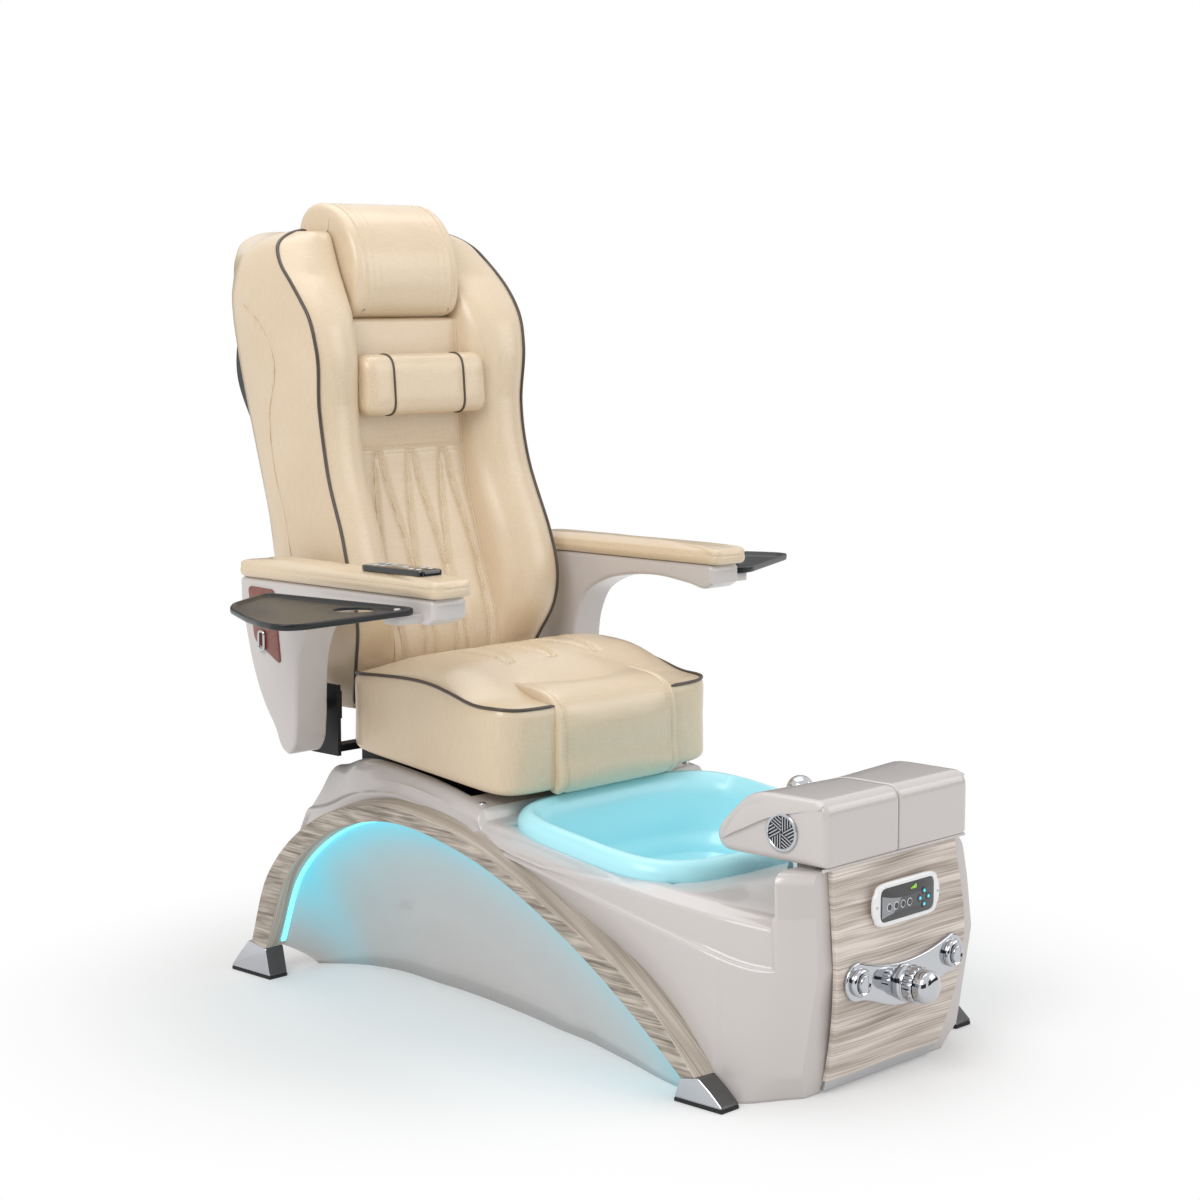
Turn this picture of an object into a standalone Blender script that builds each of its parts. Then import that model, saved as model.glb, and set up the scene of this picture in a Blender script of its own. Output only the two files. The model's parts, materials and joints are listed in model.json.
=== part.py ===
"""Pedicure chair: moulded base with a foot basin, and a sliding, reclining upholstered seat.

Metres, +Z up. The chair faces -Y, the sitter's right hand is on -X, and the floor is Z = 0.
"""

import math

import bmesh
import bpy
import numpy as np
from mathutils import Matrix, Vector

# Clearances
SEAT_GAP = 0.0003  # between faces that rest on each other
RUN_GAP = 0.0004  # round pins, rods and knobs that turn or slide

# Base shell, as heights and half widths along Y
SHELL_WALL = 0.006
SHELL_REAR_Y = 0.56
SHELL_FRONT_Y = -0.688
BAND_HALF = 0.300  # flat band behind the arch trims
REAR_WALL_LEAN = 0.105
REAR_LEAN_LOW_Z = 0.20
REAR_LEAN_HIGH_Z = 0.43
REAR_LEAN_START_Y = 0.30
FRONT_CURVE_START_Y = -0.56
FLOOR_HALF = ((-0.688, 0.19), (-0.62, 0.272), (-0.56, 0.294), (-0.47, 0.287), (-0.30, 0.238), (-0.115, 0.186),
              (0.0, 0.16), (0.27, 0.125), (0.47, 0.135), (0.56, 0.20))
# How far the deck's edge lies outside the basin's rim at its widest, along Y.
DECK_BEYOND_RIM = ((-0.688, -0.083), (-0.64, -0.045), (-0.60, -0.034), (-0.50, -0.012), (-0.30, 0.014),
                   (-0.10, 0.024), (0.0, 0.014), (0.10, 0.000), (0.30, -0.012), (0.45, -0.022),
                   (0.56, -0.038))
LEDGE_HALF = ((-0.688, 0.212), (-0.64, 0.255), (-0.56, 0.285), (-0.45, 0.297), (-0.30, 0.300), (0.24, 0.300),
              (0.40, 0.298), (0.56, 0.275))
LEDGE_Z = ((-0.688, 0.229), (-0.62, 0.229), (-0.514, 0.237), (-0.386, 0.265), (-0.25, 0.289), (-0.10, 0.325),
           (0.03, 0.378), (0.24, 0.40), (0.40, 0.37), (0.56, 0.33))
LEDGE_STEP = 0.012
DECK_EDGE = 0.014
DECK_EDGE_POINT = 7  # the section's point where the deck's edge begins
SEAT_DECK_Z = ((0.0, 0.405), (0.10, 0.424), (0.20, 0.437), (0.30, 0.445), (0.45, 0.435), (0.56, 0.415))
DECK_STEP_Y = -0.004
DECK_STEP_RUN = 0.008
BASIN_DECK_Z = 0.386  # basin deck, carried on to Y = 0
BASIN_DECK_SLOPE = 0.13
FRONT_WALL_Y = -0.632
FRONT_WALL_TOP_Z = 0.3845

# Arch trims on the sides
ARCH_OUTER = ((-0.551, 0.048), (-0.448, 0.152), (-0.21, 0.274), (0.03, 0.369), (0.241, 0.385), (0.427, 0.316),
              (0.537, 0.208), (0.590, 0.066))
ARCH_INNER = ((-0.519, 0.042), (-0.436, 0.107), (-0.224, 0.242), (-0.002, 0.333), (0.216, 0.357), (0.371, 0.307),
              (0.474, 0.221), (0.545, 0.060))
ARCH_HALF = 0.344
ARCH_TOP_RISE = 0.008
ARCH_RINGS = 25
BOOT_LENGTH = 0.060
BOOT_HEEL = 0.012
BOOT_TOE_HEIGHT = 0.010
LED_WIDTH = 0.010
LED_THICKNESS = 0.004

# Floor frame and seat pedestal
FRAME_HALF = 0.100
FRAME_TUBE = 0.030
FRAME_FRONT_Y = -0.425
FRAME_REAR_Y = 0.445
PEDESTAL_FRONT_Y = 0.068
PEDESTAL_REAR_Y = 0.420
PEDESTAL_TOP_Z = 0.385
PEDESTAL_WALL = 0.004
RAIL_HEIGHT = 0.020
RAIL_WIDTH = 0.026
WELL_HALF = 0.205
WELL_FRONT_Y = 0.055
BOX_HALF = 0.086
BOX_FRONT_Y = 0.13
BOX_REAR_Y = 0.27
BOX_HEIGHT = 0.09

# Slide actuator, along Y between the rails
CYLINDER_RADIUS = 0.009
CYLINDER_FRONT_Y = 0.085
CYLINDER_REAR_Y = 0.275
CYLINDER_END = 0.006
ROD_RADIUS = 0.005
ROD_FRONT_Y = 0.205
LUG_HALF = 0.012
LUG_FRONT_Y = 0.386
LUG_LENGTH = 0.015

# Basin
BASIN_Y = -0.23
RIM_HALF_X = 0.288
RIM_HALF_Y = 0.215
RIM_HEIGHT = 0.030
RIM_OVERLAP = 0.026
BASIN_WALL = 0.006
BASIN_FLOOR_Z = 0.190
BASIN_FLOOR_HALF_X = 0.185
BASIN_FLOOR_HALF_Y = 0.140
BASIN_POWER = 4.0  # squareness of the rim's outline
BASIN_SIDES = 36
DRAIN_RADIUS = 0.028
DRAIN_PIPE_WALL = 0.003
DRAIN_PIPE_BOTTOM_Z = 0.05
STRAINER_FLANGE = 0.008
STRAINER_THICKNESS = 0.003
BASIN_SKIRT = 0.022
BASIN_LED_DROP = 0.018
BASIN_LED_SIZE = 0.006
JET_RADIUS = 0.034
JET_HEIGHT = 0.024
JET_WALL = 0.004
JET_OFFSET_Y = 0.085
IMPELLER_RADIUS = 0.024
IMPELLER_HEIGHT = 0.010

# Front panel and what it carries
PANEL_CURVE = ((0.0, -0.668), (0.024, -0.676), (0.21, -0.712), (0.3845, -0.694))
PANEL_HALF = ((0.024, 0.155), (0.237, 0.177), (0.382, 0.170))
PANEL_BOTTOM_Z = 0.024
PANEL_TOP_Z = FRONT_WALL_TOP_Z
PANEL_THICKNESS = 0.0117
KICK_HALF = 0.150
KICK_BOTTOM_Z = 0.006
KICK_THICKNESS = 0.008
DISPLAY_Z = 0.312
DISPLAY_HALF = 0.091
DISPLAY_HALF_HEIGHT = 0.037
DISPLAY_DEPTH = 0.008
SCREEN_HALF = 0.074
SCREEN_HALF_HEIGHT = 0.029
SCREEN_SINK = 0.003
FAUCET_Z = 0.196
FAUCET_END_X = 0.128
FAUCET_END_RADIUS = 0.033
FAUCET_WAIST = 0.011
FAUCET_LOBE = 0.037
FAUCET_DEPTH = 0.007
VALVE_DROP = 0.026
VALVE_RADIUS = 0.032
VALVE_LENGTH = 0.012
FLOW_RADIUS = 0.031
FLOW_LENGTH = 0.018
TEMPERATURE_RADIUS = 0.028
TEMPERATURE_LENGTH = 0.028
SPINDLE_RADIUS = 0.008
END_KNOB_RADIUS = 0.024
END_KNOB_LENGTH = 0.010
KNOB_GRIP = 0.006

# Footrest, its grilles and the sprayer behind it
FOOTREST_HALF = 0.198
FOOTREST_SEAM = 0.003
FOOTREST_FRONT_Y = -0.700
FOOTREST_REAR_Y = -0.466
FOOTREST_MIDDLE_REAR_Y = -0.540
FOOTREST_HEIGHT = 0.109
FOOTREST_BREAK_Y = -0.555
FOOTREST_NOSE_Z = 0.432
FOOTREST_EDGE = 0.012
FOOTREST_END_ROUND = {0.0: 0.003, 0.95: 0.003, 1.0: 0.012}  # how far each end section is drawn in
HINGE_ROD_RADIUS = 0.003
HINGE_ROD_Y = -0.694
GRILLE_RADIUS = 0.033
GRILLE_THICKNESS = 0.005
GRILLE_Y = -0.612
GRILLE_Z = 0.441
SPRAYER_Y = -0.489
SPRAYER_BALL_RADIUS = 0.0245
SPRAYER_BALL_Z = 0.4655
SPRAYER_STEM_RADIUS = 0.009
HOLDER_RADIUS = 0.019
HOLDER_HEIGHT = 0.060
HOLDER_FLOOR = 0.012

# Seat
SEAT_HALF = 0.286
SEAT_FRONT_Y = -0.058
SEAT_REAR_Y = 0.386
SEAT_BOTTOM_FRONT_Z = 0.421
SEAT_BOTTOM_RISE = 0.045
SEAT_PIPING_FRONT_Z = 0.586
SEAT_PIPING_REAR_Z = 0.600
SEAT_CROWN = 0.050
SEAT_CROWN_POWER = 8
SEAT_REAR_DIP = 0.032
SEAT_CORNER = 0.050
SEAT_DRAW_IN = 0.006
WATERFALL_HALF = 0.155
WATERFALL_BULGE = 0.010
SEAT_GROOVE = 0.006
FRAME_PLATE_HALF = 0.190
FRAME_PLATE_FRONT_Y = 0.160
SIDE_PLATE_X = 0.2895
SIDE_PLATE_THICKNESS = 0.008
SIDE_PLATE_FRONT_Y = 0.378
SIDE_PLATE_REAR_Y = 0.455
SIDE_PLATE_TOP_Z = 0.585
CROSS_BAR_FRONT_Y = 0.404
CROSS_BAR_BOTTOM_Z = 0.452

# Back
RECLINE_Y = 0.415
RECLINE_Z = 0.545
PIN_RADIUS = 0.010
EAR_THICKNESS = 0.012
EAR_RADIUS = 0.026
BACK_BOTTOM_Z = 0.515
BACK_TOP_Z = 1.430
# The profiles below run from the foot of the back, 0, to its top, 1.
BACK_PIPING_HALF = ((-0.0164, 0.215), (0.118, 0.243), (0.1869, 0.261), (0.2874, 0.273), (0.4208, 0.269),
                    (0.5792, 0.265), (0.694, 0.269), (0.823, 0.277), (0.8907, 0.279), (0.9443, 0.268),
                    (0.9836, 0.234), (1, 0.190))
BACK_PIPING_Y = ((-0.0164, 0.430), (0.118, 0.387), (0.1869, 0.361), (0.2361, 0.357), (0.3454, 0.380),
                 (0.5038, 0.435), (0.6295, 0.456), (0.7552, 0.455), (0.823, 0.472), (0.8852, 0.514),
                 (0.9443, 0.566), (1, 0.605))
BACK_PANEL_Y = ((-0.0164, 0.432), (0.1027, 0.392), (0.3115, 0.440), (0.5191, 0.491), (0.5628, 0.495),
                (0.7923, 0.511), (0.8219, 0.513), (1, 0.560))
BACK_REAR_Y = 0.575  # at the height below
BACK_REAR_Z = 0.60
BACK_REAR_SLOPE = 0.215
BACK_SIDE_Y = ((0, 0.530), (0.0929, 0.562), (0.3967, 0.628), (0.6044, 0.687), (0.7486, 0.714),
               (0.8852, 0.717), (0.9672, 0.688), (1, 0.655))
BACK_PANEL_HALF = 0.138
BACK_CREST = 0.016
BACK_CREST_START_Z = 0.61
BACK_LEVELS = 25
BACK_COLUMNS = 13
PLEAT_TOP_Z = 1.000
PLEAT_FOOT_Z = 0.800
PLEAT_SPACING = 0.084
PLEAT_DEPTH = 0.008
PLEAT_WIDTH = 0.010
HEAD_DROP = 0.167  # how far the headrest hangs below the top of the back
HEAD_RISE = 0.053
HEAD_LOW_LEVELS = (0.0, 0.07, 0.22, 0.46, 0.70)  # shares of the drop
HEAD_HIGH_LEVELS = (0.38, 0.72, 0.91, 1.0)  # shares of the rise
RECESS_LEVELS = (0.223, 0.462, 0.695, 0.892, 1.0)  # shares of the drop, on the back cushion
HEAD_HALF = 0.1365
HEAD_RECESS_Y = 0.622
RECESS_BACKING = 0.030  # least padding left behind the headrest
HEAD_REAR_Y = 0.668
HEAD_REAR_TAPER = 0.050
HEAD_TUCK = 0.012
# From the headrest's foot, 0, to its top, 1.
HEAD_FRONT_Y = ((0, 0.520), (0.1227, 0.497), (0.4409, 0.492), (0.7591, 0.520), (0.9182, 0.551), (1, 0.590))
PILLOW_HALF = 0.150
PILLOW_BELOW_HEAD = 0.067
PILLOW_HEIGHT = 0.122
PILLOW_THICKNESS = 0.062
PILLOW_TAPER = 0.50
FRAME_POST_X = 0.165
FRAME_POST_WIDTH = 0.028
FRAME_POST_DEPTH = 0.024
FRAME_POST_BELOW_TOP = 0.090
FRAME_POST_BOTTOM_Z = 0.550
FRAME_SLOT = 0.002  # room round the posts where they enter the cover
FRAME_BAR_HEIGHT = 0.022
FRAME_BAR_DEPTH = 0.014
COVER_HALF = 0.205
COVER_BOTTOM_Z = 0.640
COVER_BELOW_TOP = 0.045
COVER_WALL = 0.004
# From the cover's foot, 0, to its top, 1.
COVER_DEPTH = ((0, 0.034), (0.2819, 0.052), (0.5503, 0.088), (0.7114, 0.108), (0.8591, 0.082), (1, 0.034))
CARRIAGE_Z = 1.00
CARRIAGE_HEIGHT = 0.120
CARRIAGE_DEPTH = 0.016
CARRIAGE_ROLLER = 0.012

# Arms
ARM_INNER = 0.325
ARM_WIDTH = 0.080
ARM_REAR_Y = 0.527
ARM_FRONT_Y = -0.004
ARM_TOP_Z = 0.788
ARM_UNDERSIDE = ((-0.004, 0.752), (0.012, 0.742), (0.06, 0.748), (0.142, 0.757), (0.22, 0.752), (0.29, 0.735),
                 (0.335, 0.708), (0.360, 0.66), (0.369, 0.60), (0.373, 0.52), (0.380, 0.482), (0.395, 0.466),
                 (0.412, 0.474), (0.432, 0.510), (0.465, 0.557), (0.494, 0.620), (0.514, 0.690))
PAD_INNER = 0.3185
PAD_WIDTH = 0.098
PAD_FRONT_Y = -0.024
PAD_HEIGHT = 0.030
PAD_CROWN = 0.005
INLAY_OUTLINE = ((0.408, 0.632), (0.424, 0.770), (0.500, 0.772), (0.482, 0.672))
INLAY_THICKNESS = 0.003
HOOK_Y = 0.458
HOOK_Z = 0.690
HOOK_WIDTH = 0.020
HOOK_LENGTH = 0.034
HOOK_WIRE = 0.0025
ARM_PIN_DEPTH = 0.030

# Trays
TRAY_DROP = 0.013  # from the top of the arm to the top of the tray
TRAY_THICKNESS = 0.012
TRAY_LIP = 0.006
TRAY_LIP_WIDTH = 0.006
TRAY_OUTLINE = {
    "right": ((0.436, 0.010), (0.600, 0.002), (0.690, 0.000), (0.716, 0.012), (0.727, 0.035), (0.718, 0.085),
              (0.690, 0.155), (0.640, 0.258), (0.600, 0.300), (0.536, 0.336), (0.480, 0.368), (0.462, 0.365),
              (0.428, 0.080), (0.424, 0.030)),
    "left": ((0.436, 0.010), (0.460, 0.008), (0.570, 0.054), (0.680, 0.100), (0.698, 0.116), (0.700, 0.138),
             (0.686, 0.175), (0.640, 0.258), (0.600, 0.300), (0.536, 0.336), (0.480, 0.368), (0.462, 0.365),
             (0.428, 0.080), (0.424, 0.030)),
}
CUP_X = 0.484
CUP_Y = 0.110
CUP_RADIUS = 0.038
TRAY_PIVOT_X = 0.447
TRAY_PIVOT_Y = 0.042
TRAY_PIN_RADIUS = 0.006
BOSS_HALF_Y = 0.020
BOSS_DEPTH = 0.058
BOSS_HEIGHT = 0.016
BOSS_ROOT = 0.004

# Remote panel on the right arm
REMOTE_Y = 0.118
REMOTE_LENGTH = 0.160
REMOTE_WIDTH = 0.056
REMOTE_HEIGHT = 0.010
ROCKER_LENGTH = 0.030
ROCKER_WIDTH = 0.014
ROCKER_HEIGHT = 0.005

# Finishes: colour, roughness, metallic
FINISHES = {
    "leatherette": ((0.80, 0.68, 0.50), 0.45, 0.0),
    "shell_grey": ((0.60, 0.56, 0.54), 0.20, 0.0),
    "ash_laminate": ((0.52, 0.45, 0.39), 0.45, 0.0),
    "chrome": ((0.85, 0.85, 0.86), 0.08, 1.0),
    "aluminium": ((0.75, 0.75, 0.76), 0.30, 1.0),
    "black_plastic": ((0.03, 0.03, 0.032), 0.35, 0.0),
    "black_steel": ((0.05, 0.05, 0.05), 0.50, 0.8),
    "grey_steel": ((0.35, 0.35, 0.36), 0.45, 0.9),
    "brown_inlay": ((0.25, 0.10, 0.06), 0.40, 0.0),
    "lit_acrylic": ((0.45, 0.85, 0.93), 0.15, 0.0),
    "led": ((0.30, 0.90, 1.0), 0.30, 0.0),
    "screen_glass": ((0.02, 0.02, 0.025), 0.10, 0.0),
    "white_plastic": ((0.80, 0.80, 0.80), 0.30, 0.0),
}

SIDES = {"right": -1.0, "left": 1.0}


# Small modelling tools


def clear_scene():
    """Removes whatever the file holds."""
    for old in list(bpy.data.objects):
        bpy.data.objects.remove(old, do_unlink=True)


def finish_material(name):
    """One Principled material for each finish, made once."""
    found = bpy.data.materials.get(name)
    if found:
        return found
    colour, roughness, metallic = FINISHES[name]
    made = bpy.data.materials.new(name)
    made.use_nodes = True
    shader = made.node_tree.nodes["Principled BSDF"]
    shader.inputs["Base Color"].default_value = (*colour, 1.0)
    shader.inputs["Roughness"].default_value = roughness
    shader.inputs["Metallic"].default_value = metallic
    return made


def pivot(name, place, parent=None):
    """An empty on a joint's axis, for the pieces that move with it."""
    made = bpy.data.objects.new(name, None)
    bpy.context.scene.collection.objects.link(made)
    made.parent = parent
    above = world_place(parent)
    made.location = Vector(place) - above
    return made


def world_place(node):
    """World position of an empty in the tree of pivots."""
    place = Vector((0.0, 0.0, 0.0))
    while node:
        place += node.location
        node = node.parent
    return place


def add_piece(name, shape, finish, parent=None, smooth_angle=40.0):
    """Makes one named object from (points, faces) given in world coordinates."""
    points, faces = shape
    mesh = bpy.data.meshes.new(name)
    mesh.from_pydata([tuple(point) for point in points], [], [tuple(face) for face in faces])
    tidy = bmesh.new()
    tidy.from_mesh(mesh)
    bmesh.ops.remove_doubles(tidy, verts=tidy.verts, dist=1e-6)
    bmesh.ops.dissolve_degenerate(tidy, edges=tidy.edges, dist=1e-6)
    bmesh.ops.recalc_face_normals(tidy, faces=tidy.faces)
    tidy.to_mesh(mesh)
    tidy.free()
    mesh.transform(Matrix.Translation(-world_place(parent)))
    mesh.shade_smooth()
    mesh.set_sharp_from_angle(angle=math.radians(smooth_angle))
    mesh.materials.append(finish_material(finish))
    made = bpy.data.objects.new(name, mesh)
    bpy.context.scene.collection.objects.link(made)
    made.parent = parent
    return made


def combine(body, shape, operation):
    """Cuts a shape out of a body, or joins it on, and keeps one mesh."""
    tool = add_piece(body.name + "_tool", shape, body.data.materials[0].name)
    tool.hide_render = True
    tool.display_type = "WIRE"
    step = body.modifiers.new("combine", "BOOLEAN")
    step.operation = operation
    step.solver = "EXACT"
    step.object = tool
    bpy.context.view_layer.update()
    graph = bpy.context.evaluated_depsgraph_get()
    result = bpy.data.meshes.new_from_object(body.evaluated_get(graph))
    body.modifiers.clear()
    old = body.data
    body.data = result
    bpy.data.meshes.remove(old)
    bpy.data.objects.remove(tool, do_unlink=True)
    body.data.name = body.name


def cut(body, *shapes):
    """Cuts each shape out of the body."""
    for shape in shapes:
        combine(body, shape, "DIFFERENCE")


def join(body, *shapes):
    """Joins each shape to the body."""
    for shape in shapes:
        combine(body, shape, "UNION")


def curve(points, where):
    """Smooth curve through hand-placed (position, value) points, read at the places asked for."""
    knots, values = np.array(points, float).T
    slopes = np.gradient(values, knots)
    place = np.clip(np.asarray(where, float), knots[0], knots[-1])
    span = np.clip(np.searchsorted(knots, place, side="right") - 1, 0, len(knots) - 2)
    width = knots[span + 1] - knots[span]
    t = (place - knots[span]) / width
    start = (2 * t**3 - 3 * t**2 + 1) * values[span] + (t**3 - 2 * t**2 + t) * width * slopes[span]
    end = (3 * t**2 - 2 * t**3) * values[span + 1] + (t**3 - t**2) * width * slopes[span + 1]
    return start + end


def path(points, count):
    """Evenly counted points along a smooth curve through hand-placed 2-D points."""
    points = np.array(points, float)
    along = np.concatenate([[0.0], np.cumsum(np.linalg.norm(np.diff(points, axis=0), axis=1))])
    where = np.linspace(0.0, along[-1], count)
    return np.column_stack([curve(np.column_stack([along, points[:, axis]]), where) for axis in range(2)])


def ease(value):
    """Smooth step from 0 to 1."""
    t = np.clip(value, 0.0, 1.0)
    return t * t * (3.0 - 2.0 * t)


def loft(rings, closed=False):
    """Skin over closed rings of equal count, with flat ends, or joined end to start."""
    rings = [np.asarray(ring, float) for ring in rings]
    count = len(rings[0])
    points = np.vstack(rings)
    faces = []
    spans = len(rings) if closed else len(rings) - 1
    for level in range(spans):
        here = level * count
        above = ((level + 1) % len(rings)) * count
        for i in range(count):
            after = (i + 1) % count
            faces.append((here + i, here + after, above + after, above + i))
    if not closed:
        faces.append(tuple(range(count)))
        faces.append(tuple(range(len(points) - count, len(points))))
    return points, faces


def shell(outer, inner, flat_from=0):
    """Dished shell from two stacks of mirrored open sections, joined along the open side.

    The end sections are closed by strips from side to side, and by one flat face from point flat_from on.
    """
    outer = [np.asarray(section, float) for section in outer]
    inner = [np.asarray(section, float) for section in inner]
    count = len(outer[0])
    stations = len(outer)
    points = np.vstack(outer + inner)
    faces = []

    def index(skin, station, i):
        return (skin * stations + station) * count + i

    for skin in range(2):
        for station in range(stations - 1):
            for i in range(count - 1):
                faces.append((index(skin, station, i), index(skin, station, i + 1),
                              index(skin, station + 1, i + 1), index(skin, station + 1, i)))
        for station in (0, stations - 1):
            for i in range(flat_from):
                other = count - 1 - i
                faces.append((index(skin, station, i), index(skin, station, i + 1),
                              index(skin, station, other - 1), index(skin, station, other)))
            faces.append([index(skin, station, i) for i in range(flat_from, count - flat_from)])
    around = [(station, 0) for station in range(stations)]
    around += [(station, count - 1) for station in reversed(range(stations))]
    for (a, i), (b, k) in zip(around, around[1:] + around[:1]):
        faces.append((index(0, a, i), index(0, b, k), index(1, b, k), index(1, a, i)))
    return points, faces


def prism(outline, low, high, axis="X"):
    """Flat outline extruded along one axis; the outline gives the other two in X, Y, Z order."""
    outline = np.array(outline, float)
    place = "XYZ".index(axis)
    rings = [np.insert(outline, place, level, axis=1) for level in (low, high)]
    return loft(rings)


def block(low, high):
    """Rectangular block between two corners."""
    (x0, y0, z0), (x1, y1, z1) = low, high
    return prism(((x0, y0), (x1, y0), (x1, y1), (x0, y1)), z0, z1, "Z")


def circle(radius, sides=24, power=2.0, half_y=None):
    """Round outline, or a squarer one at a higher power."""
    angles = np.linspace(0.0, 2.0 * math.pi, sides, endpoint=False)
    cosines, sines = np.cos(angles), np.sin(angles)
    x = np.sign(cosines) * np.abs(cosines) ** (2.0 / power) * radius
    y = np.sign(sines) * np.abs(sines) ** (2.0 / power) * (half_y or radius)
    return np.column_stack([x, y])


def turned(profile, centre, axis="Z", sides=24, ring=False):
    """Turned solid from (radius, distance along the axis) points; a ring joins its last point to its first."""
    place = "XYZ".index(axis)
    rings = []
    for radius, along in profile:
        flat = circle(max(radius, 1e-7), sides)
        rings.append(np.insert(flat, place, along, axis=1) + np.asarray(centre))
    return loft(rings, closed=ring)


def rod(start, end, radius, sides=16):
    """Straight round bar along one axis."""
    start, end = np.array(start, float), np.array(end, float)
    place = int(np.argmax(np.abs(end - start)))
    length = end[place] - start[place]
    return turned(((radius, 0.0), (radius, length)), start, "XYZ"[place], sides)


def mirrored(points, side):
    """Right-hand or left-hand copy of points given for +X."""
    return np.asarray(points, float) * np.array([side, 1.0, 1.0])


def sided(shape, side):
    """Right-hand or left-hand copy of a whole shape."""
    return mirrored(shape[0], side), shape[1]


def round_section(half_width, half_height, corner, per_corner=4):
    """Outline of a rectangle with round corners, centred on zero."""
    outline = []
    for quarter in range(4):
        turn = quarter * math.pi / 2.0
        sign_x = 1 if quarter in (0, 3) else -1
        sign_y = 1 if quarter in (0, 1) else -1
        for step in range(per_corner):
            angle = turn + step / (per_corner - 1) * math.pi / 2.0
            outline.append((sign_x * (half_width - corner) + corner * math.cos(angle),
                            sign_y * (half_height - corner) + corner * math.sin(angle)))
    return np.array(outline)


# Shapes shared by several pieces


def seat_deck_height(y, step_y):
    """Height of the deck along the base: seat deck, step, sloping basin deck."""
    low = BASIN_DECK_Z + BASIN_DECK_SLOPE * y
    high = curve(SEAT_DECK_Z, max(y, 0.0))
    blend = ease((step_y - y) / DECK_STEP_RUN)
    return float(high * (1.0 - blend) + low * blend)


def panel_front(z):
    """Y of the front panel's face at a height."""
    return curve(PANEL_CURVE, z)


def seat_bottom(y):
    """Height of the seat cushion's underside."""
    return SEAT_BOTTOM_FRONT_Z + SEAT_BOTTOM_RISE * (y - SEAT_FRONT_Y) / (SEAT_REAR_Y - SEAT_FRONT_Y)


def back_rear(z):
    """Y of the back cushion's rear face."""
    return BACK_REAR_Y + BACK_REAR_SLOPE * (z - BACK_REAR_Z)


RAIL_TOP_Z = PEDESTAL_TOP_Z + RAIL_HEIGHT
SEAT_FRAME_BOTTOM_Z = RAIL_TOP_Z + SEAT_GAP
FOOTREST_BOTTOM_Z = FRONT_WALL_TOP_Z + 2 * SEAT_GAP + 2 * HINGE_ROD_RADIUS
HINGE_ROD_Z = FRONT_WALL_TOP_Z + SEAT_GAP + HINGE_ROD_RADIUS
ARM_OUTER = ARM_INNER + ARM_WIDTH
PAD_BOTTOM_Z = ARM_TOP_Z + SEAT_GAP
TRAY_TOP_Z = ARM_TOP_Z - TRAY_DROP
HEAD_BOTTOM_Z = BACK_TOP_Z - HEAD_DROP
HEAD_TOP_Z = BACK_TOP_Z + HEAD_RISE
PILLOW_BOTTOM_Z = HEAD_BOTTOM_Z - PILLOW_BELOW_HEAD - PILLOW_HEIGHT
FRAME_POST_TOP_Z = BACK_TOP_Z - FRAME_POST_BELOW_TOP
COVER_TOP_Z = BACK_TOP_Z - COVER_BELOW_TOP
PAD_TOP_Z = PAD_BOTTOM_Z + PAD_HEIGHT
SIDE_PLATE_OUTER = SIDE_PLATE_X + SIDE_PLATE_THICKNESS


# Base


def shell_section(y, inside):
    """Open section of the base shell at one station, from the right floor edge over to the left."""
    outer_z = float(curve(ARCH_OUTER, y))
    inner_z = float(curve(ARCH_INNER, y))
    wall = SHELL_WALL if inside else 0.0
    # The inner skin passes straight under the front wall, and steps a little further back.
    deck_z = seat_deck_height(y, DECK_STEP_Y + 2.0 * wall)
    if y < FRONT_WALL_Y and not inside:
        deck_z = FRONT_WALL_TOP_Z
    floor = float(curve(FLOOR_HALF, y))
    ledge_half = min(BAND_HALF, float(curve(LEDGE_HALF, y)))
    band = min(BAND_HALF, ledge_half + 0.003) if y < FRONT_CURVE_START_Y else BAND_HALF
    deck_half = RIM_HALF_X + float(curve(DECK_BEYOND_RIM, y))
    low_z = outer_z + LEDGE_STEP / 2
    ledge_z = float(np.clip(curve(LEDGE_Z, y), low_z, deck_z - LEDGE_STEP - 2 * DECK_EDGE))
    half = [
        (floor - wall, 0.0),
        (floor + 0.22 * (band - floor) - wall, 0.30 * inner_z),
        (floor + 0.60 * (band - floor) - wall, 0.68 * inner_z),
        (band - wall, inner_z),
        (band - wall, outer_z),
        (ledge_half - wall, ledge_z),
        (ledge_half - LEDGE_STEP - wall, ledge_z + LEDGE_STEP),
        (deck_half - wall, deck_z - DECK_EDGE - wall),
        (deck_half - DECK_EDGE - wall, deck_z - wall),
        (0.5 * deck_half, deck_z - wall),
        (0.0, deck_z - wall),
    ]
    half = np.array(half)
    rear = ease((half[:, 1] - REAR_LEAN_LOW_Z) / (REAR_LEAN_HIGH_Z - REAR_LEAN_LOW_Z))
    rear = rear * ease((y - REAR_LEAN_START_Y) / (SHELL_REAR_Y - REAR_LEAN_START_Y))
    front = ease((FRONT_CURVE_START_Y - y) / (FRONT_CURVE_START_Y - SHELL_FRONT_Y))
    bulge = panel_front(half[:, 1]) + PANEL_THICKNESS + SEAT_GAP - SHELL_FRONT_Y
    place = y - REAR_WALL_LEAN * rear + bulge * front
    right = np.column_stack([-half[:, 0], place, half[:, 1]])
    left = np.column_stack([half[:, 0], place, half[:, 1]])[-2::-1]
    return np.vstack([right, left])


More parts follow.
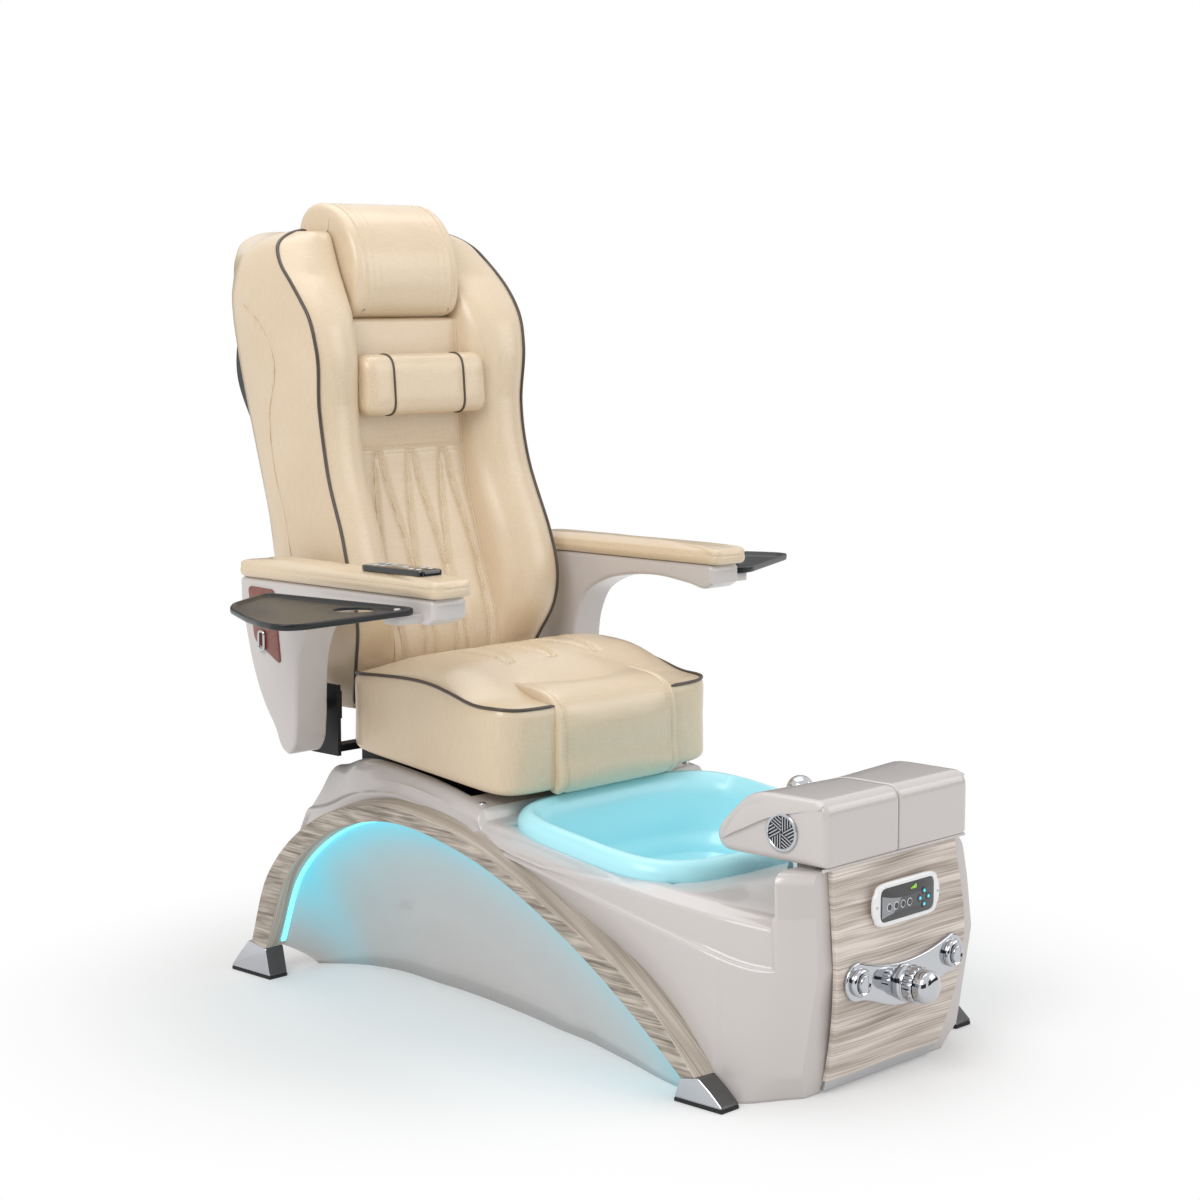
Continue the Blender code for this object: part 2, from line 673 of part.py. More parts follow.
def base_stations():
    """Places along Y where the base shell has a section."""
    seat = np.linspace(SHELL_REAR_Y, DECK_STEP_Y + 0.03, 9)
    step = (DECK_STEP_Y, DECK_STEP_Y - DECK_STEP_RUN)
    basin = np.linspace(DECK_STEP_Y - 0.06, FRONT_CURVE_START_Y, 7)
    front_wall = (FRONT_WALL_Y + 0.02, FRONT_WALL_Y + 0.001, FRONT_WALL_Y - 0.007, -0.660, -0.677, SHELL_FRONT_Y)
    return np.concatenate([seat, step, basin, front_wall])


def basin_outline(grow):
    """Half widths of the basin's outline, grown outwards from its rim."""
    return circle(RIM_HALF_X + grow, BASIN_SIDES, BASIN_POWER, RIM_HALF_Y + grow)


def basin_level(half_x, half_y, above_deck, tilt):
    """One ring of the basin; tilt 1 follows the sloping deck, 0 is level with the deck at the middle."""
    flat = circle(half_x, BASIN_SIDES, BASIN_POWER, half_y)
    y = flat[:, 1] + BASIN_Y
    deck_middle = BASIN_DECK_Z + BASIN_DECK_SLOPE * BASIN_Y
    z = deck_middle + BASIN_DECK_SLOPE * flat[:, 1] * tilt + above_deck
    return np.column_stack([flat[:, 0], y, z])


def build_base():
    """Floor frame, shell, trims, boots and lights."""
    root = pivot("base_origin", (0.0, 0.0, 0.0))
    stations = base_stations()
    inside = stations.copy()
    inside[0] -= SHELL_WALL
    inside[-1] += SHELL_WALL
    outer = [shell_section(y, False) for y in stations]
    inner = [shell_section(y, True) for y in inside]
    body = add_piece("base_shell", shell(outer, inner, DECK_EDGE_POINT), "shell_grey", root)
    hole = basin_outline(-RIM_OVERLAP) + np.array([0.0, BASIN_Y])
    cut(body, prism(hole, BASIN_FLOOR_Z, SEAT_DECK_Z[0][1], "Z"))
    cut(body, block((-WELL_HALF, WELL_FRONT_Y, PEDESTAL_TOP_Z + SEAT_GAP),
                    (WELL_HALF, SHELL_REAR_Y, SEAT_BOTTOM_FRONT_Z + SEAT_BOTTOM_RISE)))

    inner_x = FRAME_HALF - FRAME_TUBE
    frame = add_piece("floor_frame", block((-FRAME_HALF, FRAME_FRONT_Y, 0.0), (FRAME_HALF, FRAME_REAR_Y, FRAME_TUBE)),
                      "black_steel", root)
    half_tube = FRAME_TUBE / 2
    reach = float(np.min(curve(FLOOR_HALF, (-half_tube, half_tube)))) - SHELL_WALL - 2 * SEAT_GAP
    join(frame, block((-reach, -half_tube, 0.0), (reach, half_tube, FRAME_TUBE / 2)))
    for low_y, high_y in ((FRAME_FRONT_Y + FRAME_TUBE, -half_tube), (half_tube, FRAME_REAR_Y - FRAME_TUBE)):
        cut(frame, block((-inner_x, low_y, -FRAME_TUBE), (inner_x, high_y, 2 * FRAME_TUBE)))

    pedestal_bottom = FRAME_TUBE + SEAT_GAP
    pedestal = add_piece("seat_pedestal", block((-FRAME_HALF, PEDESTAL_FRONT_Y, pedestal_bottom),
                                                (FRAME_HALF, PEDESTAL_REAR_Y, PEDESTAL_TOP_Z)), "black_steel", root)
    cut(pedestal, block((PEDESTAL_WALL - FRAME_HALF, PEDESTAL_FRONT_Y + PEDESTAL_WALL, 0.0),
                        (FRAME_HALF - PEDESTAL_WALL, PEDESTAL_REAR_Y - PEDESTAL_WALL,
                         PEDESTAL_TOP_Z - PEDESTAL_WALL)))
    add_piece("control_box", block((-BOX_HALF, BOX_FRONT_Y, pedestal_bottom),
                                   (BOX_HALF, BOX_REAR_Y, pedestal_bottom + BOX_HEIGHT)), "black_plastic", root)
    for name, side in SIDES.items():
        rail_low, rail_high = sorted((side * (FRAME_HALF - 0.001), side * (FRAME_HALF - RAIL_WIDTH)))
        join(pedestal, block((rail_low, PEDESTAL_FRONT_Y + 0.001, PEDESTAL_TOP_Z - PEDESTAL_WALL / 2),
                             (rail_high, PEDESTAL_REAR_Y - 0.001, RAIL_TOP_Z)))
        build_arch(name, side, root)

    centre_z = PEDESTAL_TOP_Z + SEAT_GAP + CYLINDER_RADIUS
    bore = ROD_RADIUS + RUN_GAP
    length = CYLINDER_REAR_Y - CYLINDER_FRONT_Y
    cylinder = add_piece("slide_actuator", rod((0.0, CYLINDER_FRONT_Y, centre_z), (0.0, CYLINDER_REAR_Y, centre_z),
                                               CYLINDER_RADIUS), "aluminium", root)
    cut(cylinder, rod((0.0, CYLINDER_FRONT_Y + CYLINDER_END, centre_z), (0.0, CYLINDER_REAR_Y + length, centre_z), bore))
    return root


def build_arch(name, side, root):
    """Wood-laminate arch beam with its boots and its light strip."""
    outer = path(ARCH_OUTER, ARCH_RINGS)
    inner = path(ARCH_INNER, ARCH_RINGS)
    out = outer - inner
    out /= np.linalg.norm(out, axis=1)[:, None]
    back_x = BAND_HALF + SEAT_GAP
    rings = []
    lights = []
    for low, high, away in zip(inner, outer, out):
        top = high + away * ARCH_TOP_RISE
        ring = ((ARCH_HALF, *low), (ARCH_HALF, *high), (back_x, *top), (back_x, *low))
        rings.append(mirrored(ring, side))
        near = low - away * SEAT_GAP
        far = near - away * LED_THICKNESS
        strip = ((back_x + LED_WIDTH, *near), (back_x, *near), (back_x, *far), (back_x + LED_WIDTH, *far))
        lights.append(mirrored(strip, side))
    add_piece("arch_trim_" + name, loft(rings), "ash_laminate", root, 30.0)
    add_piece("side_led_strip_" + name, loft(lights[1:-1]), "led", root)
    for end, low, high in (("front", inner[0], outer[0]), ("rear", inner[-1], outer[-1])):
        build_boot(f"{end}_boot_{name}", side, low, high, root)


def build_boot(name, side, low, high, root):
    """Metal boot between the floor and one end of an arch, given the end's lower and upper edge."""
    along = (high - low) / np.linalg.norm(high - low)
    toe = math.copysign(1.0, along[0])
    down = np.array([along[1], -along[0]]) * toe
    heel_top = low + SEAT_GAP * down
    toe_top = high + ARCH_TOP_RISE * along + SEAT_GAP * down
    outline = ((heel_top[0] - toe * BOOT_HEEL, 0.0), heel_top, toe_top,
               (high[0] + toe * BOOT_LENGTH, BOOT_TOE_HEIGHT), (high[0] + toe * BOOT_LENGTH, 0.0))
    inner_x = BAND_HALF + SEAT_GAP
    add_piece(name, sided(prism(outline, inner_x, ARCH_HALF), side), "chrome", root)


def build_basin(root):
    """Foot bowl with its rim, drain, light ring and jet."""
    body_x = RIM_HALF_X - RIM_OVERLAP - 2 * SEAT_GAP
    body_y = RIM_HALF_Y - RIM_OVERLAP - 2 * SEAT_GAP
    deck_middle = BASIN_DECK_Z + BASIN_DECK_SLOPE * BASIN_Y
    floor = BASIN_FLOOR_Z - deck_middle
    wall = BASIN_WALL
    edge = 0.006
    drain = DRAIN_RADIUS + SEAT_GAP
    mid_x, mid_y = (body_x + BASIN_FLOOR_HALF_X) / 2 + 0.02, (body_y + BASIN_FLOOR_HALF_Y) / 2 + 0.02
    mid_z = 0.55 * floor
    rings = [
        (drain, drain, floor + wall, 0.0),
        (BASIN_FLOOR_HALF_X - 2 * wall, BASIN_FLOOR_HALF_Y - 2 * wall, floor + wall, 0.0),
        (mid_x - wall, mid_y - wall, mid_z + wall, 0.5),
        (body_x - wall, body_y - wall, RIM_HEIGHT - 2 * edge, 1.0),
        (body_x, body_y, RIM_HEIGHT - edge / 2, 1.0),
        (RIM_HALF_X - edge, RIM_HALF_Y - edge, RIM_HEIGHT, 1.0),
        (RIM_HALF_X, RIM_HALF_Y, RIM_HEIGHT - edge, 1.0),
        (RIM_HALF_X, RIM_HALF_Y, SEAT_GAP + edge / 2, 1.0),
        (RIM_HALF_X - edge, RIM_HALF_Y - edge, SEAT_GAP, 1.0),
        (body_x, body_y, SEAT_GAP, 1.0),
        (body_x, body_y, -BASIN_SKIRT, 1.0),
        (mid_x, mid_y, mid_z, 0.5),
        (BASIN_FLOOR_HALF_X, BASIN_FLOOR_HALF_Y, floor, 0.0),
        (drain, drain, floor, 0.0),
    ]
    add_piece("basin", loft([basin_level(*ring) for ring in rings], closed=True), "lit_acrylic", root, 60.0)

    light = BASIN_LED_SIZE
    low = -BASIN_LED_DROP
    ring_rows = []
    for out, up in ((0.0, 0.0), (light, 0.0), (light, light), (0.0, light)):
        ring_rows.append(basin_level(body_x + SEAT_GAP + out, body_y + SEAT_GAP + out, low + up, 1.0))
    add_piece("basin_led_ring", loft(ring_rows, closed=True), "led", root)

    centre = (0.0, BASIN_Y, BASIN_FLOOR_Z)
    flange = DRAIN_RADIUS + STRAINER_FLANGE
    top = BASIN_WALL + SEAT_GAP
    strainer = ((0.6 * DRAIN_RADIUS, top + STRAINER_THICKNESS), (flange, top + STRAINER_THICKNESS), (flange, top),
                (DRAIN_RADIUS - SEAT_GAP, top), (DRAIN_RADIUS - SEAT_GAP, 0.0),
                (DRAIN_RADIUS - DRAIN_PIPE_WALL, 0.0), (DRAIN_RADIUS - DRAIN_PIPE_WALL, top),
                (0.6 * DRAIN_RADIUS, top))
    add_piece("drain_strainer", turned(strainer, centre, ring=True), "chrome", root)
    pipe_bottom = DRAIN_PIPE_BOTTOM_Z - BASIN_FLOOR_Z
    pipe = ((DRAIN_RADIUS, pipe_bottom), (DRAIN_RADIUS, -SEAT_GAP - 0.004), (flange, -SEAT_GAP - 0.004),
            (flange, -SEAT_GAP), (DRAIN_RADIUS - DRAIN_PIPE_WALL, -SEAT_GAP),
            (DRAIN_RADIUS - DRAIN_PIPE_WALL, pipe_bottom))
    add_piece("drain_pipe", turned(pipe, centre, ring=True), "white_plastic", root)

    jet_centre = np.array([0.0, BASIN_Y + JET_OFFSET_Y, BASIN_FLOOR_Z + BASIN_WALL + SEAT_GAP])
    hollow = JET_RADIUS - JET_WALL
    roof = JET_HEIGHT - JET_WALL
    mouth = 0.4 * JET_RADIUS
    housing = ((SPINDLE_RADIUS / 2, 0.0), (JET_RADIUS, 0.0), (JET_RADIUS, roof), (JET_RADIUS - JET_WALL, JET_HEIGHT),
               (mouth, JET_HEIGHT), (mouth, roof), (hollow - JET_WALL, roof), (hollow, roof - JET_WALL),
               (hollow, JET_WALL), (SPINDLE_RADIUS / 2, JET_WALL))
    add_piece("jet_housing", turned(housing, jet_centre, ring=True), "white_plastic", root)
    turning = pivot("jet_axis", jet_centre, root)
    shaft = SPINDLE_RADIUS / 2 - RUN_GAP
    foot = JET_WALL + RUN_GAP
    wheel = ((shaft, SEAT_GAP), (shaft, foot), (0.5 * IMPELLER_RADIUS, foot),
             (0.5 * IMPELLER_RADIUS, foot + IMPELLER_HEIGHT))
    impeller = add_piece("jet_impeller", turned(wheel, jet_centre), "white_plastic", turning)
    blade_low = jet_centre[2] + foot
    blade_high = blade_low + IMPELLER_HEIGHT - 0.001
    for angle in range(3):
        turn = angle * math.pi / 3.0 + 0.2
        across = np.array([math.cos(turn), math.sin(turn)]) * IMPELLER_RADIUS
        thick = np.array([-math.sin(turn), math.cos(turn)]) * 0.0015
        outline = np.array([across + thick, -across + thick, -across - thick, across - thick]) + jet_centre[:2]
        join(impeller, prism(outline, blade_low + 0.0005, blade_high, "Z"))


def panel_strip(bottom, top, half, front, depth, levels):
    """Curved plate that follows the front panel between two heights."""
    rings = []
    for z in np.linspace(bottom, top, levels):
        y = float(panel_front(z)) + front
        wide = half(z)
        rings.append(((-wide, y, z), (wide, y, z), (wide, y + depth, z), (-wide, y + depth, z)))
    return loft(rings)


def capsule(half_width, half_height, corner):
    """Flat rounded plate outline in X and Z."""
    return round_section(half_width, half_height, corner, 6)


def faucet_outline():
    """Outline of the faucet plate in x and z: round ends, a hollow top edge and a lobe below the valve."""
    turn = np.linspace(-math.pi / 2.0, math.pi / 2.0, 13)
    end = FAUCET_END_RADIUS * np.column_stack([np.cos(turn), np.sin(turn)]) + np.array([FAUCET_END_X, FAUCET_Z])
    share = np.linspace(1.0, -1.0, 21)[1:-1]
    top = FAUCET_Z + FAUCET_WAIST + (FAUCET_END_RADIUS - FAUCET_WAIST) * share**2
    lobe = VALVE_DROP + FAUCET_LOBE - FAUCET_END_RADIUS
    bottom = FAUCET_Z - FAUCET_END_RADIUS - lobe * (1.0 - share**2) ** 2
    x = FAUCET_END_X * share
    other_end = end[::-1] * np.array([-1.0, 1.0])
    return np.vstack([end, np.column_stack([x, top]), other_end, np.column_stack([x, bottom])[::-1]])


def knob(name, centre, profile, parent, grip=None):
    """Turned knob whose axis runs along -Y, with an optional finger grip across it."""
    place = pivot(name + "_axis", centre, parent)
    made = add_piece(name, turned([(radius, -along) for radius, along in profile], centre, "Y"), "chrome", place)
    if grip:
        radius, base, height = grip
        x, y, z = centre
        join(made, block((x - 0.35 * radius, y - base - height, z - 0.9 * radius),
                         (x + 0.35 * radius, y - base + 0.001, z + 0.9 * radius)))
    return made


def build_front(root):
    """Front panel, display, faucet plate, knobs, footrest and sprayer."""
    add_piece("front_panel", panel_strip(PANEL_BOTTOM_Z, PANEL_TOP_Z, lambda z: float(curve(PANEL_HALF, z)), 0.0,
                                         PANEL_THICKNESS, 13), "ash_laminate", root, 30.0)
    kick_front = PANEL_THICKNESS - KICK_THICKNESS
    add_piece("kick_strip", panel_strip(KICK_BOTTOM_Z, PANEL_BOTTOM_Z - 2 * SEAT_GAP, lambda z: KICK_HALF, kick_front,
                                        KICK_THICKNESS, 3), "aluminium", root)

    display_back = float(np.min(panel_front(np.linspace(DISPLAY_Z - DISPLAY_HALF_HEIGHT,
                                                        DISPLAY_Z + DISPLAY_HALF_HEIGHT, 9)))) - SEAT_GAP
    outline = capsule(DISPLAY_HALF, DISPLAY_HALF_HEIGHT, 0.02) + np.array([0.0, DISPLAY_Z])
    bezel = add_piece("display_bezel", prism(outline, display_back - DISPLAY_DEPTH, display_back, "Y"),
                      "white_plastic", root)
    window = capsule(SCREEN_HALF, SCREEN_HALF_HEIGHT, 0.012) + np.array([0.0, DISPLAY_Z])
    cut(bezel, prism(window, display_back - 2 * DISPLAY_DEPTH, display_back - SCREEN_SINK, "Y"))
    glass = capsule(SCREEN_HALF - SEAT_GAP, SCREEN_HALF_HEIGHT - SEAT_GAP, 0.012) + np.array([0.0, DISPLAY_Z])
    add_piece("display_screen", prism(glass, display_back - DISPLAY_DEPTH + 0.001,
                                      display_back - SCREEN_SINK - SEAT_GAP, "Y"), "screen_glass", root)

    valve_z = FAUCET_Z - VALVE_DROP
    plate_levels = np.linspace(valve_z - FAUCET_LOBE, FAUCET_Z + FAUCET_END_RADIUS, 13)
    plate_back = float(np.min(panel_front(plate_levels))) - SEAT_GAP
    plate_front = plate_back - FAUCET_DEPTH
    add_piece("faucet_plate", prism(faucet_outline(), plate_front, plate_back, "Y"), "chrome", root)
    valve_y = plate_front - SEAT_GAP
    valve_front = valve_y - VALVE_LENGTH
    valve = ((VALVE_RADIUS, 0.0), (VALVE_RADIUS, VALVE_LENGTH), (SPINDLE_RADIUS, VALVE_LENGTH),
             (SPINDLE_RADIUS, VALVE_LENGTH + FLOW_LENGTH + 0.6 * TEMPERATURE_LENGTH))
    add_piece("valve_body", turned([(radius, -along) for radius, along in valve], (0.0, valve_y, valve_z), "Y"),
              "chrome", root)
    flow_y = valve_front - RUN_GAP
    bore = SPINDLE_RADIUS + RUN_GAP
    flow_axis = pivot("flow_axis", (0.0, flow_y, valve_z), root)
    flow = ((bore, 0.0), (FLOW_RADIUS - 0.002, 0.0), (FLOW_RADIUS, 0.002), (FLOW_RADIUS, FLOW_LENGTH - 0.002),
            (FLOW_RADIUS - 0.002, FLOW_LENGTH), (bore, FLOW_LENGTH))
    add_piece("flow_knob", turned([(r, -a) for r, a in flow], (0.0, flow_y, valve_z), "Y", ring=True), "chrome",
              flow_axis)
    mixer_y = flow_y - FLOW_LENGTH - RUN_GAP
    mixer_axis = pivot("temperature_axis", (0.0, mixer_y, valve_z), root)
    inside = 0.6 * TEMPERATURE_LENGTH + RUN_GAP
    mixer = ((0.0, inside), (bore, inside), (bore, 0.0), (TEMPERATURE_RADIUS, 0.0),
             (TEMPERATURE_RADIUS, 0.7 * TEMPERATURE_LENGTH), (0.8 * TEMPERATURE_RADIUS, 0.9 * TEMPERATURE_LENGTH),
             (0.4 * TEMPERATURE_RADIUS, TEMPERATURE_LENGTH), (0.0, TEMPERATURE_LENGTH))
    add_piece("temperature_knob", turned([(r, -a) for r, a in mixer], (0.0, mixer_y, valve_z), "Y"), "chrome",
              mixer_axis)
    end_profile = ((END_KNOB_RADIUS, 0.0), (END_KNOB_RADIUS, 0.6 * END_KNOB_LENGTH),
                   (0.85 * END_KNOB_RADIUS, END_KNOB_LENGTH))
    grip = (END_KNOB_RADIUS, END_KNOB_LENGTH, KNOB_GRIP)
    for name, side in (("jet_knob", SIDES["right"]), ("drain_knob", SIDES["left"])):
        centre = (side * FAUCET_END_X, plate_front - RUN_GAP, FAUCET_Z)
        knob(name, centre, end_profile, root, grip)
    build_footrest(root)
    deck_z = BASIN_DECK_Z + BASIN_DECK_SLOPE * (SPRAYER_Y + HOLDER_RADIUS) + SEAT_GAP
    holder_centre = (0.0, SPRAYER_Y, deck_z)
    socket = SPRAYER_STEM_RADIUS + RUN_GAP
    cup = ((0.0, HOLDER_FLOOR), (socket, HOLDER_FLOOR), (socket, HOLDER_HEIGHT), (HOLDER_RADIUS - 0.003, HOLDER_HEIGHT),
           (HOLDER_RADIUS, HOLDER_HEIGHT - 0.003), (HOLDER_RADIUS, 0.0), (0.0, 0.0))
    add_piece("sprayer_holder", turned(cup, holder_centre), "chrome", root)
    lift = pivot("sprayer_lift", holder_centre, root)
    ball = SPRAYER_BALL_RADIUS
    ball_z = SPRAYER_BALL_Z - deck_z
    sprayer = [(SPRAYER_STEM_RADIUS, HOLDER_FLOOR + SEAT_GAP)]
    lowest = -math.acos(SPRAYER_STEM_RADIUS / ball)
    for angle in np.linspace(lowest, math.radians(84.0), 9):
        sprayer.append((ball * math.cos(angle), ball_z + ball * math.sin(angle)))
    add_piece("sprayer", turned(sprayer, holder_centre), "chrome", lift)


def build_footrest(root):
    """Two footrest halves on one hinge rod, with a round grille on each outer end."""
    reach = FOOTREST_HALF - 0.004
    add_piece("footrest_hinge", rod((-reach, HINGE_ROD_Y, HINGE_ROD_Z), (reach, HINGE_ROD_Y, HINGE_ROD_Z),
                                    HINGE_ROD_RADIUS, 12), "grey_steel", root)
    bottom = FOOTREST_BOTTOM_Z
    top = bottom + FOOTREST_HEIGHT
    for name, side in SIDES.items():
        axis = pivot("footrest_axis_" + name, (0.0, HINGE_ROD_Y, HINGE_ROD_Z), root)
        rings = []
        for share in (0.0, 0.03, 0.25, 0.5, 0.75, 0.88, 0.95, 1.0):
            x = FOOTREST_SEAM / 2 + share * (FOOTREST_HALF - FOOTREST_SEAM / 2)
            rear = FOOTREST_MIDDLE_REAR_Y + (FOOTREST_REAR_Y - FOOTREST_MIDDLE_REAR_Y) * ease(share)
            pull = FOOTREST_END_ROUND.get(share, 0.0)
            high = top - pull
            brow = FOOTREST_BREAK_Y - 0.020 * (1.0 - share)
            ring = [
                (FOOTREST_FRONT_Y + pull, bottom + pull),
                (FOOTREST_FRONT_Y + pull, high - FOOTREST_EDGE),
                (FOOTREST_FRONT_Y + FOOTREST_EDGE / 3 + pull, high - FOOTREST_EDGE / 3),
                (FOOTREST_FRONT_Y + FOOTREST_EDGE + pull, high),
                (brow - 0.02, high),
                (brow + 0.02, high - 0.010),
                (rear - 0.018, FOOTREST_NOSE_Z + 0.010),
                (rear - pull, FOOTREST_NOSE_Z - 0.012),
                (rear - 0.006 - pull, bottom + 0.008),
                (rear - 0.020 - pull, bottom + pull),
            ]
            rings.append([(side * x, y, z) for y, z in ring])
        add_piece("footrest_" + name, loft(rings), "shell_grey", axis)
        face = FOOTREST_HALF + SEAT_GAP
        dish = ((0.8 * GRILLE_RADIUS, 0.4 * GRILLE_THICKNESS), (0.86 * GRILLE_RADIUS, GRILLE_THICKNESS),
                (GRILLE_RADIUS, GRILLE_THICKNESS), (GRILLE_RADIUS, 0.0))
        profile = [(radius, side * along) for radius, along in dish]
        add_piece("vent_grille_" + name, turned(profile, (side * face, GRILLE_Y, GRILLE_Z), "X"), "chrome", axis)


# Seat


def seat_ring(y, shrink, columns):
    """Cross-section of the seat cushion: crowned top with channels, piped edge, drawn-in sides."""
    share = (y - SEAT_FRONT_Y) / (SEAT_REAR_Y - SEAT_FRONT_Y)
    bottom = seat_bottom(y)
    piping = SEAT_PIPING_FRONT_Z + (SEAT_PIPING_REAR_Z - SEAT_PIPING_FRONT_Z) * share - shrink
    half = SEAT_HALF - shrink
    across = np.linspace(-1.0, 1.0, columns)
    x = across * (half - 0.004)
    crown = SEAT_CROWN * ease(share * 5.0) - SEAT_REAR_DIP * ease((share - 0.6) / 0.4)
    top = piping + crown * (1.0 - np.abs(across) ** SEAT_CROWN_POWER)
    seam = np.minimum(np.abs(x - WATERFALL_HALF), np.abs(x + WATERFALL_HALF))
    inside = ease((WATERFALL_HALF - np.abs(x)) / 0.03)
    front_share = 1.0 - ease((share - 0.25) / 0.12)
    top = top + (WATERFALL_BULGE * inside - SEAT_GROOVE * np.exp(-((seam / 0.008) ** 2))) * front_share
    rear_share = ease((share - 0.42) / 0.15)
    fan = 0.5 + 0.5 * np.cos(2.0 * math.pi * x / (PLEAT_SPACING * (1.4 - 0.5 * share)))
    quilt = np.where(np.abs(x) < 1.3 * WATERFALL_HALF, 1.0, 0.0)
    top = top - SEAT_GROOVE * fan**6 * quilt * rear_share
    upper = np.column_stack([x, np.full(columns, y), top])
    drawn = half - SEAT_DRAW_IN
    low = bottom + 0.006 + shrink * 0.2
    right_side = [(half, y, piping - 0.012), (drawn, y, (piping + bottom) / 2), (half, y, low + 0.02)]
    floor = [(half - 0.006, y, low - 0.006), (0.0, y, low - 0.006), (0.006 - half, y, low - 0.006)]
    left_side = [(-px, py, pz) for px, py, pz in reversed(right_side)]
    return np.vstack([upper, right_side, floor, left_side])


def build_seat(root):
    """Sliding seat: frame, cushion, actuator rod and the pins that the back and arms turn on."""
    slide = pivot("seat_slide", (0.0, 0.0, RAIL_TOP_Z), root)
    corner = SEAT_CORNER
    rings = []
    for share in (0.0, 0.12, 0.35, 0.7, 1.0):
        y = SEAT_FRONT_Y + share * corner * 0.5
        rings.append(seat_ring(y, 0.35 * corner * (1.0 - math.sqrt(1.0 - (1.0 - share) ** 2)), 31))
    for y in np.linspace(SEAT_FRONT_Y + corner, SEAT_REAR_Y - corner, 13):
        rings.append(seat_ring(y, 0.0, 31))
    for share in (0.7, 0.35, 0.0):
        y = SEAT_REAR_Y - share * corner * 0.5
        rings.append(seat_ring(y, 0.35 * corner * (1.0 - math.sqrt(1.0 - (1.0 - share) ** 2)), 31))
    add_piece("seat_cushion", loft(rings), "leatherette", slide, 70.0)

    plate_rear = CROSS_BAR_FRONT_Y + FRAME_TUBE
    wedge = []
    for y in (FRAME_PLATE_FRONT_Y, plate_rear):
        high = seat_bottom(min(y, SEAT_REAR_Y)) - SEAT_GAP
        wide = FRAME_PLATE_HALF
        wedge.append(((-wide, y, SEAT_FRAME_BOTTOM_Z), (wide, y, SEAT_FRAME_BOTTOM_Z), (wide, y, high), (-wide, y, high)))
    frame = add_piece("seat_frame", loft(wedge), "black_steel", slide)
    cut(frame, block((FRAME_TUBE - FRAME_PLATE_HALF, FRAME_PLATE_FRONT_Y + FRAME_TUBE, PEDESTAL_TOP_Z),
                     (FRAME_PLATE_HALF - FRAME_TUBE, LUG_FRONT_Y - FRAME_TUBE, CROSS_BAR_BOTTOM_Z + FRAME_TUBE)))
    bar_top = seat_bottom(SEAT_REAR_Y) - 0.001
    join(frame, block((-SIDE_PLATE_X - 0.001, CROSS_BAR_FRONT_Y, CROSS_BAR_BOTTOM_Z),
                      (SIDE_PLATE_X + 0.001, plate_rear - 0.001, bar_top)))
    for side in SIDES.values():
        low, high = sorted((side * SIDE_PLATE_X, side * SIDE_PLATE_OUTER))
        join(frame, block((low, SIDE_PLATE_FRONT_Y, CROSS_BAR_BOTTOM_Z - 0.001),
                          (high, SIDE_PLATE_REAR_Y, SIDE_PLATE_TOP_Z)))
    rod_z = PEDESTAL_TOP_Z + SEAT_GAP + CYLINDER_RADIUS
    join(frame, block((-LUG_HALF, LUG_FRONT_Y, rod_z - ROD_RADIUS), (LUG_HALF, LUG_FRONT_Y + LUG_LENGTH,
                                                                     SEAT_FRAME_BOTTOM_Z + 0.004)))
    pin_hole = PIN_RADIUS + SEAT_GAP
    cut(frame, rod((-1.0, RECLINE_Y, RECLINE_Z), (1.0, RECLINE_Y, RECLINE_Z), pin_hole))
    add_piece("slide_rod", rod((0.0, ROD_FRONT_Y, rod_z), (0.0, LUG_FRONT_Y - SEAT_GAP, rod_z), ROD_RADIUS),
              "chrome", slide)
    inner_end = SIDE_PLATE_X - SEAT_GAP - EAR_THICKNESS
    for name, side in SIDES.items():
        start = (side * inner_end, RECLINE_Y, RECLINE_Z)
        end = (side * (ARM_INNER + ARM_PIN_DEPTH), RECLINE_Y, RECLINE_Z)
        add_piece("pivot_pin_" + name, rod(start, end, PIN_RADIUS), "grey_steel", slide)
    return slide


# Back


def back_share(z):
    """Share of the back's height at a level."""
    return (z - BACK_BOTTOM_Z) / (BACK_TOP_Z - BACK_BOTTOM_Z)


def pleat(x, z):
    """Depth of the zigzag of sewn pleats at a place on the back panel."""
    fall = np.clip((PLEAT_TOP_Z - z) / (PLEAT_TOP_Z - PLEAT_FOOT_Z), 0.0, 2.0)
    swing = PLEAT_SPACING / 2 * np.where(fall < 1.0, fall, 1.0)
    nearest = np.full_like(x, 1.0)
    for apex in (-PLEAT_SPACING, 0.0, PLEAT_SPACING):
        for way in (-1.0, 1.0):
            nearest = np.minimum(nearest, np.abs(x - apex - way * swing))
    shown = ease((PLEAT_TOP_Z - z) / 0.02)
    return PLEAT_DEPTH * np.exp(-((nearest / PLEAT_WIDTH) ** 2)) * shown


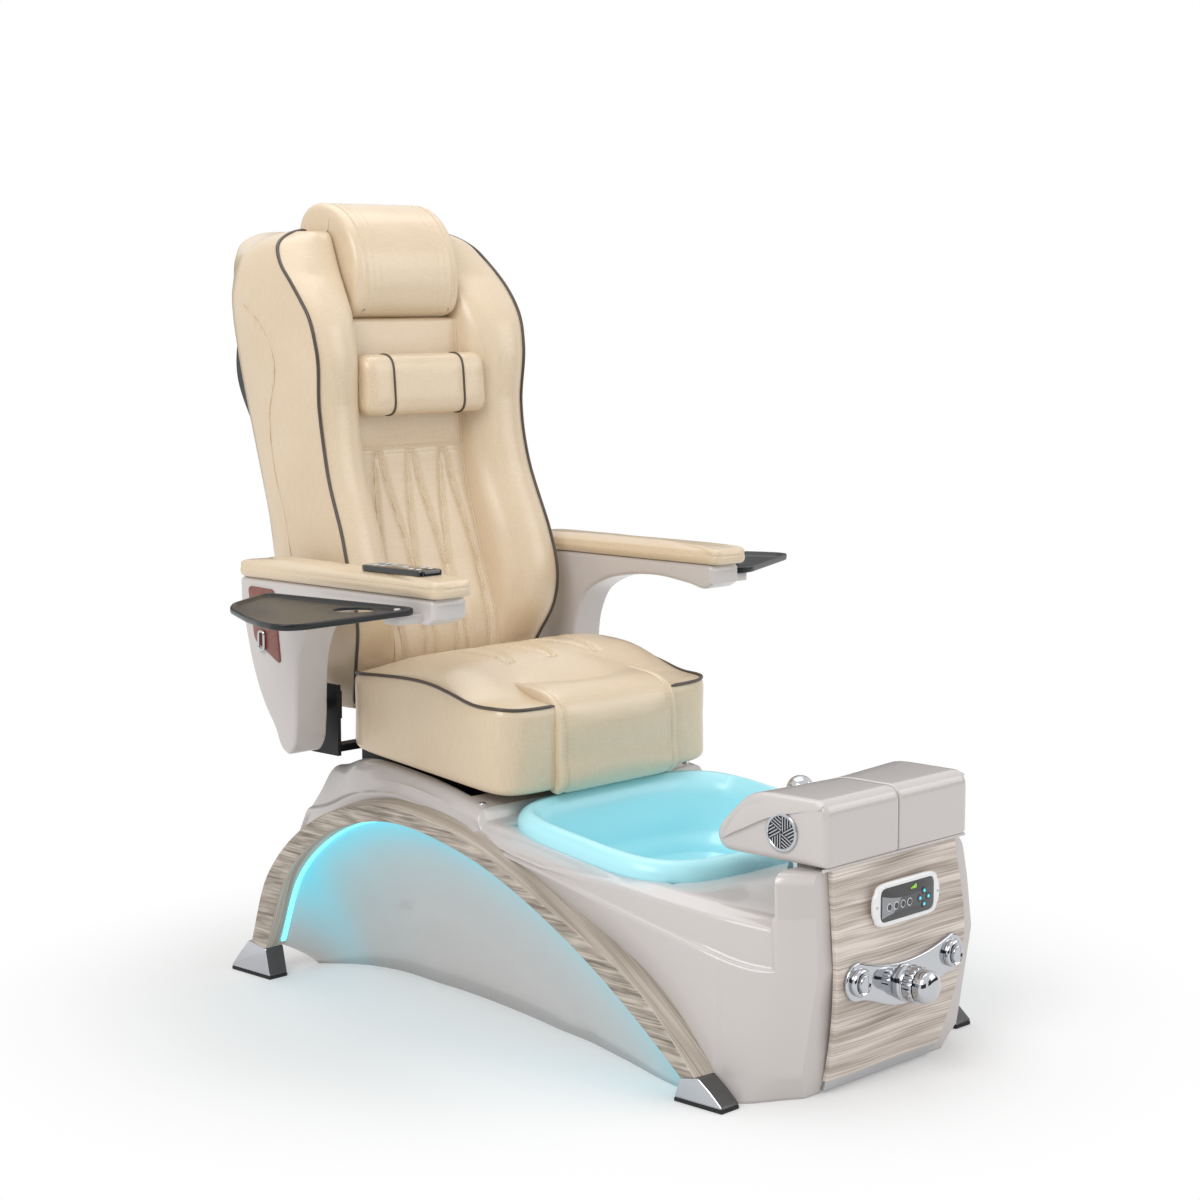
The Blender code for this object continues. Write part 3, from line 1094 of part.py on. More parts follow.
def back_ring(z):
    """Level section of the back cushion: pleated panel, bolsters, piped edges, sides and rear."""
    piping_x = float(curve(BACK_PIPING_HALF, back_share(z)))
    piping_y = float(curve(BACK_PIPING_Y, back_share(z)))
    panel_y = float(curve(BACK_PANEL_Y, back_share(z)))
    rear_y = float(back_rear(z))
    side_y = float(curve(BACK_SIDE_Y, back_share(z)))
    recess = z > HEAD_BOTTOM_Z - SEAT_GAP
    panel_half = min(BACK_PANEL_HALF, 0.62 * piping_x) if not recess else BACK_PANEL_HALF
    x = np.linspace(0.0, panel_half, BACK_COLUMNS)
    y = panel_y + pleat(x, z)
    if recess:
        y = np.full_like(x, min(HEAD_RECESS_Y, rear_y - RECESS_BACKING))
    edge_x = panel_half + 0.0008
    edge_y = min(panel_y, rear_y - 0.05)
    crest = BACK_CREST * ease((BACK_TOP_Z - z) / 0.10) * ease((z - BACK_CREST_START_Z) / 0.12)
    crest_y = min(edge_y, piping_y) - crest
    crest_x = panel_half + 0.55 * (piping_x - panel_half)
    half = list(zip(x, y))
    half += [
        (edge_x, edge_y),
        (panel_half + 0.22 * (piping_x - panel_half), 0.5 * (edge_y + crest_y)),
        (crest_x, crest_y),
        (panel_half + 0.85 * (piping_x - panel_half), 0.5 * (crest_y + piping_y)),
        (piping_x, piping_y),
        (piping_x + 0.004, 0.6 * piping_y + 0.4 * side_y),
        (piping_x - 0.001, side_y - 0.028),
        (piping_x - 0.012, side_y - 0.005),
        (piping_x - 0.030, rear_y),
        (0.5 * piping_x, rear_y),
    ]
    half = np.array(half)
    left = np.column_stack([half, np.full(len(half), z)])
    right = mirrored(left, -1.0)[1:][::-1]
    middle = np.array([[0.0, rear_y, z]])
    return np.vstack([left, middle, right])


def build_back(slide):
    """Reclining back: frame, cover, cushion, headrest, pillow and massage carriage."""
    recline = pivot("recline_axis", (0.0, RECLINE_Y, RECLINE_Z), slide)
    shelf = HEAD_BOTTOM_Z - SEAT_GAP
    levels = np.concatenate([np.linspace(BACK_BOTTOM_Z, shelf - 0.001, BACK_LEVELS - 6),
                             [shelf + 0.0001], HEAD_BOTTOM_Z + HEAD_DROP * np.array(RECESS_LEVELS)])
    add_piece("back_cushion", loft([back_ring(z) for z in levels]), "leatherette", recline, 60.0)

    rings = []
    rear_step = BACK_TOP_Z + SEAT_GAP
    low_levels = HEAD_BOTTOM_Z + HEAD_DROP * np.array(HEAD_LOW_LEVELS)
    high_levels = BACK_TOP_Z + HEAD_RISE * np.array(HEAD_HIGH_LEVELS)
    for z in (*low_levels, rear_step - 0.0002, rear_step, *high_levels):
        front = float(curve(HEAD_FRONT_Y, (z - HEAD_BOTTOM_Z) / (HEAD_TOP_Z - HEAD_BOTTOM_Z)))
        rise = float(ease((z - BACK_TOP_Z) / (HEAD_TOP_Z - BACK_TOP_Z)))
        rear = HEAD_RECESS_Y - 2 * SEAT_GAP if z < rear_step else HEAD_REAR_Y - HEAD_REAR_TAPER * rise
        wide = HEAD_HALF - HEAD_TUCK * rise
        x = np.linspace(-1.0, 1.0, 9)
        y = front + 0.022 * np.abs(x) ** 4
        row = [(wide * a, b, z) for a, b in zip(x, y)]
        row += [(wide, 0.5 * (front + rear) + 0.011, z), (wide, rear, z), (-wide, rear, z),
                (-wide, 0.5 * (front + rear) + 0.011, z)]
        rings.append(row)
    add_piece("headrest", loft(rings), "leatherette", recline, 60.0)
    build_back_frame(recline)
    build_pillow(recline)
    return recline


def build_back_frame(recline):
    """Steel frame behind the cushion, its plastic cover and the massage carriage that runs on it."""
    low_z = FRAME_POST_BOTTOM_Z
    tops = (low_z, FRAME_POST_TOP_Z)

    def post(inner, outer):
        rings = []
        for z in tops:
            y = float(back_rear(z)) + SEAT_GAP
            rings.append(((inner, y, z), (outer, y, z), (outer, y + FRAME_POST_DEPTH, z), (inner, y + FRAME_POST_DEPTH, z)))
        return loft(rings)

    inner_x = FRAME_POST_X - FRAME_POST_WIDTH / 2
    outer_x = FRAME_POST_X + FRAME_POST_WIDTH / 2
    frame = add_piece("back_frame", post(-outer_x, -inner_x), "black_steel", recline)
    join(frame, post(inner_x, outer_x))
    ear_outer = SIDE_PLATE_X - SEAT_GAP
    ear_inner = ear_outer - EAR_THICKNESS
    bar_y = float(back_rear(low_z)) + SEAT_GAP + 0.002
    for bar_z in (low_z + 0.004, FRAME_POST_TOP_Z - 0.03):
        y = float(back_rear(bar_z + FRAME_BAR_HEIGHT)) + 2 * SEAT_GAP
        reach = ear_outer - 0.001 if bar_z < COVER_BOTTOM_Z else outer_x - 0.001
        join(frame, block((-reach, y, bar_z), (reach, y + FRAME_BAR_DEPTH, bar_z + FRAME_BAR_HEIGHT)))
    for side in SIDES.values():
        low, high = sorted((side * ear_inner, side * ear_outer))
        ear = [(RECLINE_Y - EAR_RADIUS, RECLINE_Z - EAR_RADIUS), (RECLINE_Y + EAR_RADIUS, RECLINE_Z - EAR_RADIUS),
               (bar_y + 0.012, low_z + 0.002), (bar_y + 0.012, low_z + 0.028),
               (RECLINE_Y + EAR_RADIUS, RECLINE_Z + EAR_RADIUS), (RECLINE_Y - EAR_RADIUS, RECLINE_Z + EAR_RADIUS)]
        join(frame, prism(ear, low, high))
    cut(frame, rod((-1.0, RECLINE_Y, RECLINE_Z), (1.0, RECLINE_Y, RECLINE_Z), PIN_RADIUS + RUN_GAP))

    def cover_section(z, inside):
        wall = COVER_WALL if inside else 0.0
        rear = float(back_rear(z))
        depth = float(curve(COVER_DEPTH, (z - COVER_BOTTOM_Z) / (COVER_TOP_Z - COVER_BOTTOM_Z))) - wall
        wide = COVER_HALF - wall
        half = ((wide, SEAT_GAP), (wide, 0.45 * depth), (0.90 * wide, 0.85 * depth), (0.6 * wide, depth), (0.0, depth))
        left = np.array([(x, rear + y, z) for x, y in half])
        return np.vstack([mirrored(left, -1.0), left[-2::-1]])

    levels = np.linspace(COVER_BOTTOM_Z, COVER_TOP_Z, 11)
    inside = levels.copy()
    inside[0] += COVER_WALL
    inside[-1] -= COVER_WALL
    cover = add_piece("back_shell", shell([cover_section(z, False) for z in levels],
                                          [cover_section(z, True) for z in inside]), "black_plastic", recline)
    slot_y = float(back_rear(COVER_BOTTOM_Z))
    for side in SIDES.values():
        low, high = sorted((side * (inner_x - FRAME_SLOT), side * (outer_x + FRAME_SLOT)))
        cut(cover, block((low, slot_y - FRAME_POST_DEPTH, COVER_BOTTOM_Z - COVER_WALL),
                         (high, slot_y + FRAME_POST_DEPTH + 2 * FRAME_SLOT, COVER_BOTTOM_Z + 2 * COVER_WALL)))

    run = pivot("massage_run", (0.0, float(back_rear(CARRIAGE_Z)), CARRIAGE_Z), recline)
    wide = inner_x - SEAT_GAP
    rings = []
    for z in (CARRIAGE_Z - CARRIAGE_HEIGHT / 2, CARRIAGE_Z + CARRIAGE_HEIGHT / 2):
        y = float(back_rear(z)) + CARRIAGE_ROLLER
        far = y + CARRIAGE_DEPTH
        rings.append(((-wide, y, z), (wide, y, z), (wide, far, z), (-wide, far, z)))
    carriage = add_piece("massage_carriage", loft(rings), "grey_steel", run)
    # The rollers just touch the sloping rear face of the cushion.
    slope = math.hypot(1.0, BACK_REAR_SLOPE)
    for height in (-0.3 * CARRIAGE_HEIGHT, 0.3 * CARRIAGE_HEIGHT):
        z = CARRIAGE_Z + height
        y = float(back_rear(z)) + (CARRIAGE_ROLLER + SEAT_GAP) * slope
        for x in (-0.5 * wide, 0.5 * wide):
            join(carriage, rod((x - 0.02, y, z), (x + 0.02, y, z), CARRIAGE_ROLLER))


def build_pillow(recline):
    """Neck roll in front of the back panel."""
    middle = PILLOW_BOTTOM_Z + PILLOW_HEIGHT / 2
    rear = float(curve(BACK_PANEL_Y, back_share(middle))) - 2 * SEAT_GAP
    top = middle + PILLOW_HEIGHT / 2
    lean = float(curve(BACK_PANEL_Y, back_share(top)) - curve(BACK_PANEL_Y, back_share(PILLOW_BOTTOM_Z))) / PILLOW_HEIGHT
    move = pivot("pillow_slide", (0.0, rear, middle), recline)
    outline = round_section(PILLOW_THICKNESS / 2, PILLOW_HEIGHT / 2, 0.026, 5)
    rings = []
    for share in (-1.0, -0.985, -0.94, -0.72, -0.68, -0.64, -0.3, 0.0, 0.3, 0.64, 0.68, 0.72, 0.94, 0.985, 1.0):
        size = 1.0 - PILLOW_TAPER * ease((abs(share) - 0.80) / 0.20)
        size *= 1.0 - 0.035 * (abs(abs(share) - 0.68) < 0.01)
        section = outline * size
        x = share * PILLOW_HALF
        rings.append([(x, rear - PILLOW_THICKNESS / 2 + y + lean * z, middle + z) for y, z in section])
    add_piece("neck_pillow", loft(rings), "leatherette", move, 60.0)


# Arms and trays


def build_arm(name, side, slide):
    """Arm shell with its pad, inlay and folding hook, and the tray that swings beside it."""
    lift = pivot("arm_axis_" + name, (0.0, RECLINE_Y, RECLINE_Z), slide)
    outline = list(ARM_UNDERSIDE) + [(ARM_REAR_Y, ARM_TOP_Z), (ARM_FRONT_Y, ARM_TOP_Z)]
    edge = 0.006
    centre = np.mean(np.array(outline), axis=0)
    small = centre + (np.array(outline) - centre) * 0.985
    rings = []
    for x, points in ((ARM_INNER, small), (ARM_INNER + edge, outline), (ARM_OUTER - edge, outline), (ARM_OUTER, small)):
        rings.append([(side * x, y, min(z, ARM_TOP_Z)) for y, z in points])
    arm = add_piece("arm_shell_" + name, loft(rings), "shell_grey", lift)
    hole_start = side * (ARM_INNER - edge)
    hole_end = side * (ARM_INNER + ARM_PIN_DEPTH + RUN_GAP)
    cut(arm, rod((hole_start, RECLINE_Y, RECLINE_Z), (hole_end, RECLINE_Y, RECLINE_Z), PIN_RADIUS + RUN_GAP))

    pad_middle = side * (PAD_INNER + PAD_WIDTH / 2)
    pad_length = ARM_REAR_Y - PAD_FRONT_Y
    outline = round_section(PAD_WIDTH / 2, PAD_HEIGHT / 2, 0.012, 4)
    outline = np.insert(outline, 4, (0.0, PAD_HEIGHT / 2), axis=0)
    rings = []
    for share in (0.0, 0.012, 0.04, 0.1, 0.35, 0.65, 0.9, 0.96, 0.988, 1.0):
        ends = min(share, 1.0 - share)
        size = 1.0 - 0.22 * (1.0 - ease(ends / 0.04))
        crown = PAD_CROWN * ease(ends / 0.15)
        row = []
        for x, z in outline:
            swell = crown * (1.0 - (2.0 * x / PAD_WIDTH) ** 2) if z > 0 else 0.0
            height = z * size if z > 0 else z
            row.append((pad_middle + x * size, PAD_FRONT_Y + share * pad_length,
                        PAD_BOTTOM_Z + PAD_HEIGHT / 2 + height + swell))
        rings.append(row)
    add_piece("arm_pad_" + name, loft(rings), "leatherette", lift, 50.0)

    face = ARM_OUTER + SEAT_GAP
    low, high = sorted((side * face, side * (face + INLAY_THICKNESS)))
    add_piece("arm_inlay_" + name, prism(INLAY_OUTLINE, low, high), "brown_inlay", lift)
    build_hook(name, side, face + INLAY_THICKNESS, lift)
    build_tray(name, side, arm, lift)
    return lift


def build_hook(name, side, face, lift):
    """Wire hook that folds out about its upper edge."""
    wire = HOOK_WIRE
    x = side * (face + SEAT_GAP + wire)
    axis = pivot("hook_axis_" + name, (x, HOOK_Y, HOOK_Z), lift)
    half = HOOK_WIDTH / 2

    def bar(y0, z0, y1, z1):
        return block((x - wire, y0, z0), (x + wire, y1, z1))

    hook = add_piece("bag_hook_" + name, rod((x, HOOK_Y - half, HOOK_Z), (x, HOOK_Y + half, HOOK_Z), wire), "chrome", axis)
    for y in (HOOK_Y - half, HOOK_Y + half - 2 * wire):
        join(hook, bar(y + 0.0002, HOOK_Z - HOOK_LENGTH, y + 2 * wire - 0.0002, HOOK_Z))
    join(hook, bar(HOOK_Y - half, HOOK_Z - HOOK_LENGTH - wire, HOOK_Y + half, HOOK_Z - HOOK_LENGTH + wire))


def build_tray(name, side, arm, lift):
    """Side tray with a cup hole and a raised lip, on a pin that stands on a boss of the arm."""
    bottom = TRAY_TOP_Z - TRAY_THICKNESS
    boss_top = bottom - SEAT_GAP
    low, high = sorted((side * (ARM_OUTER - BOSS_ROOT), side * (ARM_OUTER + BOSS_DEPTH)))
    pin_top = TRAY_TOP_Z - TRAY_LIP
    centre = (side * TRAY_PIVOT_X, TRAY_PIVOT_Y)
    join(arm, block((low, TRAY_PIVOT_Y - BOSS_HALF_Y, boss_top - BOSS_HEIGHT),
                    (high, TRAY_PIVOT_Y + BOSS_HALF_Y, boss_top)),
         rod((*centre, boss_top - BOSS_ROOT), (*centre, pin_top), TRAY_PIN_RADIUS))
    swing = pivot("tray_axis_" + name, (*centre, bottom), lift)
    outline = np.array(TRAY_OUTLINE[name])
    middle = outline.mean(axis=0)
    toward = middle - outline
    inset = outline + toward / np.linalg.norm(toward, axis=1)[:, None] * TRAY_LIP_WIDTH
    floor = TRAY_TOP_Z - TRAY_LIP
    rings = []
    for points, z in ((inset, bottom), (outline, bottom + 0.003), (outline, TRAY_TOP_Z), (inset, TRAY_TOP_Z),
                      (inset + (inset - outline) * 0.2, floor)):
        rings.append([(side * x, y, z) for x, y in points])
    tray = add_piece("tray_" + name, loft(rings), "black_plastic", swing, 30.0)
    cut(tray, rod((side * CUP_X, CUP_Y, bottom - 0.02), (side * CUP_X, CUP_Y, TRAY_TOP_Z + 0.02), CUP_RADIUS, 32))
    cut(tray, rod((*centre, bottom - 0.02), (*centre, TRAY_TOP_Z + 0.02), TRAY_PIN_RADIUS + RUN_GAP))


def build_remote(lift):
    """Control panel on the right arm's pad, with a rocker key."""
    side = SIDES["right"]
    x = side * (PAD_INNER + PAD_WIDTH / 2)
    bottom = PAD_TOP_Z + PAD_CROWN + SEAT_GAP
    outline = round_section(REMOTE_WIDTH / 2, REMOTE_LENGTH / 2, 0.010, 4) + np.array([x, REMOTE_Y])
    panel = add_piece("remote", prism(outline, bottom, bottom + REMOTE_HEIGHT, "Z"), "black_plastic", lift)
    top = bottom + REMOTE_HEIGHT
    pocket = 0.6 * ROCKER_HEIGHT
    cut(panel, block((x - ROCKER_WIDTH / 2 - RUN_GAP, REMOTE_Y - ROCKER_LENGTH / 2 - RUN_GAP, top - ROCKER_HEIGHT),
                     (x + ROCKER_WIDTH / 2 + RUN_GAP, REMOTE_Y + ROCKER_LENGTH / 2 + RUN_GAP, top + 0.01)))
    axis = pivot("rocker_axis", (x, REMOTE_Y, top - pocket / 2), lift)
    half = ROCKER_LENGTH / 2 - 0.0008
    key = ((REMOTE_Y - half, top), (REMOTE_Y, top - ROCKER_HEIGHT + SEAT_GAP), (REMOTE_Y + half, top),
           (REMOTE_Y + half, top + 0.002), (REMOTE_Y, top + 0.0012), (REMOTE_Y - half, top + 0.002))
    add_piece("remote_rocker", prism(key, x - ROCKER_WIDTH / 2, x + ROCKER_WIDTH / 2), "chrome", axis)


def build():
    """Builds the whole chair."""
    clear_scene()
    root = build_base()
    build_basin(root)
    build_front(root)
    slide = build_seat(root)
    build_back(slide)
    lifts = {name: build_arm(name, side, slide) for name, side in SIDES.items()}
    build_remote(lifts["right"])


build()
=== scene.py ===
"""Dressed model of a spa pedicure chair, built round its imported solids.

Metres, +Z up. The chair faces -Y and the sitter's right hand is on -X.
"""

from __future__ import annotations

import json
import logging
import math
from collections.abc import Sequence
from dataclasses import dataclass
from enum import Enum

import bpy
import numpy as np
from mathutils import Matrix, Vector

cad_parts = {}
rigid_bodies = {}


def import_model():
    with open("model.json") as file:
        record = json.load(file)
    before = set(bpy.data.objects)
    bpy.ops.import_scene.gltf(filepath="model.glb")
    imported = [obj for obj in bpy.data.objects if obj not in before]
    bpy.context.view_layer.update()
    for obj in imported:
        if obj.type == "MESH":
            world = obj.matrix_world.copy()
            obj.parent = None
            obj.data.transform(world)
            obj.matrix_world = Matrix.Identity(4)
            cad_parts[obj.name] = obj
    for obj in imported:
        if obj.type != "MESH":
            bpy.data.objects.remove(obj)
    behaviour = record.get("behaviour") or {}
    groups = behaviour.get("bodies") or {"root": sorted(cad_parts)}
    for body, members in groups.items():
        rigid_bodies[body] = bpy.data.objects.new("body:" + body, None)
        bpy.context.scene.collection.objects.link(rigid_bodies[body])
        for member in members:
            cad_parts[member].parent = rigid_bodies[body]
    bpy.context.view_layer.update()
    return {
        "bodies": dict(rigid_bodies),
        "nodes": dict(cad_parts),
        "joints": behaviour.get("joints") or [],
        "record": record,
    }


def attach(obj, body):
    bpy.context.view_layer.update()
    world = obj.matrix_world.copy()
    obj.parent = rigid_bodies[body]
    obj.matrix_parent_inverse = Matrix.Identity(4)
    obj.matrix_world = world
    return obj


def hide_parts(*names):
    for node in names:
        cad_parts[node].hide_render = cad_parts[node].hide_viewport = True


log = logging.getLogger("pedicure_chair")
Array = np.ndarray


class Side(Enum):
    """The sitter's right and left, by the sign of X."""

    RIGHT = -1.0
    LEFT = 1.0

    @property
    def word(self) -> str:
        """The side's name as the solids use it."""
        return self.name.lower()

    def place(self, points: Sequence) -> Array:
        """Copy of points that were given for +X, on this side."""
        return np.asarray(points, float) * np.array([self.value, 1.0, 1.0])


class Axis(Enum):
    """Direction that an outline is extruded or turned along."""

    X = 0
    Y = 1
    Z = 2


class Grain(Enum):
    """Where a wood grain takes its direction from."""

    ALONG_LENGTH = "length"
    IN_SPACE = "Object"


class Lid(Enum):
    """How a lattice's end rows are closed."""

    NONE = "none"
    FLAT = "flat"
    ZIP = "zip"


# Curves and outlines


def curve(stations: Sequence, where: float | Array) -> Array:
    """Smooth curve through (position, value) pairs: cubic spans whose slopes are central differences.

    Args:
        stations: The pairs, in rising order.
        where: Places to read the curve at; outside places read its ends.

    Returns:
        The values there.
    """
    knots, values = np.array(stations, float).T
    slopes = np.gradient(values, knots)
    place = np.clip(np.asarray(where, float), knots[0], knots[-1])
    span = np.clip(np.searchsorted(knots, place, side="right") - 1, 0, len(knots) - 2)
    width = knots[span + 1] - knots[span]
    t = (place - knots[span]) / width
    start = (2 * t**3 - 3 * t**2 + 1) * values[span] + (t**3 - 2 * t**2 + t) * width * slopes[span]
    return start + (3 * t**2 - 2 * t**3) * values[span + 1] + (t**3 - t**2) * width * slopes[span + 1]


def ease(value: float | Array) -> Array:
    """Smooth step from 0 to 1: 3t squared less 2t cubed."""
    t = np.clip(value, 0.0, 1.0)
    return t * t * (3.0 - 2.0 * t)


def lengths(route: Array) -> Array:
    """Length along a route from its first point to each of its points."""
    return np.concatenate([[0.0], np.cumsum(np.linalg.norm(np.diff(route, axis=0), axis=1))])


def read_along(values: Array, along: Array, where: Array) -> Array:
    """Rows of values that are known at some lengths along a route, read at other lengths."""
    return np.stack([np.interp(where, along, column) for column in values.T], axis=-1)


def trace(points: Sequence, count: int) -> Array:
    """Even steps by chord length along a smooth curve through points in the plane or in space.

    Args:
        points: The points to pass through.
        count: How many steps to return.

    Returns:
        The points on the curve, one row each.
    """
    points = np.asarray(points, float)
    along = lengths(points)
    where = np.linspace(0.0, along[-1], count)
    return np.stack([curve(np.column_stack([along, values]), where) for values in points.T], axis=1)


def rounded(points: Array, radius: float | Array, steps: int, closed: bool = True) -> Array:
    """Rounds each corner of an outline: a quadratic arc between points set back along both edges.

    Args:
        points: Corners, (count, dimensions), or a stack of such outlines.
        radius: How far each arc reaches along its edges, at most 48% of an edge.
        steps: Points for each corner.
        closed: Whether the last corner joins the first; an open outline keeps its end points.

    Returns:
        The outline with steps points for each corner.
    """
    before = np.roll(points, 1, axis=-2) - points
    after = np.roll(points, -1, axis=-2) - points
    if not closed:
        before[..., 0, :] = 0.0
        after[..., -1, :] = 0.0
        after[..., 0, :] = 0.0
        before[..., -1, :] = 0.0
    reach = np.broadcast_to(np.asarray(radius, float), points.shape[-2:-1])[..., None]
    ends = []
    for edge in (before, after):
        length = np.maximum(np.linalg.norm(edge, axis=-1, keepdims=True), 1e-9)
        ends.append(points + edge * np.minimum(reach / length, 0.48))
    t = np.linspace(0.0, 1.0, steps)[:, None]
    start, corner, end = (place[..., None, :] for place in (ends[0], points, ends[1]))
    arcs = (1 - t) ** 2 * start + 2 * t * (1 - t) * corner + t**2 * end
    return arcs.reshape(*points.shape[:-2], points.shape[-2] * steps, points.shape[-1])


def box_outline(half_x: float, half_y: float, corner: float, steps: int = 8) -> Array:
    """Rectangle with round corners, centred on zero."""
    corners = np.array([(half_x, half_y), (-half_x, half_y), (-half_x, -half_y), (half_x, -half_y)])
    return rounded(corners, corner * 1.2, steps)


def ellipse(half_x: float, half_y: float, power: float, count: int) -> Array:
    """Closed outline of |x/a|^p + |y/b|^p = 1; power 2 is an ellipse and more is squarer.

    Args:
        half_x: Half its width.
        half_y: Half its height.
        power: The exponent p.
        count: Points round it.

    Returns:
        The points, one row each.
    """
    angle = np.linspace(0.0, 2.0 * math.pi, count, endpoint=False)
    c, s = np.cos(angle), np.sin(angle)
    return np.column_stack([np.sign(c) * np.abs(c) ** (2.0 / power) * half_x,
                            np.sign(s) * np.abs(s) ** (2.0 / power) * half_y])


def resampled(outline: Array, count: int) -> Array:
    """Even steps by length round a closed outline in the plane or in space.

    Args:
        outline: The closed outline.
        count: How many steps to return.

    Returns:
        The points, one row each.
    """
    ring = np.vstack([outline, outline[:1]])
    along = lengths(ring)
    return read_along(ring, along, np.linspace(0.0, along[-1], count, endpoint=False))


def outward(outline: Array) -> Array:
    """Unit normals of a closed plane outline, turned away from its inside.

    Args:
        outline: The closed outline.

    Returns:
        One normal for each point.
    """
    step = np.roll(outline, -1, axis=0) - np.roll(outline, 1, axis=0)
    normal = np.column_stack([step[:, 1], -step[:, 0]])
    normal /= np.maximum(np.linalg.norm(normal, axis=1, keepdims=True), 1e-12)
    x, y = outline.T
    area = np.sum(x * np.roll(y, -1) - y * np.roll(x, -1))
    return normal * math.copysign(1.0, area)


def stacked(rings: Sequence, axis: Axis) -> Array:
    """Lattice of (plane outline, level) pairs, each outline at its level along the axis."""
    return np.array([np.insert(flat, axis.value, level, axis=1) for flat, level in rings])


# Meshes


def add_mesh(name: str, points: Array, faces: list, uv: Array | None = None,
             sharp: float = 40.0) -> bpy.types.Object:
    """Puts one mesh into the scene, facing outwards, smooth up to an angle.

    Args:
        name: Object and mesh name.
        points: Vertices, (count, 3).
        faces: Vertex indices of each face.
        uv: A pair for each face corner, in metres, or nothing.
        sharp: Edges that bend more than this many degrees stay sharp.

    Returns:
        The object, at the origin.
    """
    mesh = bpy.data.meshes.new(name)
    mesh.from_pydata(points, [], faces)
    if uv is not None:
        layer = mesh.uv_layers.new(name="length")
        layer.data.foreach_set("uv", uv.astype(np.float32).ravel())
    mesh.update()
    corners = np.zeros(len(mesh.vertices) * 3)
    mesh.vertices.foreach_get("co", corners)
    corners = corners.reshape(-1, 3) - corners.reshape(-1, 3).mean(axis=0)
    mesh.calc_loop_triangles()
    triangles = np.zeros(len(mesh.loop_triangles) * 3, dtype=np.int32)
    mesh.loop_triangles.foreach_get("vertices", triangles)
    a, b, c = (corners[triangles.reshape(-1, 3)[:, k]] for k in range(3))
    if np.einsum("ij,ij->i", a, np.cross(b, c)).sum() < 0.0:
        mesh.flip_normals()
    mesh.shade_smooth()
    mesh.set_sharp_from_angle(angle=math.radians(sharp))
    made = bpy.data.objects.new(name, mesh)
    bpy.context.scene.collection.objects.link(made)
    return made


def net(rows: int, columns: int, wrap_rows: bool, wrap_columns: bool) -> Array:
    """Quads between neighbours on a lattice of points, four vertex numbers each.

    Args:
        rows: Rows of the lattice.
        columns: Its columns.
        wrap_rows: Joins the last row to the first.
        wrap_columns: Joins the last column to the first.

    Returns:
        The quads, one row each.
    """
    index = np.arange(rows * columns).reshape(rows, columns)
    if wrap_columns:
        index = np.hstack([index, index[:, :1]])
    if wrap_rows:
        index = np.vstack([index, index[:1]])
    return np.stack([index[:-1, :-1], index[:-1, 1:], index[1:, 1:], index[1:, :-1]], axis=-1).reshape(-1, 4)


def lattice(name: str, points: Array, wrap_rows: bool = False, wrap_columns: bool = True,
            lids: Lid = Lid.FLAT, sharp: float = 40.0) -> bpy.types.Object:
    """Skins a lattice of points with quads, and closes its end rows where asked.

    The UV map holds lengths in metres: along the rows' path, and round each row. A zip lid joins column c to
    its mirror image, column count - c.

    Args:
        name: Object name.
        points: (rows, columns, 3).
        wrap_rows: Joins the last row to the first.
        wrap_columns: Joins the last column to the first.
        lids: How the first and last row are closed.
        sharp: Smooth-shading angle in degrees.

    Returns:
        The object.
    """
    rows, columns = points.shape[:2]
    quads = net(rows, columns, wrap_rows, wrap_columns)
    padded = np.concatenate([points, points[:, :1]], axis=1) if wrap_columns else points
    padded = np.concatenate([padded, padded[:1]], axis=0) if wrap_rows else padded
    across = np.linalg.norm(np.diff(padded, axis=1), axis=2)
    along = np.linalg.norm(np.diff(padded, axis=0), axis=2).mean(axis=1)
    v = np.concatenate([np.zeros((len(padded), 1)), np.cumsum(across, axis=1)], axis=1)
    u = np.broadcast_to(np.concatenate([[0.0], np.cumsum(along)])[:, None], v.shape)
    corners = np.stack([u, v], axis=-1)
    uv = np.stack([corners[:-1, :-1], corners[:-1, 1:], corners[1:, 1:], corners[1:, :-1]],
                  axis=2).reshape(-1, 2)
    faces = quads.tolist()
    if lids is not Lid.NONE and not wrap_rows:
        half = columns // 2
        strips = [list(range(columns))]
        if lids is Lid.ZIP:
            inner = [[c, c + 1, columns - c - 1, columns - c] for c in range(1, half - 1)]
            strips = [[0, 1, columns - 1], *inner, [half - 1, half, half + 1]]
        ends = [(0, strip[::-1]) for strip in strips] + [(rows - 1, strip) for strip in strips]
        faces += [[row * columns + c for c in strip] for row, strip in ends]
        uv = np.vstack([uv, *(corners[row, strip] for row, strip in ends)])
    return add_mesh(name, points.reshape(-1, 3), faces, uv, sharp)


def slab(name: str, outline: Array, low: float, high: float, axis: Axis, edge: float, steps: int = 4,
         sharp: float = 35.0) -> bpy.types.Object:
    """Plate of an outline between two levels, its edges rounded as quarter circles.

    Each ring is the outline moved inwards by r(1 - sin t) while its level runs r(1 - cos t) from the face.

    Args:
        name: Object name.
        outline: Closed outline in the two axes that are not extruded, in X, Y, Z order.
        low: First level.
        high: Second level.
        axis: Direction of extrusion.
        edge: Radius of the round edges.
        steps: Rings for each edge.
        sharp: Smooth-shading angle in degrees.

    Returns:
        The object.
    """
    normal = outward(outline)
    turn = np.linspace(0.0, math.pi / 2.0, steps)
    inset = edge * (1.0 - np.sin(turn))
    rise = edge * (1.0 - np.cos(turn))
    levels = np.concatenate([low + rise, (high - rise)[::-1]])
    insets = np.concatenate([inset, inset[::-1]])
    flat = outline[None] - normal[None] * insets[:, None, None]
    points = np.insert(flat, axis.value, np.broadcast_to(levels[:, None], flat.shape[:2]), axis=2)
    return lattice(name, points, sharp=sharp)


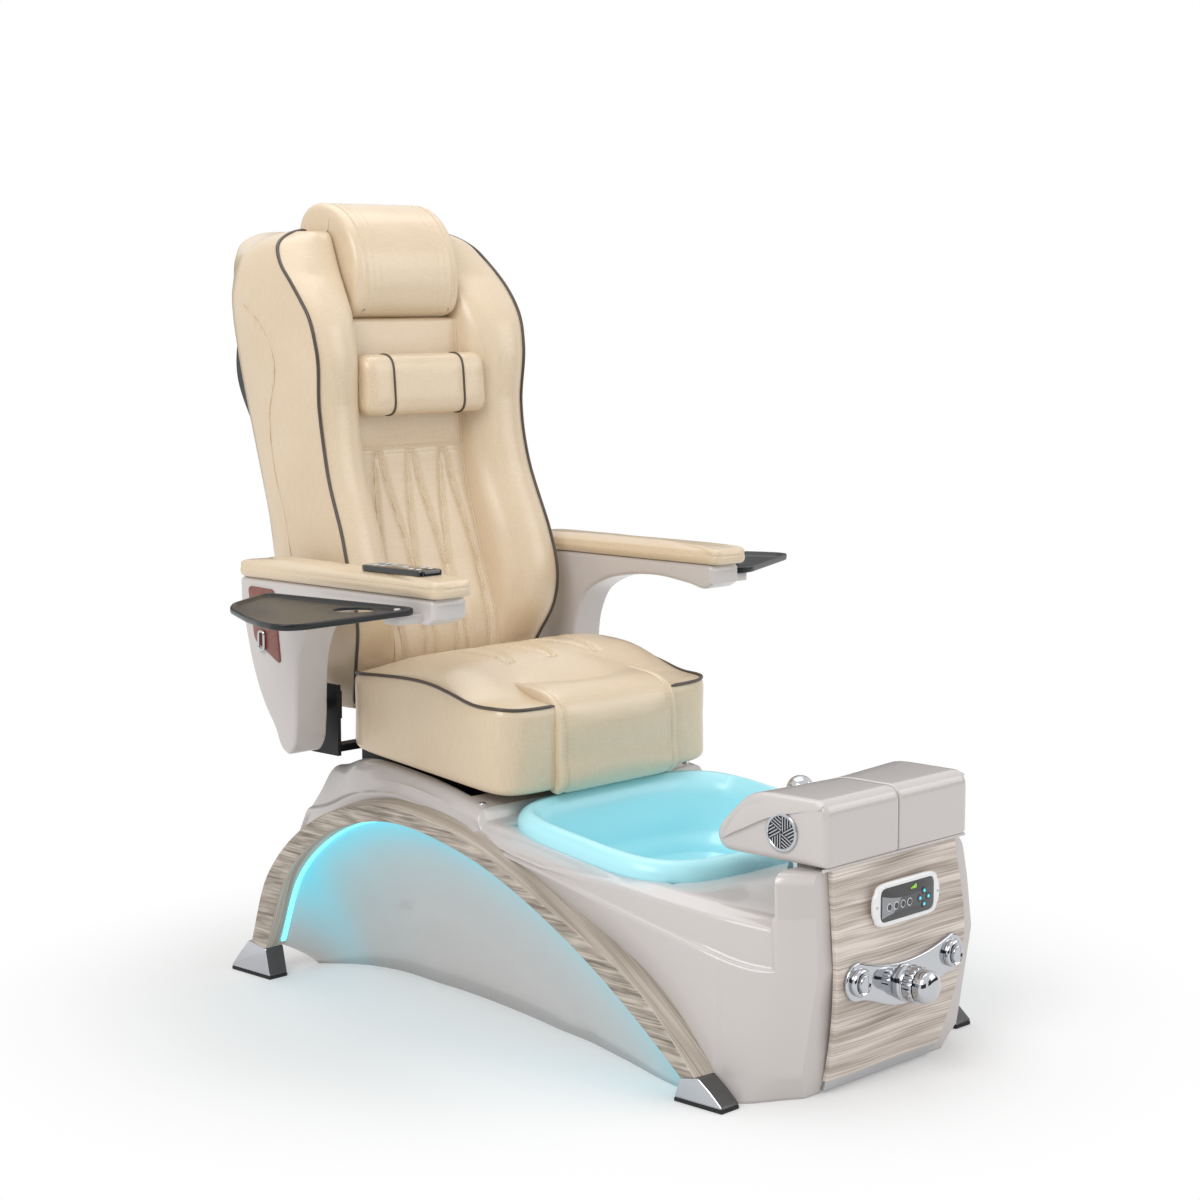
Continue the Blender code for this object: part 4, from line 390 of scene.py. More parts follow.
def turned(name: str, profile: Array, centre: Sequence, axis: Axis, sides: int = 64, ribs: int = 0,
           rib_depth: Array | float = 0.0, wrap: bool = False, sharp: float = 40.0) -> bpy.types.Object:
    """Turned piece: (radius, distance along the axis) carried round, with optional ribs cos(n angle).

    Args:
        name: Object name.
        profile: The (radius, distance) pairs, from one end to the other.
        centre: Where distance is zero.
        axis: The axis of turning.
        sides: Steps round.
        ribs: Number of ribs round, or none.
        rib_depth: How far the ribs cut in, for each profile point or all.
        wrap: Joins the profile's last point to its first, for a ring.
        sharp: Smooth-shading angle in degrees.

    Returns:
        The object.
    """
    profile = np.asarray(profile, float)
    angle = np.linspace(0.0, 2.0 * math.pi, sides, endpoint=False)
    wave = 0.5 + 0.5 * np.cos(ribs * angle) if ribs else np.zeros(sides)
    depth = np.broadcast_to(np.asarray(rib_depth, float), profile.shape[:1])
    radius = np.maximum(profile[:, :1] - depth[:, None] * wave[None], 1e-5)
    flat = np.stack([radius * np.cos(angle), radius * np.sin(angle)], axis=-1)
    along = np.broadcast_to(profile[:, 1][:, None], radius.shape)
    points = np.insert(flat, axis.value, along, axis=2) + np.asarray(centre, float)
    return lattice(name, points, wrap_rows=wrap, sharp=sharp)


def frames(route: Array, up: Sequence) -> tuple[Array, Array]:
    """Two unit directions square to a route at each point, the second nearest to up.

    Args:
        route: Points of the path.
        up: Direction, or one for each point.

    Returns:
        The two directions, each one row for each point.
    """
    along = np.gradient(route, axis=0)
    along /= np.linalg.norm(along, axis=1, keepdims=True)
    up = np.broadcast_to(np.asarray(up, float), route.shape)
    out = np.cross(along, up)
    out /= np.maximum(np.linalg.norm(out, axis=1, keepdims=True), 1e-9)
    return out, np.cross(out, along)


def sweep(name: str, route: Array, section: Array, up: Sequence, taper: Array | None = None,
          sharp: float = 40.0) -> bpy.types.Object:
    """Carries a plane section along a route: point = route + x * side + y * up.

    Args:
        name: Object name.
        route: Points of the path.
        section: Closed outline, (count, 2).
        up: Direction, or one for each point, that the section's y follows.
        taper: A size factor for each route point.
        sharp: Smooth-shading angle in degrees.

    Returns:
        The object.
    """
    out, top = frames(route, up)
    size = np.ones(len(route)) if taper is None else taper
    ring = section[None, :, :1] * out[:, None] + section[None, :, 1:] * top[:, None]
    return lattice(name, route[:, None] + size[:, None, None] * ring, sharp=sharp)


def merged(name: str, parts: Sequence) -> bpy.types.Object:
    """One object from several, whose meshes stay separate islands.

    Args:
        name: Name of the one object.
        parts: The objects; the first one is kept.

    Returns:
        The object.
    """
    first = parts[0]
    if len(parts) > 1:
        with bpy.context.temp_override(active_object=first, object=first,
                                       selected_editable_objects=list(parts)):
            bpy.ops.object.join()
    first.name = name
    first.data.name = name
    return first


def stitches(name: str, routes: Sequence, normals: Sequence, pitch: float = 0.0085, length: float = 0.0056,
             width: float = 0.0011) -> bpy.types.Object:
    """Row of sewn stitches along routes: one small spindle of 16 faces for each stitch.

    Args:
        name: Object name.
        routes: Each an array of points on a surface.
        normals: For each route, the surface's outward direction, or one for each point.
        pitch: Distance between stitches.
        length: Length of the thread that shows.
        width: Thickness of the thread, drawn a little heavy so that it shows.

    Returns:
        The object.
    """
    share = np.array([-0.5, -0.3, 0.3, 0.5])
    thick = np.array([0.35, 1.0, 1.0, 0.35])
    ring = np.array([(1.0, 0.0), (0.0, 1.0), (-1.0, 0.0), (0.0, -1.0)]) * width / 2.0
    points = []
    for route, normal in zip(routes, normals):
        along = lengths(route)
        middle = np.arange(pitch / 2, along[-1], pitch)
        normal = np.broadcast_to(np.asarray(normal, float), route.shape)
        place = read_along(route, along, middle[:, None] + share[None] * length)
        up = read_along(normal, along, middle)[:, None]
        step = place[:, -1:] - place[:, :1]
        side = np.cross(step, up)
        side /= np.maximum(np.linalg.norm(side, axis=2, keepdims=True), 1e-9)
        offset = ring[None, None, :, :1] * side[:, :, None] + ring[None, None, :, 1:] * up[:, :, None]
        points.append(place[:, :, None] + thick[None, :, None, None] * offset + 0.0004 * up[:, :, None])
    points = np.concatenate(points)
    count = len(points)
    quads = net(4, 4, False, True)
    lids = np.array([[3, 2, 1, 0], [12, 13, 14, 15]])
    faces = np.concatenate([quads, lids])[None] + 16 * np.arange(count)[:, None, None]
    return add_mesh(name, points.reshape(-1, 3), faces.reshape(-1, 4).tolist(), sharp=60.0)


PUFF_FRAMES = 20


def puff(piece: bpy.types.Object, held: Array, reach: float, pressure: float = 4.0) -> None:
    """Blows a padded piece up by cloth simulation, sewn down where it is held.

    The cloth has pressure inside and no gravity; a few frames run, each point's travel is capped, and the
    result is written to the mesh, so that no cloth is left on the piece.

    Args:
        piece: Closed mesh, a little smaller than the finished form.
        held: True for each vertex that stays where it is.
        reach: Farthest that a point may travel.
        pressure: Pressure inside.
    """
    group = piece.vertex_groups.new(name="sewn")
    group.add(np.flatnonzero(held).tolist(), 1.0, "REPLACE")
    cloth = piece.modifiers.new("filling", "CLOTH")
    cloth.settings.quality = 3
    cloth.settings.mass = 0.3
    cloth.settings.use_pressure = True
    cloth.settings.uniform_pressure_force = pressure
    cloth.settings.effector_weights.gravity = 0.0
    cloth.settings.vertex_group_mass = "sewn"
    cloth.collision_settings.use_collision = False
    scene = bpy.context.scene
    rest = mesh_points(piece.data)
    for frame in range(1, PUFF_FRAMES + 1):
        scene.frame_set(frame)
    grown = mesh_points(piece.evaluated_get(bpy.context.evaluated_depsgraph_get()).data)
    piece.modifiers.clear()
    scene.frame_set(1)
    travel = grown - rest
    length = np.linalg.norm(travel, axis=1, keepdims=True)
    travel *= reach * np.tanh(length / reach) / np.maximum(length, 1e-9)
    set_points(piece.data, rest + travel)
    piece.vertex_groups.clear()


def mesh_points(mesh: bpy.types.Mesh) -> Array:
    """The mesh's vertices as one array.

    Args:
        mesh: The mesh.

    Returns:
        The places, one row for each vertex.
    """
    values = np.zeros(len(mesh.vertices) * 3)
    mesh.vertices.foreach_get("co", values)
    return values.reshape(-1, 3)


def set_points(mesh: bpy.types.Mesh, points: Array) -> None:
    """Writes all the mesh's vertices."""
    mesh.vertices.foreach_set("co", points.ravel())
    mesh.update()


def net_normals(points: Array) -> Array:
    """Unit normals of a lattice with wrapped columns: across its two slopes, turned away from its middle.

    Args:
        points: The lattice, (rows, columns, 3).

    Returns:
        One normal for each point.
    """
    across = np.roll(points, -1, axis=1) - np.roll(points, 1, axis=1)
    normal = np.cross(across, np.gradient(points, axis=0))
    normal /= np.maximum(np.linalg.norm(normal, axis=2, keepdims=True), 1e-12)
    away = points - points.mean(axis=(0, 1))
    return normal * np.sign(np.einsum("ijk,ijk->ij", normal, away))[..., None]


def subdivide(piece: bpy.types.Object, levels: int = 1) -> None:
    """Adds a subdivision surface with the same level everywhere.

    Args:
        piece: The mesh object.
        levels: How often each face is split.
    """
    step = piece.modifiers.new("smooth", "SUBSURF")
    step.levels = levels
    step.render_levels = levels


def thicken(piece: bpy.types.Object, wall: float) -> None:
    """Gives an open skin a wall on its inner side.

    Args:
        piece: The open skin.
        wall: Thickness of the wall.
    """
    step = piece.modifiers.new("wall", "SOLIDIFY")
    step.thickness = wall
    step.offset = -1.0


# Finishes


def linear(colour: str) -> tuple[float, float, float, float]:
    """Linear RGBA of an sRGB hex colour.

    Args:
        colour: The colour as #RRGGBB.

    Returns:
        Red, green, blue and full opacity.
    """
    parts = np.array([int(colour[start:start + 2], 16) for start in (1, 3, 5)]) / 255.0
    values = np.where(parts <= 0.04045, parts / 12.92, ((parts + 0.055) / 1.055) ** 2.4)
    return (*values.tolist(), 1.0)


def per_metre(millimetres: float) -> float:
    """Texture scale at which one feature is this many millimetres wide."""
    return 1000.0 / millimetres


def add_node(tree: bpy.types.NodeTree, kind: str, inputs: dict | None = None,
             **settings: object) -> bpy.types.Node:
    """Adds a node, sets it, and sets or links its inputs.

    Args:
        tree: The material's nodes.
        kind: Blender's node type.
        inputs: Socket name or number to a value, or to the socket that feeds it.
        settings: The node's own properties.

    Returns:
        The node.
    """
    node = tree.nodes.new(kind)
    for key, value in settings.items():
        setattr(node, key, value)
    for key, value in (inputs or {}).items():
        if isinstance(value, bpy.types.NodeSocket):
            tree.links.new(value, node.inputs[key])
        else:
            node.inputs[key].default_value = value
    return node


@dataclass(frozen=True)
class Finish:
    """A surface: its colour and the shader's plain numbers."""

    name: str
    colour: str
    roughness: float
    metallic: float = 0.0
    coat: float = 0.0
    coat_roughness: float = 0.1

    def make(self) -> bpy.types.Material:
        """The material, made once and dressed by the finish's own nodes.

        Returns:
            The material.
        """
        found = bpy.data.materials.get(self.name)
        if found:
            return found
        made = bpy.data.materials.new(self.name)
        made.use_nodes = True
        made.cycles.emission_sampling = "NONE"
        tree = made.node_tree
        shader = tree.nodes["Principled BSDF"]
        shader.inputs["Base Color"].default_value = linear(self.colour)
        shader.inputs["Roughness"].default_value = self.roughness
        shader.inputs["Metallic"].default_value = self.metallic
        shader.inputs["Coat Weight"].default_value = self.coat
        shader.inputs["Coat Roughness"].default_value = self.coat_roughness
        self.dress(tree, shader)
        return made

    def dress(self, tree: bpy.types.NodeTree, shader: bpy.types.Node) -> None:
        """Adds the finish's own pattern."""

    def put(self, *pieces: bpy.types.Object) -> None:
        """Gives each piece this finish alone."""
        for piece in pieces:
            piece.data.materials.clear()
            piece.data.materials.append(self.make())


@dataclass(frozen=True)
class Leatherette(Finish):
    """Coated upholstery cloth with a pearl top coat over an embossed linen weave.

    The eye sees a soft wide gloss, short slubs both ways, and a slow drift of tone over a panel.
    """

    deep_colour: str = "#D0BA9B"
    slub_length: float = 22.0
    slub_width: float = 1.9  # the real weave is near 0.8 mm, drawn coarser so that it shows
    drift: float = 190.0

    def dress(self, tree: bpy.types.NodeTree, shader: bpy.types.Node) -> None:
        """Two stretched noises for the weave, one wide noise for the drift, and a fine bump.

        Args:
            tree: The material's nodes.
            shader: Its main shader.
        """
        place = add_node(tree, "ShaderNodeTexCoord").outputs["Object"]
        slubs = []
        for long_axis in (0, 2):
            scale = [per_metre(self.slub_width)] * 3
            scale[long_axis] = per_metre(self.slub_length)
            mapped = add_node(tree, "ShaderNodeMapping", {"Vector": place, "Scale": scale})
            settings = {"Vector": mapped.outputs["Vector"], "Scale": 1.0, "Detail": 3.0}
            noise = add_node(tree, "ShaderNodeTexNoise", settings)
            slubs.append(noise.outputs["Fac"])
        weave = add_node(tree, "ShaderNodeMath", {0: slubs[0], 1: slubs[1]}, operation="ADD").outputs[0]
        wide = add_node(tree, "ShaderNodeTexNoise", {"Vector": place, "Scale": per_metre(self.drift),
                                                     "Detail": 2.0})
        tone = add_node(tree, "ShaderNodeMath", {0: weave, 1: wide.outputs["Fac"]},
                        operation="ADD").outputs[0]
        share = add_node(tree, "ShaderNodeMapRange", {"Value": tone, "From Min": 1.00, "From Max": 2.00})
        mix = add_node(tree, "ShaderNodeMix", {0: share.outputs["Result"], 6: linear(self.deep_colour),
                                               7: linear(self.colour)}, data_type="RGBA")
        tree.links.new(mix.outputs[2], shader.inputs["Base Color"])
        gloss = add_node(tree, "ShaderNodeMapRange", {"Value": weave, "From Min": 0.7, "From Max": 1.3,
                                                      "To Min": self.roughness - 0.05,
                                                      "To Max": self.roughness + 0.07})
        tree.links.new(gloss.outputs["Result"], shader.inputs["Roughness"])
        bump = add_node(tree, "ShaderNodeBump", {"Height": weave, "Strength": 0.07, "Distance": 0.0006})
        tree.links.new(bump.outputs["Normal"], shader.inputs["Normal"])


@dataclass(frozen=True)
class Moulded(Finish):
    """Moulded plastic or lacquer: even colour, faint orange peel and a slight drift in gloss."""

    grain: float = 9.0
    depth: float = 0.00006
    spread: float = 0.05

    def dress(self, tree: bpy.types.NodeTree, shader: bpy.types.Node) -> None:
        """A noise of the grain's size for gloss and bump.

        Args:
            tree: The material's nodes.
            shader: Its main shader.
        """
        place = add_node(tree, "ShaderNodeTexCoord").outputs["Object"]
        noise = add_node(tree, "ShaderNodeTexNoise", {"Vector": place, "Scale": per_metre(self.grain),
                                                      "Detail": 3.0})
        gloss = add_node(tree, "ShaderNodeMapRange", {"Value": noise.outputs["Fac"],
                                                      "To Min": max(self.roughness - self.spread, 0.0),
                                                      "To Max": self.roughness + self.spread})
        tree.links.new(gloss.outputs["Result"], shader.inputs["Roughness"])
        bump = add_node(tree, "ShaderNodeBump", {"Height": noise.outputs["Fac"], "Strength": 0.25,
                                                 "Distance": self.depth})
        tree.links.new(bump.outputs["Normal"], shader.inputs["Normal"])


@dataclass(frozen=True)
class LitShell(Moulded):
    """Gel-coated shell with painted light on its niches: the light's strength is kept on the mesh as glow,
    which tints the colour cyan and makes it shine.
    """

    light: str = "#5FD3E8"
    strength: float = 0.40

    def dress(self, tree: bpy.types.NodeTree, shader: bpy.types.Node) -> None:
        """The moulded gloss, and painted light: a cyan tint and an emission that follow the glow attribute.

        Args:
            tree: The material's nodes.
            shader: Its main shader.
        """
        super().dress(tree, shader)
        glow = add_node(tree, "ShaderNodeAttribute", attribute_name="glow").outputs["Fac"]
        tint = add_node(tree, "ShaderNodeMix", {0: glow, 6: linear(self.colour), 7: linear(self.light)},
                        data_type="RGBA")
        tree.links.new(tint.outputs[2], shader.inputs["Base Color"])
        level = add_node(tree, "ShaderNodeMath", {0: glow, 1: self.strength}, operation="MULTIPLY").outputs[0]
        shader.inputs["Emission Color"].default_value = linear(self.light)
        tree.links.new(level, shader.inputs["Emission Strength"])


@dataclass(frozen=True)
class AshLaminate(Finish):
    """Printed ash laminate, wire-brushed and matt: long grain lines, darker streaks and fine pores.

    The grain runs along the first axis of the turned coordinates. They are in metres, from the piece's
    length map or from plain space.
    """

    dark_colour: str = "#8F8274"
    streak: float = 26.0
    line: float = 3.4
    length: float = 330.0
    wander: float = 0.010
    turn: tuple = (0.0, 0.0, 0.0)
    grain: Grain = Grain.ALONG_LENGTH

    def dress(self, tree: bpy.types.NodeTree, shader: bpy.types.Node) -> None:
        """Stretched noises across the grain, bent by a slow wander.

        Args:
            tree: The material's nodes.
            shader: Its main shader.
        """
        if self.grain is Grain.IN_SPACE:
            place = add_node(tree, "ShaderNodeTexCoord").outputs["Object"]
        else:
            place = add_node(tree, "ShaderNodeUVMap", uv_map="length").outputs["UV"]
        turning = add_node(tree, "ShaderNodeMapping", {"Vector": place, "Rotation": self.turn})
        turned_place = turning.outputs[0]
        slow = add_node(tree, "ShaderNodeTexNoise", {"Vector": turned_place, "Scale": per_metre(150.0),
                                                     "Detail": 1.0})
        shift = add_node(tree, "ShaderNodeVectorMath", {0: slow.outputs["Color"], 1: (0.0, self.wander, 0.0)},
                         operation="MULTIPLY").outputs[0]
        bent = add_node(tree, "ShaderNodeVectorMath", {0: turned_place, 1: shift}, operation="ADD").outputs[0]
        layers = []
        for width, detail in ((self.streak, 2.0), (self.line, 4.0)):
            scale = (per_metre(self.length), per_metre(width), 1.0)
            mapped = add_node(tree, "ShaderNodeMapping", {"Vector": bent, "Scale": scale})
            settings = {"Vector": mapped.outputs[0], "Scale": 1.0, "Detail": detail}
            noise = add_node(tree, "ShaderNodeTexNoise", settings)
            layers.append(noise.outputs["Fac"])
        grain = add_node(tree, "ShaderNodeMath", {0: layers[0], 1: layers[1]}, operation="ADD").outputs[0]
        share = add_node(tree, "ShaderNodeMapRange", {"Value": grain, "From Min": 0.72, "From Max": 1.22})
        mix = add_node(tree, "ShaderNodeMix", {0: share.outputs["Result"], 6: linear(self.dark_colour),
                                               7: linear(self.colour)}, data_type="RGBA")
        tree.links.new(mix.outputs[2], shader.inputs["Base Color"])
        bump = add_node(tree, "ShaderNodeBump", {"Height": layers[1], "Strength": 0.3, "Distance": 0.0003})
        tree.links.new(bump.outputs["Normal"], shader.inputs["Normal"])


@dataclass(frozen=True)
class LitAcrylic(Finish):
    """Cast acrylic bowl lit from under its rim, its light painted in: deep cyan by the rim, paler on the
    bowl's floor, with a weak painted glow.
    """

    # painted light: the cyan of the ring's light near the rim
    deep_colour: str = "#86DAEA"
    floor_z: float = 0.19
    rim_z: float = 0.400
    strength: float = 0.38

    def dress(self, tree: bpy.types.NodeTree, shader: bpy.types.Node) -> None:
        """Painted light: colour by height in the bowl, deep cyan towards the lit rim, broken a little by
        noise, and a weak emission of it.

        Args:
            tree: The material's nodes.
            shader: Its main shader.
        """
        place = add_node(tree, "ShaderNodeTexCoord").outputs["Object"]
        height = add_node(tree, "ShaderNodeSeparateXYZ", {0: place}).outputs["Z"]
        noise = add_node(tree, "ShaderNodeTexNoise", {"Vector": place,
                                                      "Scale": per_metre(120.0)}).outputs["Fac"]
        drift = add_node(tree, "ShaderNodeMath", {0: noise, 1: 0.05, 2: -0.025},
                         operation="MULTIPLY_ADD").outputs[0]
        level = add_node(tree, "ShaderNodeMath", {0: height, 1: drift}, operation="ADD").outputs[0]
        share = add_node(tree, "ShaderNodeMapRange", {"Value": level, "From Min": self.floor_z + 0.05,
                                                      "From Max": self.rim_z},
                         interpolation_type="SMOOTHSTEP")
        mix = add_node(tree, "ShaderNodeMix", {0: share.outputs["Result"], 6: linear(self.colour),
                                               7: linear(self.deep_colour)}, data_type="RGBA")
        tree.links.new(mix.outputs[2], shader.inputs["Base Color"])
        tree.links.new(mix.outputs[2], shader.inputs["Emission Color"])
        shader.inputs["Emission Strength"].default_value = self.strength


@dataclass(frozen=True)
class Lamp(Finish):
    """Frosted light strip or lit icon: one colour that shines a little unevenly along its length."""

    strength: float = 3.0
    spot: float = 12.0

    def dress(self, tree: bpy.types.NodeTree, shader: bpy.types.Node) -> None:
        """Emission that rises and falls with the diodes behind the frosting.

        Args:
            tree: The material's nodes.
            shader: Its main shader.
        """
        place = add_node(tree, "ShaderNodeTexCoord").outputs["Object"]
        noise = add_node(tree, "ShaderNodeTexNoise", {"Vector": place,
                                                      "Scale": per_metre(self.spot)}).outputs["Fac"]
        level = add_node(tree, "ShaderNodeMapRange", {"Value": noise, "To Min": 0.9 * self.strength,
                                                      "To Max": 1.1 * self.strength})
        shader.inputs["Emission Color"].default_value = linear(self.colour)
        tree.links.new(level.outputs["Result"], shader.inputs["Emission Strength"])


LEATHERETTE = Leatherette("pearl_leatherette", "#DECBB0", 0.36, coat=0.50, coat_roughness=0.22)
PIPING = Moulded("brown_vinyl_piping", "#4B4038", 0.34, grain=2.5)
THREAD = Moulded("polyester_thread", "#EBDDC2", 0.65, grain=1.0)
# the gel coat's finish also carries painted cyan light from the light strips and the basin
SHELL = LitShell("warm_grey_gel_coat", "#C9C3C0", 0.22, coat=0.45, coat_roughness=0.06)
PLAIN_SHELL = Moulded("warm_grey_abs", "#C9C3C0", 0.24, coat=0.40, coat_roughness=0.08)
ASH_LONG = AshLaminate("ash_laminate_long_grain", "#CDC3B7", 0.48)
Y_Z_X = (-math.pi / 2.0, -math.pi / 2.0, 0.0)  # a turn that puts Y first, then Z, then X
ASH_CROSS = AshLaminate("ash_laminate_level_grain", "#C6BBAE", 0.50, dark_colour="#75695D", streak=10.0,
                        line=2.4, length=75.0, wander=0.005, turn=Y_Z_X, grain=Grain.IN_SPACE)
ASH_FRONT = AshLaminate("ash_laminate_front", "#E6DBD1", 0.46, dark_colour="#938376", streak=20.0, line=2.8,
                        length=300.0, wander=0.009, turn=(0.0, 0.0, math.pi / 2.0))
CHROME = Moulded("chrome_plate", "#C2C4C8", 0.06, 1.0, grain=30.0, depth=0.00002, spread=0.02)
ALUMINIUM = Moulded("brushed_aluminium", "#C9CACC", 0.30, 1.0, grain=3.0)
BLACK_SATIN = Moulded("black_satin_abs", "#101113", 0.33, grain=4.0)
BLACK_COVER = Moulded("black_textured_abs", "#222529", 0.48, grain=2.2, depth=0.0002)
BLACK_STEEL = Moulded("black_powder_coat", "#202124", 0.50, 0.3, grain=2.0, depth=0.0001)
ZINC = Moulded("zinc_plated_steel", "#A7A8AA", 0.35, 1.0, grain=6.0)
RUBBER = Moulded("black_rubber", "#1B1B1C", 0.70, grain=1.6, depth=0.0001)
GRAPHITE = Moulded("graphite_lacquer", "#4A4848", 0.35, grain=5.0)
MAHOGANY = AshLaminate("mahogany_laminate", "#8A4B3A", 0.28, dark_colour="#5E2E24", streak=14.0, line=2.2,
                       length=60.0, wander=0.004, coat=0.5)
BASIN_ACRYLIC = LitAcrylic("lit_acrylic", "#E8F9FB", 0.12, coat=0.5, coat_roughness=0.03)
LED = Lamp("led_strip", "#6BE1F5", 0.40, strength=1.7)
SCREEN = Moulded("smoked_glass", "#121316", 0.07, grain=40.0, depth=0.00001, spread=0.02, coat=0.6,
                 coat_roughness=0.02)
WHITE_GLOSS = Moulded("white_gloss_abs", "#EDEDED", 0.18, grain=12.0, coat=0.3)
CYAN_ICON = Lamp("cyan_icon", "#35C9E6", 0.30, strength=0.9)
GREEN_ICON = Lamp("green_icon", "#86C440", 0.30, strength=0.8)
PALE_ICON = Lamp("pale_icon", "#D9DCE0", 0.30, strength=0.35)
PALE_GLASS = Moulded("pale_glass_band", "#8C8E92", 0.12, grain=40.0, depth=0.00001, spread=0.02, coat=0.4)
GREY_GLASS = Moulded("grey_glass_band", "#3E4044", 0.10, grain=40.0, depth=0.00001, spread=0.02, coat=0.5)


def settle(piece: bpy.types.Object, finish: Finish, body: str, slot: str, *nodes: str) -> bpy.types.Object:
    """Dresses a piece, lets it ride on a body and hides the solids that it stands for.

    Args:
        piece: The finished mesh.
        finish: Its surface.
        body: The moving body that carries it.
        slot: The record's material slot; not used.
        nodes: Solids that it replaces, if any.

    Returns:
        The piece.
    """
    if not piece.data.materials:
        finish.put(piece)
    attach(piece, body)
    if nodes:
        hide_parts(*nodes)
    log.info("%s rides on %s", piece.name, body)
    return piece


# Upholstery


SOFT_EDGE = 70.0  # degrees: folds of a cushion stay smooth up to this
BACK_FRONT = (0.0, -1.0, 0.2)  # outward direction of the back's front


def back_plane(z: float) -> float:
    """Y of the leaning plane that the back cushion's rear and the back cover meet on."""
    return 0.575 + 0.215 * (z - 0.60)


def padded_block(outline: Array, low: float, high: float, axis: Axis, edge: float, rows: int,
                 dome: float = 0.0, cheek_rings: int = 5) -> Array:
    """Lattice of a soft block: cheek rings, a round edge, straight rows, a round edge and cheek rings.

    The edges are quarter circles; a cheek's rings are the outline shrunk about its middle, which rises by
    dome times an eased share of the shrinking.

    Args:
        outline: Closed outline in the two axes that are not extruded.
        low: Level of one cheek.
        high: Level of the other cheek.
        axis: Direction from cheek to cheek.
        edge: Radius of the edges.
        rows: Rows between the two edges.
        dome: How far the cheeks swell.
        cheek_rings: Rings on each cheek.

    Returns:
        The lattice, (rows, columns, 3).
    """
    normal = outward(outline)
    turn = np.linspace(0.0, math.pi / 2.0, 6)
    base = outline - normal * edge
    middle = base.mean(axis=0)
    sizes = np.linspace(0.2, 1.0, cheek_rings, endpoint=False)
    cheeks = middle + (base - middle) * sizes[:, None, None]
    edges = outline - normal * (edge * (1.0 - np.sin(turn)))[:, None, None]
    straight = np.broadcast_to(outline, (rows, *outline.shape))
    flat = np.concatenate([cheeks, edges, straight, edges[::-1], cheeks[::-1]])
    rise = np.concatenate([-dome * ease(1.25 * (1.0 - sizes)), edge * (1.0 - np.cos(turn))])
    levels = np.concatenate([low + rise, np.linspace(low + edge, high - edge, rows + 2)[1:-1],
                             (high - rise)[::-1]])
    return np.insert(flat, axis.value, np.broadcast_to(levels[:, None], flat.shape[:2]), axis=2)


def tube(name: str, route: Array, radius: float, up: Sequence) -> bpy.types.Object:
    """Round cord along a route, drawn to a point over its last few steps at each end."""
    end = np.minimum(np.arange(len(route)), np.arange(len(route))[::-1])
    return sweep(name, route, ellipse(radius, radius, 2.0, 12), up,
                 taper=np.clip(0.25 + end / 3.0, 0.25, 1.0))


def welt(name: str, routes: Sequence, up: Sequence, radius: float = 0.0019) -> bpy.types.Object:
    """Raised seams: a thin cord along each route, half sunk into the surface."""
    return merged(name, [tube(name, route, radius, up) for route in routes])


def nearest_rows(points: Array, heights: Array) -> Array:
    """For each height, the number of the lattice row whose first point is nearest to it."""
    levels = points[:, 0, 2]
    return np.round(np.interp(heights, levels, np.arange(len(levels)))).astype(int)


def pleat_lines(top: float, foot: float, end: float, spacing: float) -> list[Array]:
    """Zigzag of sewn pleats as (x, height) routes: each apex has two legs that part, then run straight on.

    Args:
        top: Height of the apexes.
        foot: Height where the legs of neighbours meet.
        end: Height where the lines end.
        spacing: Distance between apexes.

    Returns:
        One route for each leg.
    """
    lines = []
    for apex in (-spacing, 0.0, spacing):
        for way in (-1.0, 1.0):
            foot_x = apex + way * spacing * 0.46
            corners = np.array([(apex + way * 0.004, top), (foot_x, foot),
                                (apex + way * spacing * 0.30, end)])
            lines.append(trace(rounded(corners, 0.03, 6, closed=False)[5:-5], 60))
    return lines


def distance_to(lines: Sequence, x: Array, height: Array) -> Array:
    """Sideways distance from each place to the nearest of some (x, height) routes that run downwards.

    Args:
        lines: The routes.
        x: Sideways places.
        height: Their heights.

    Returns:
        The distances, 1 m at most.
    """
    nearest = np.full(np.broadcast(x, height).shape, 1.0)
    for line in lines:
        order = np.argsort(line[:, 1])
        reach = np.interp(height, line[order, 1], line[order, 0], left=9.0, right=9.0)
        nearest = np.minimum(nearest, np.abs(x - reach))
    return nearest


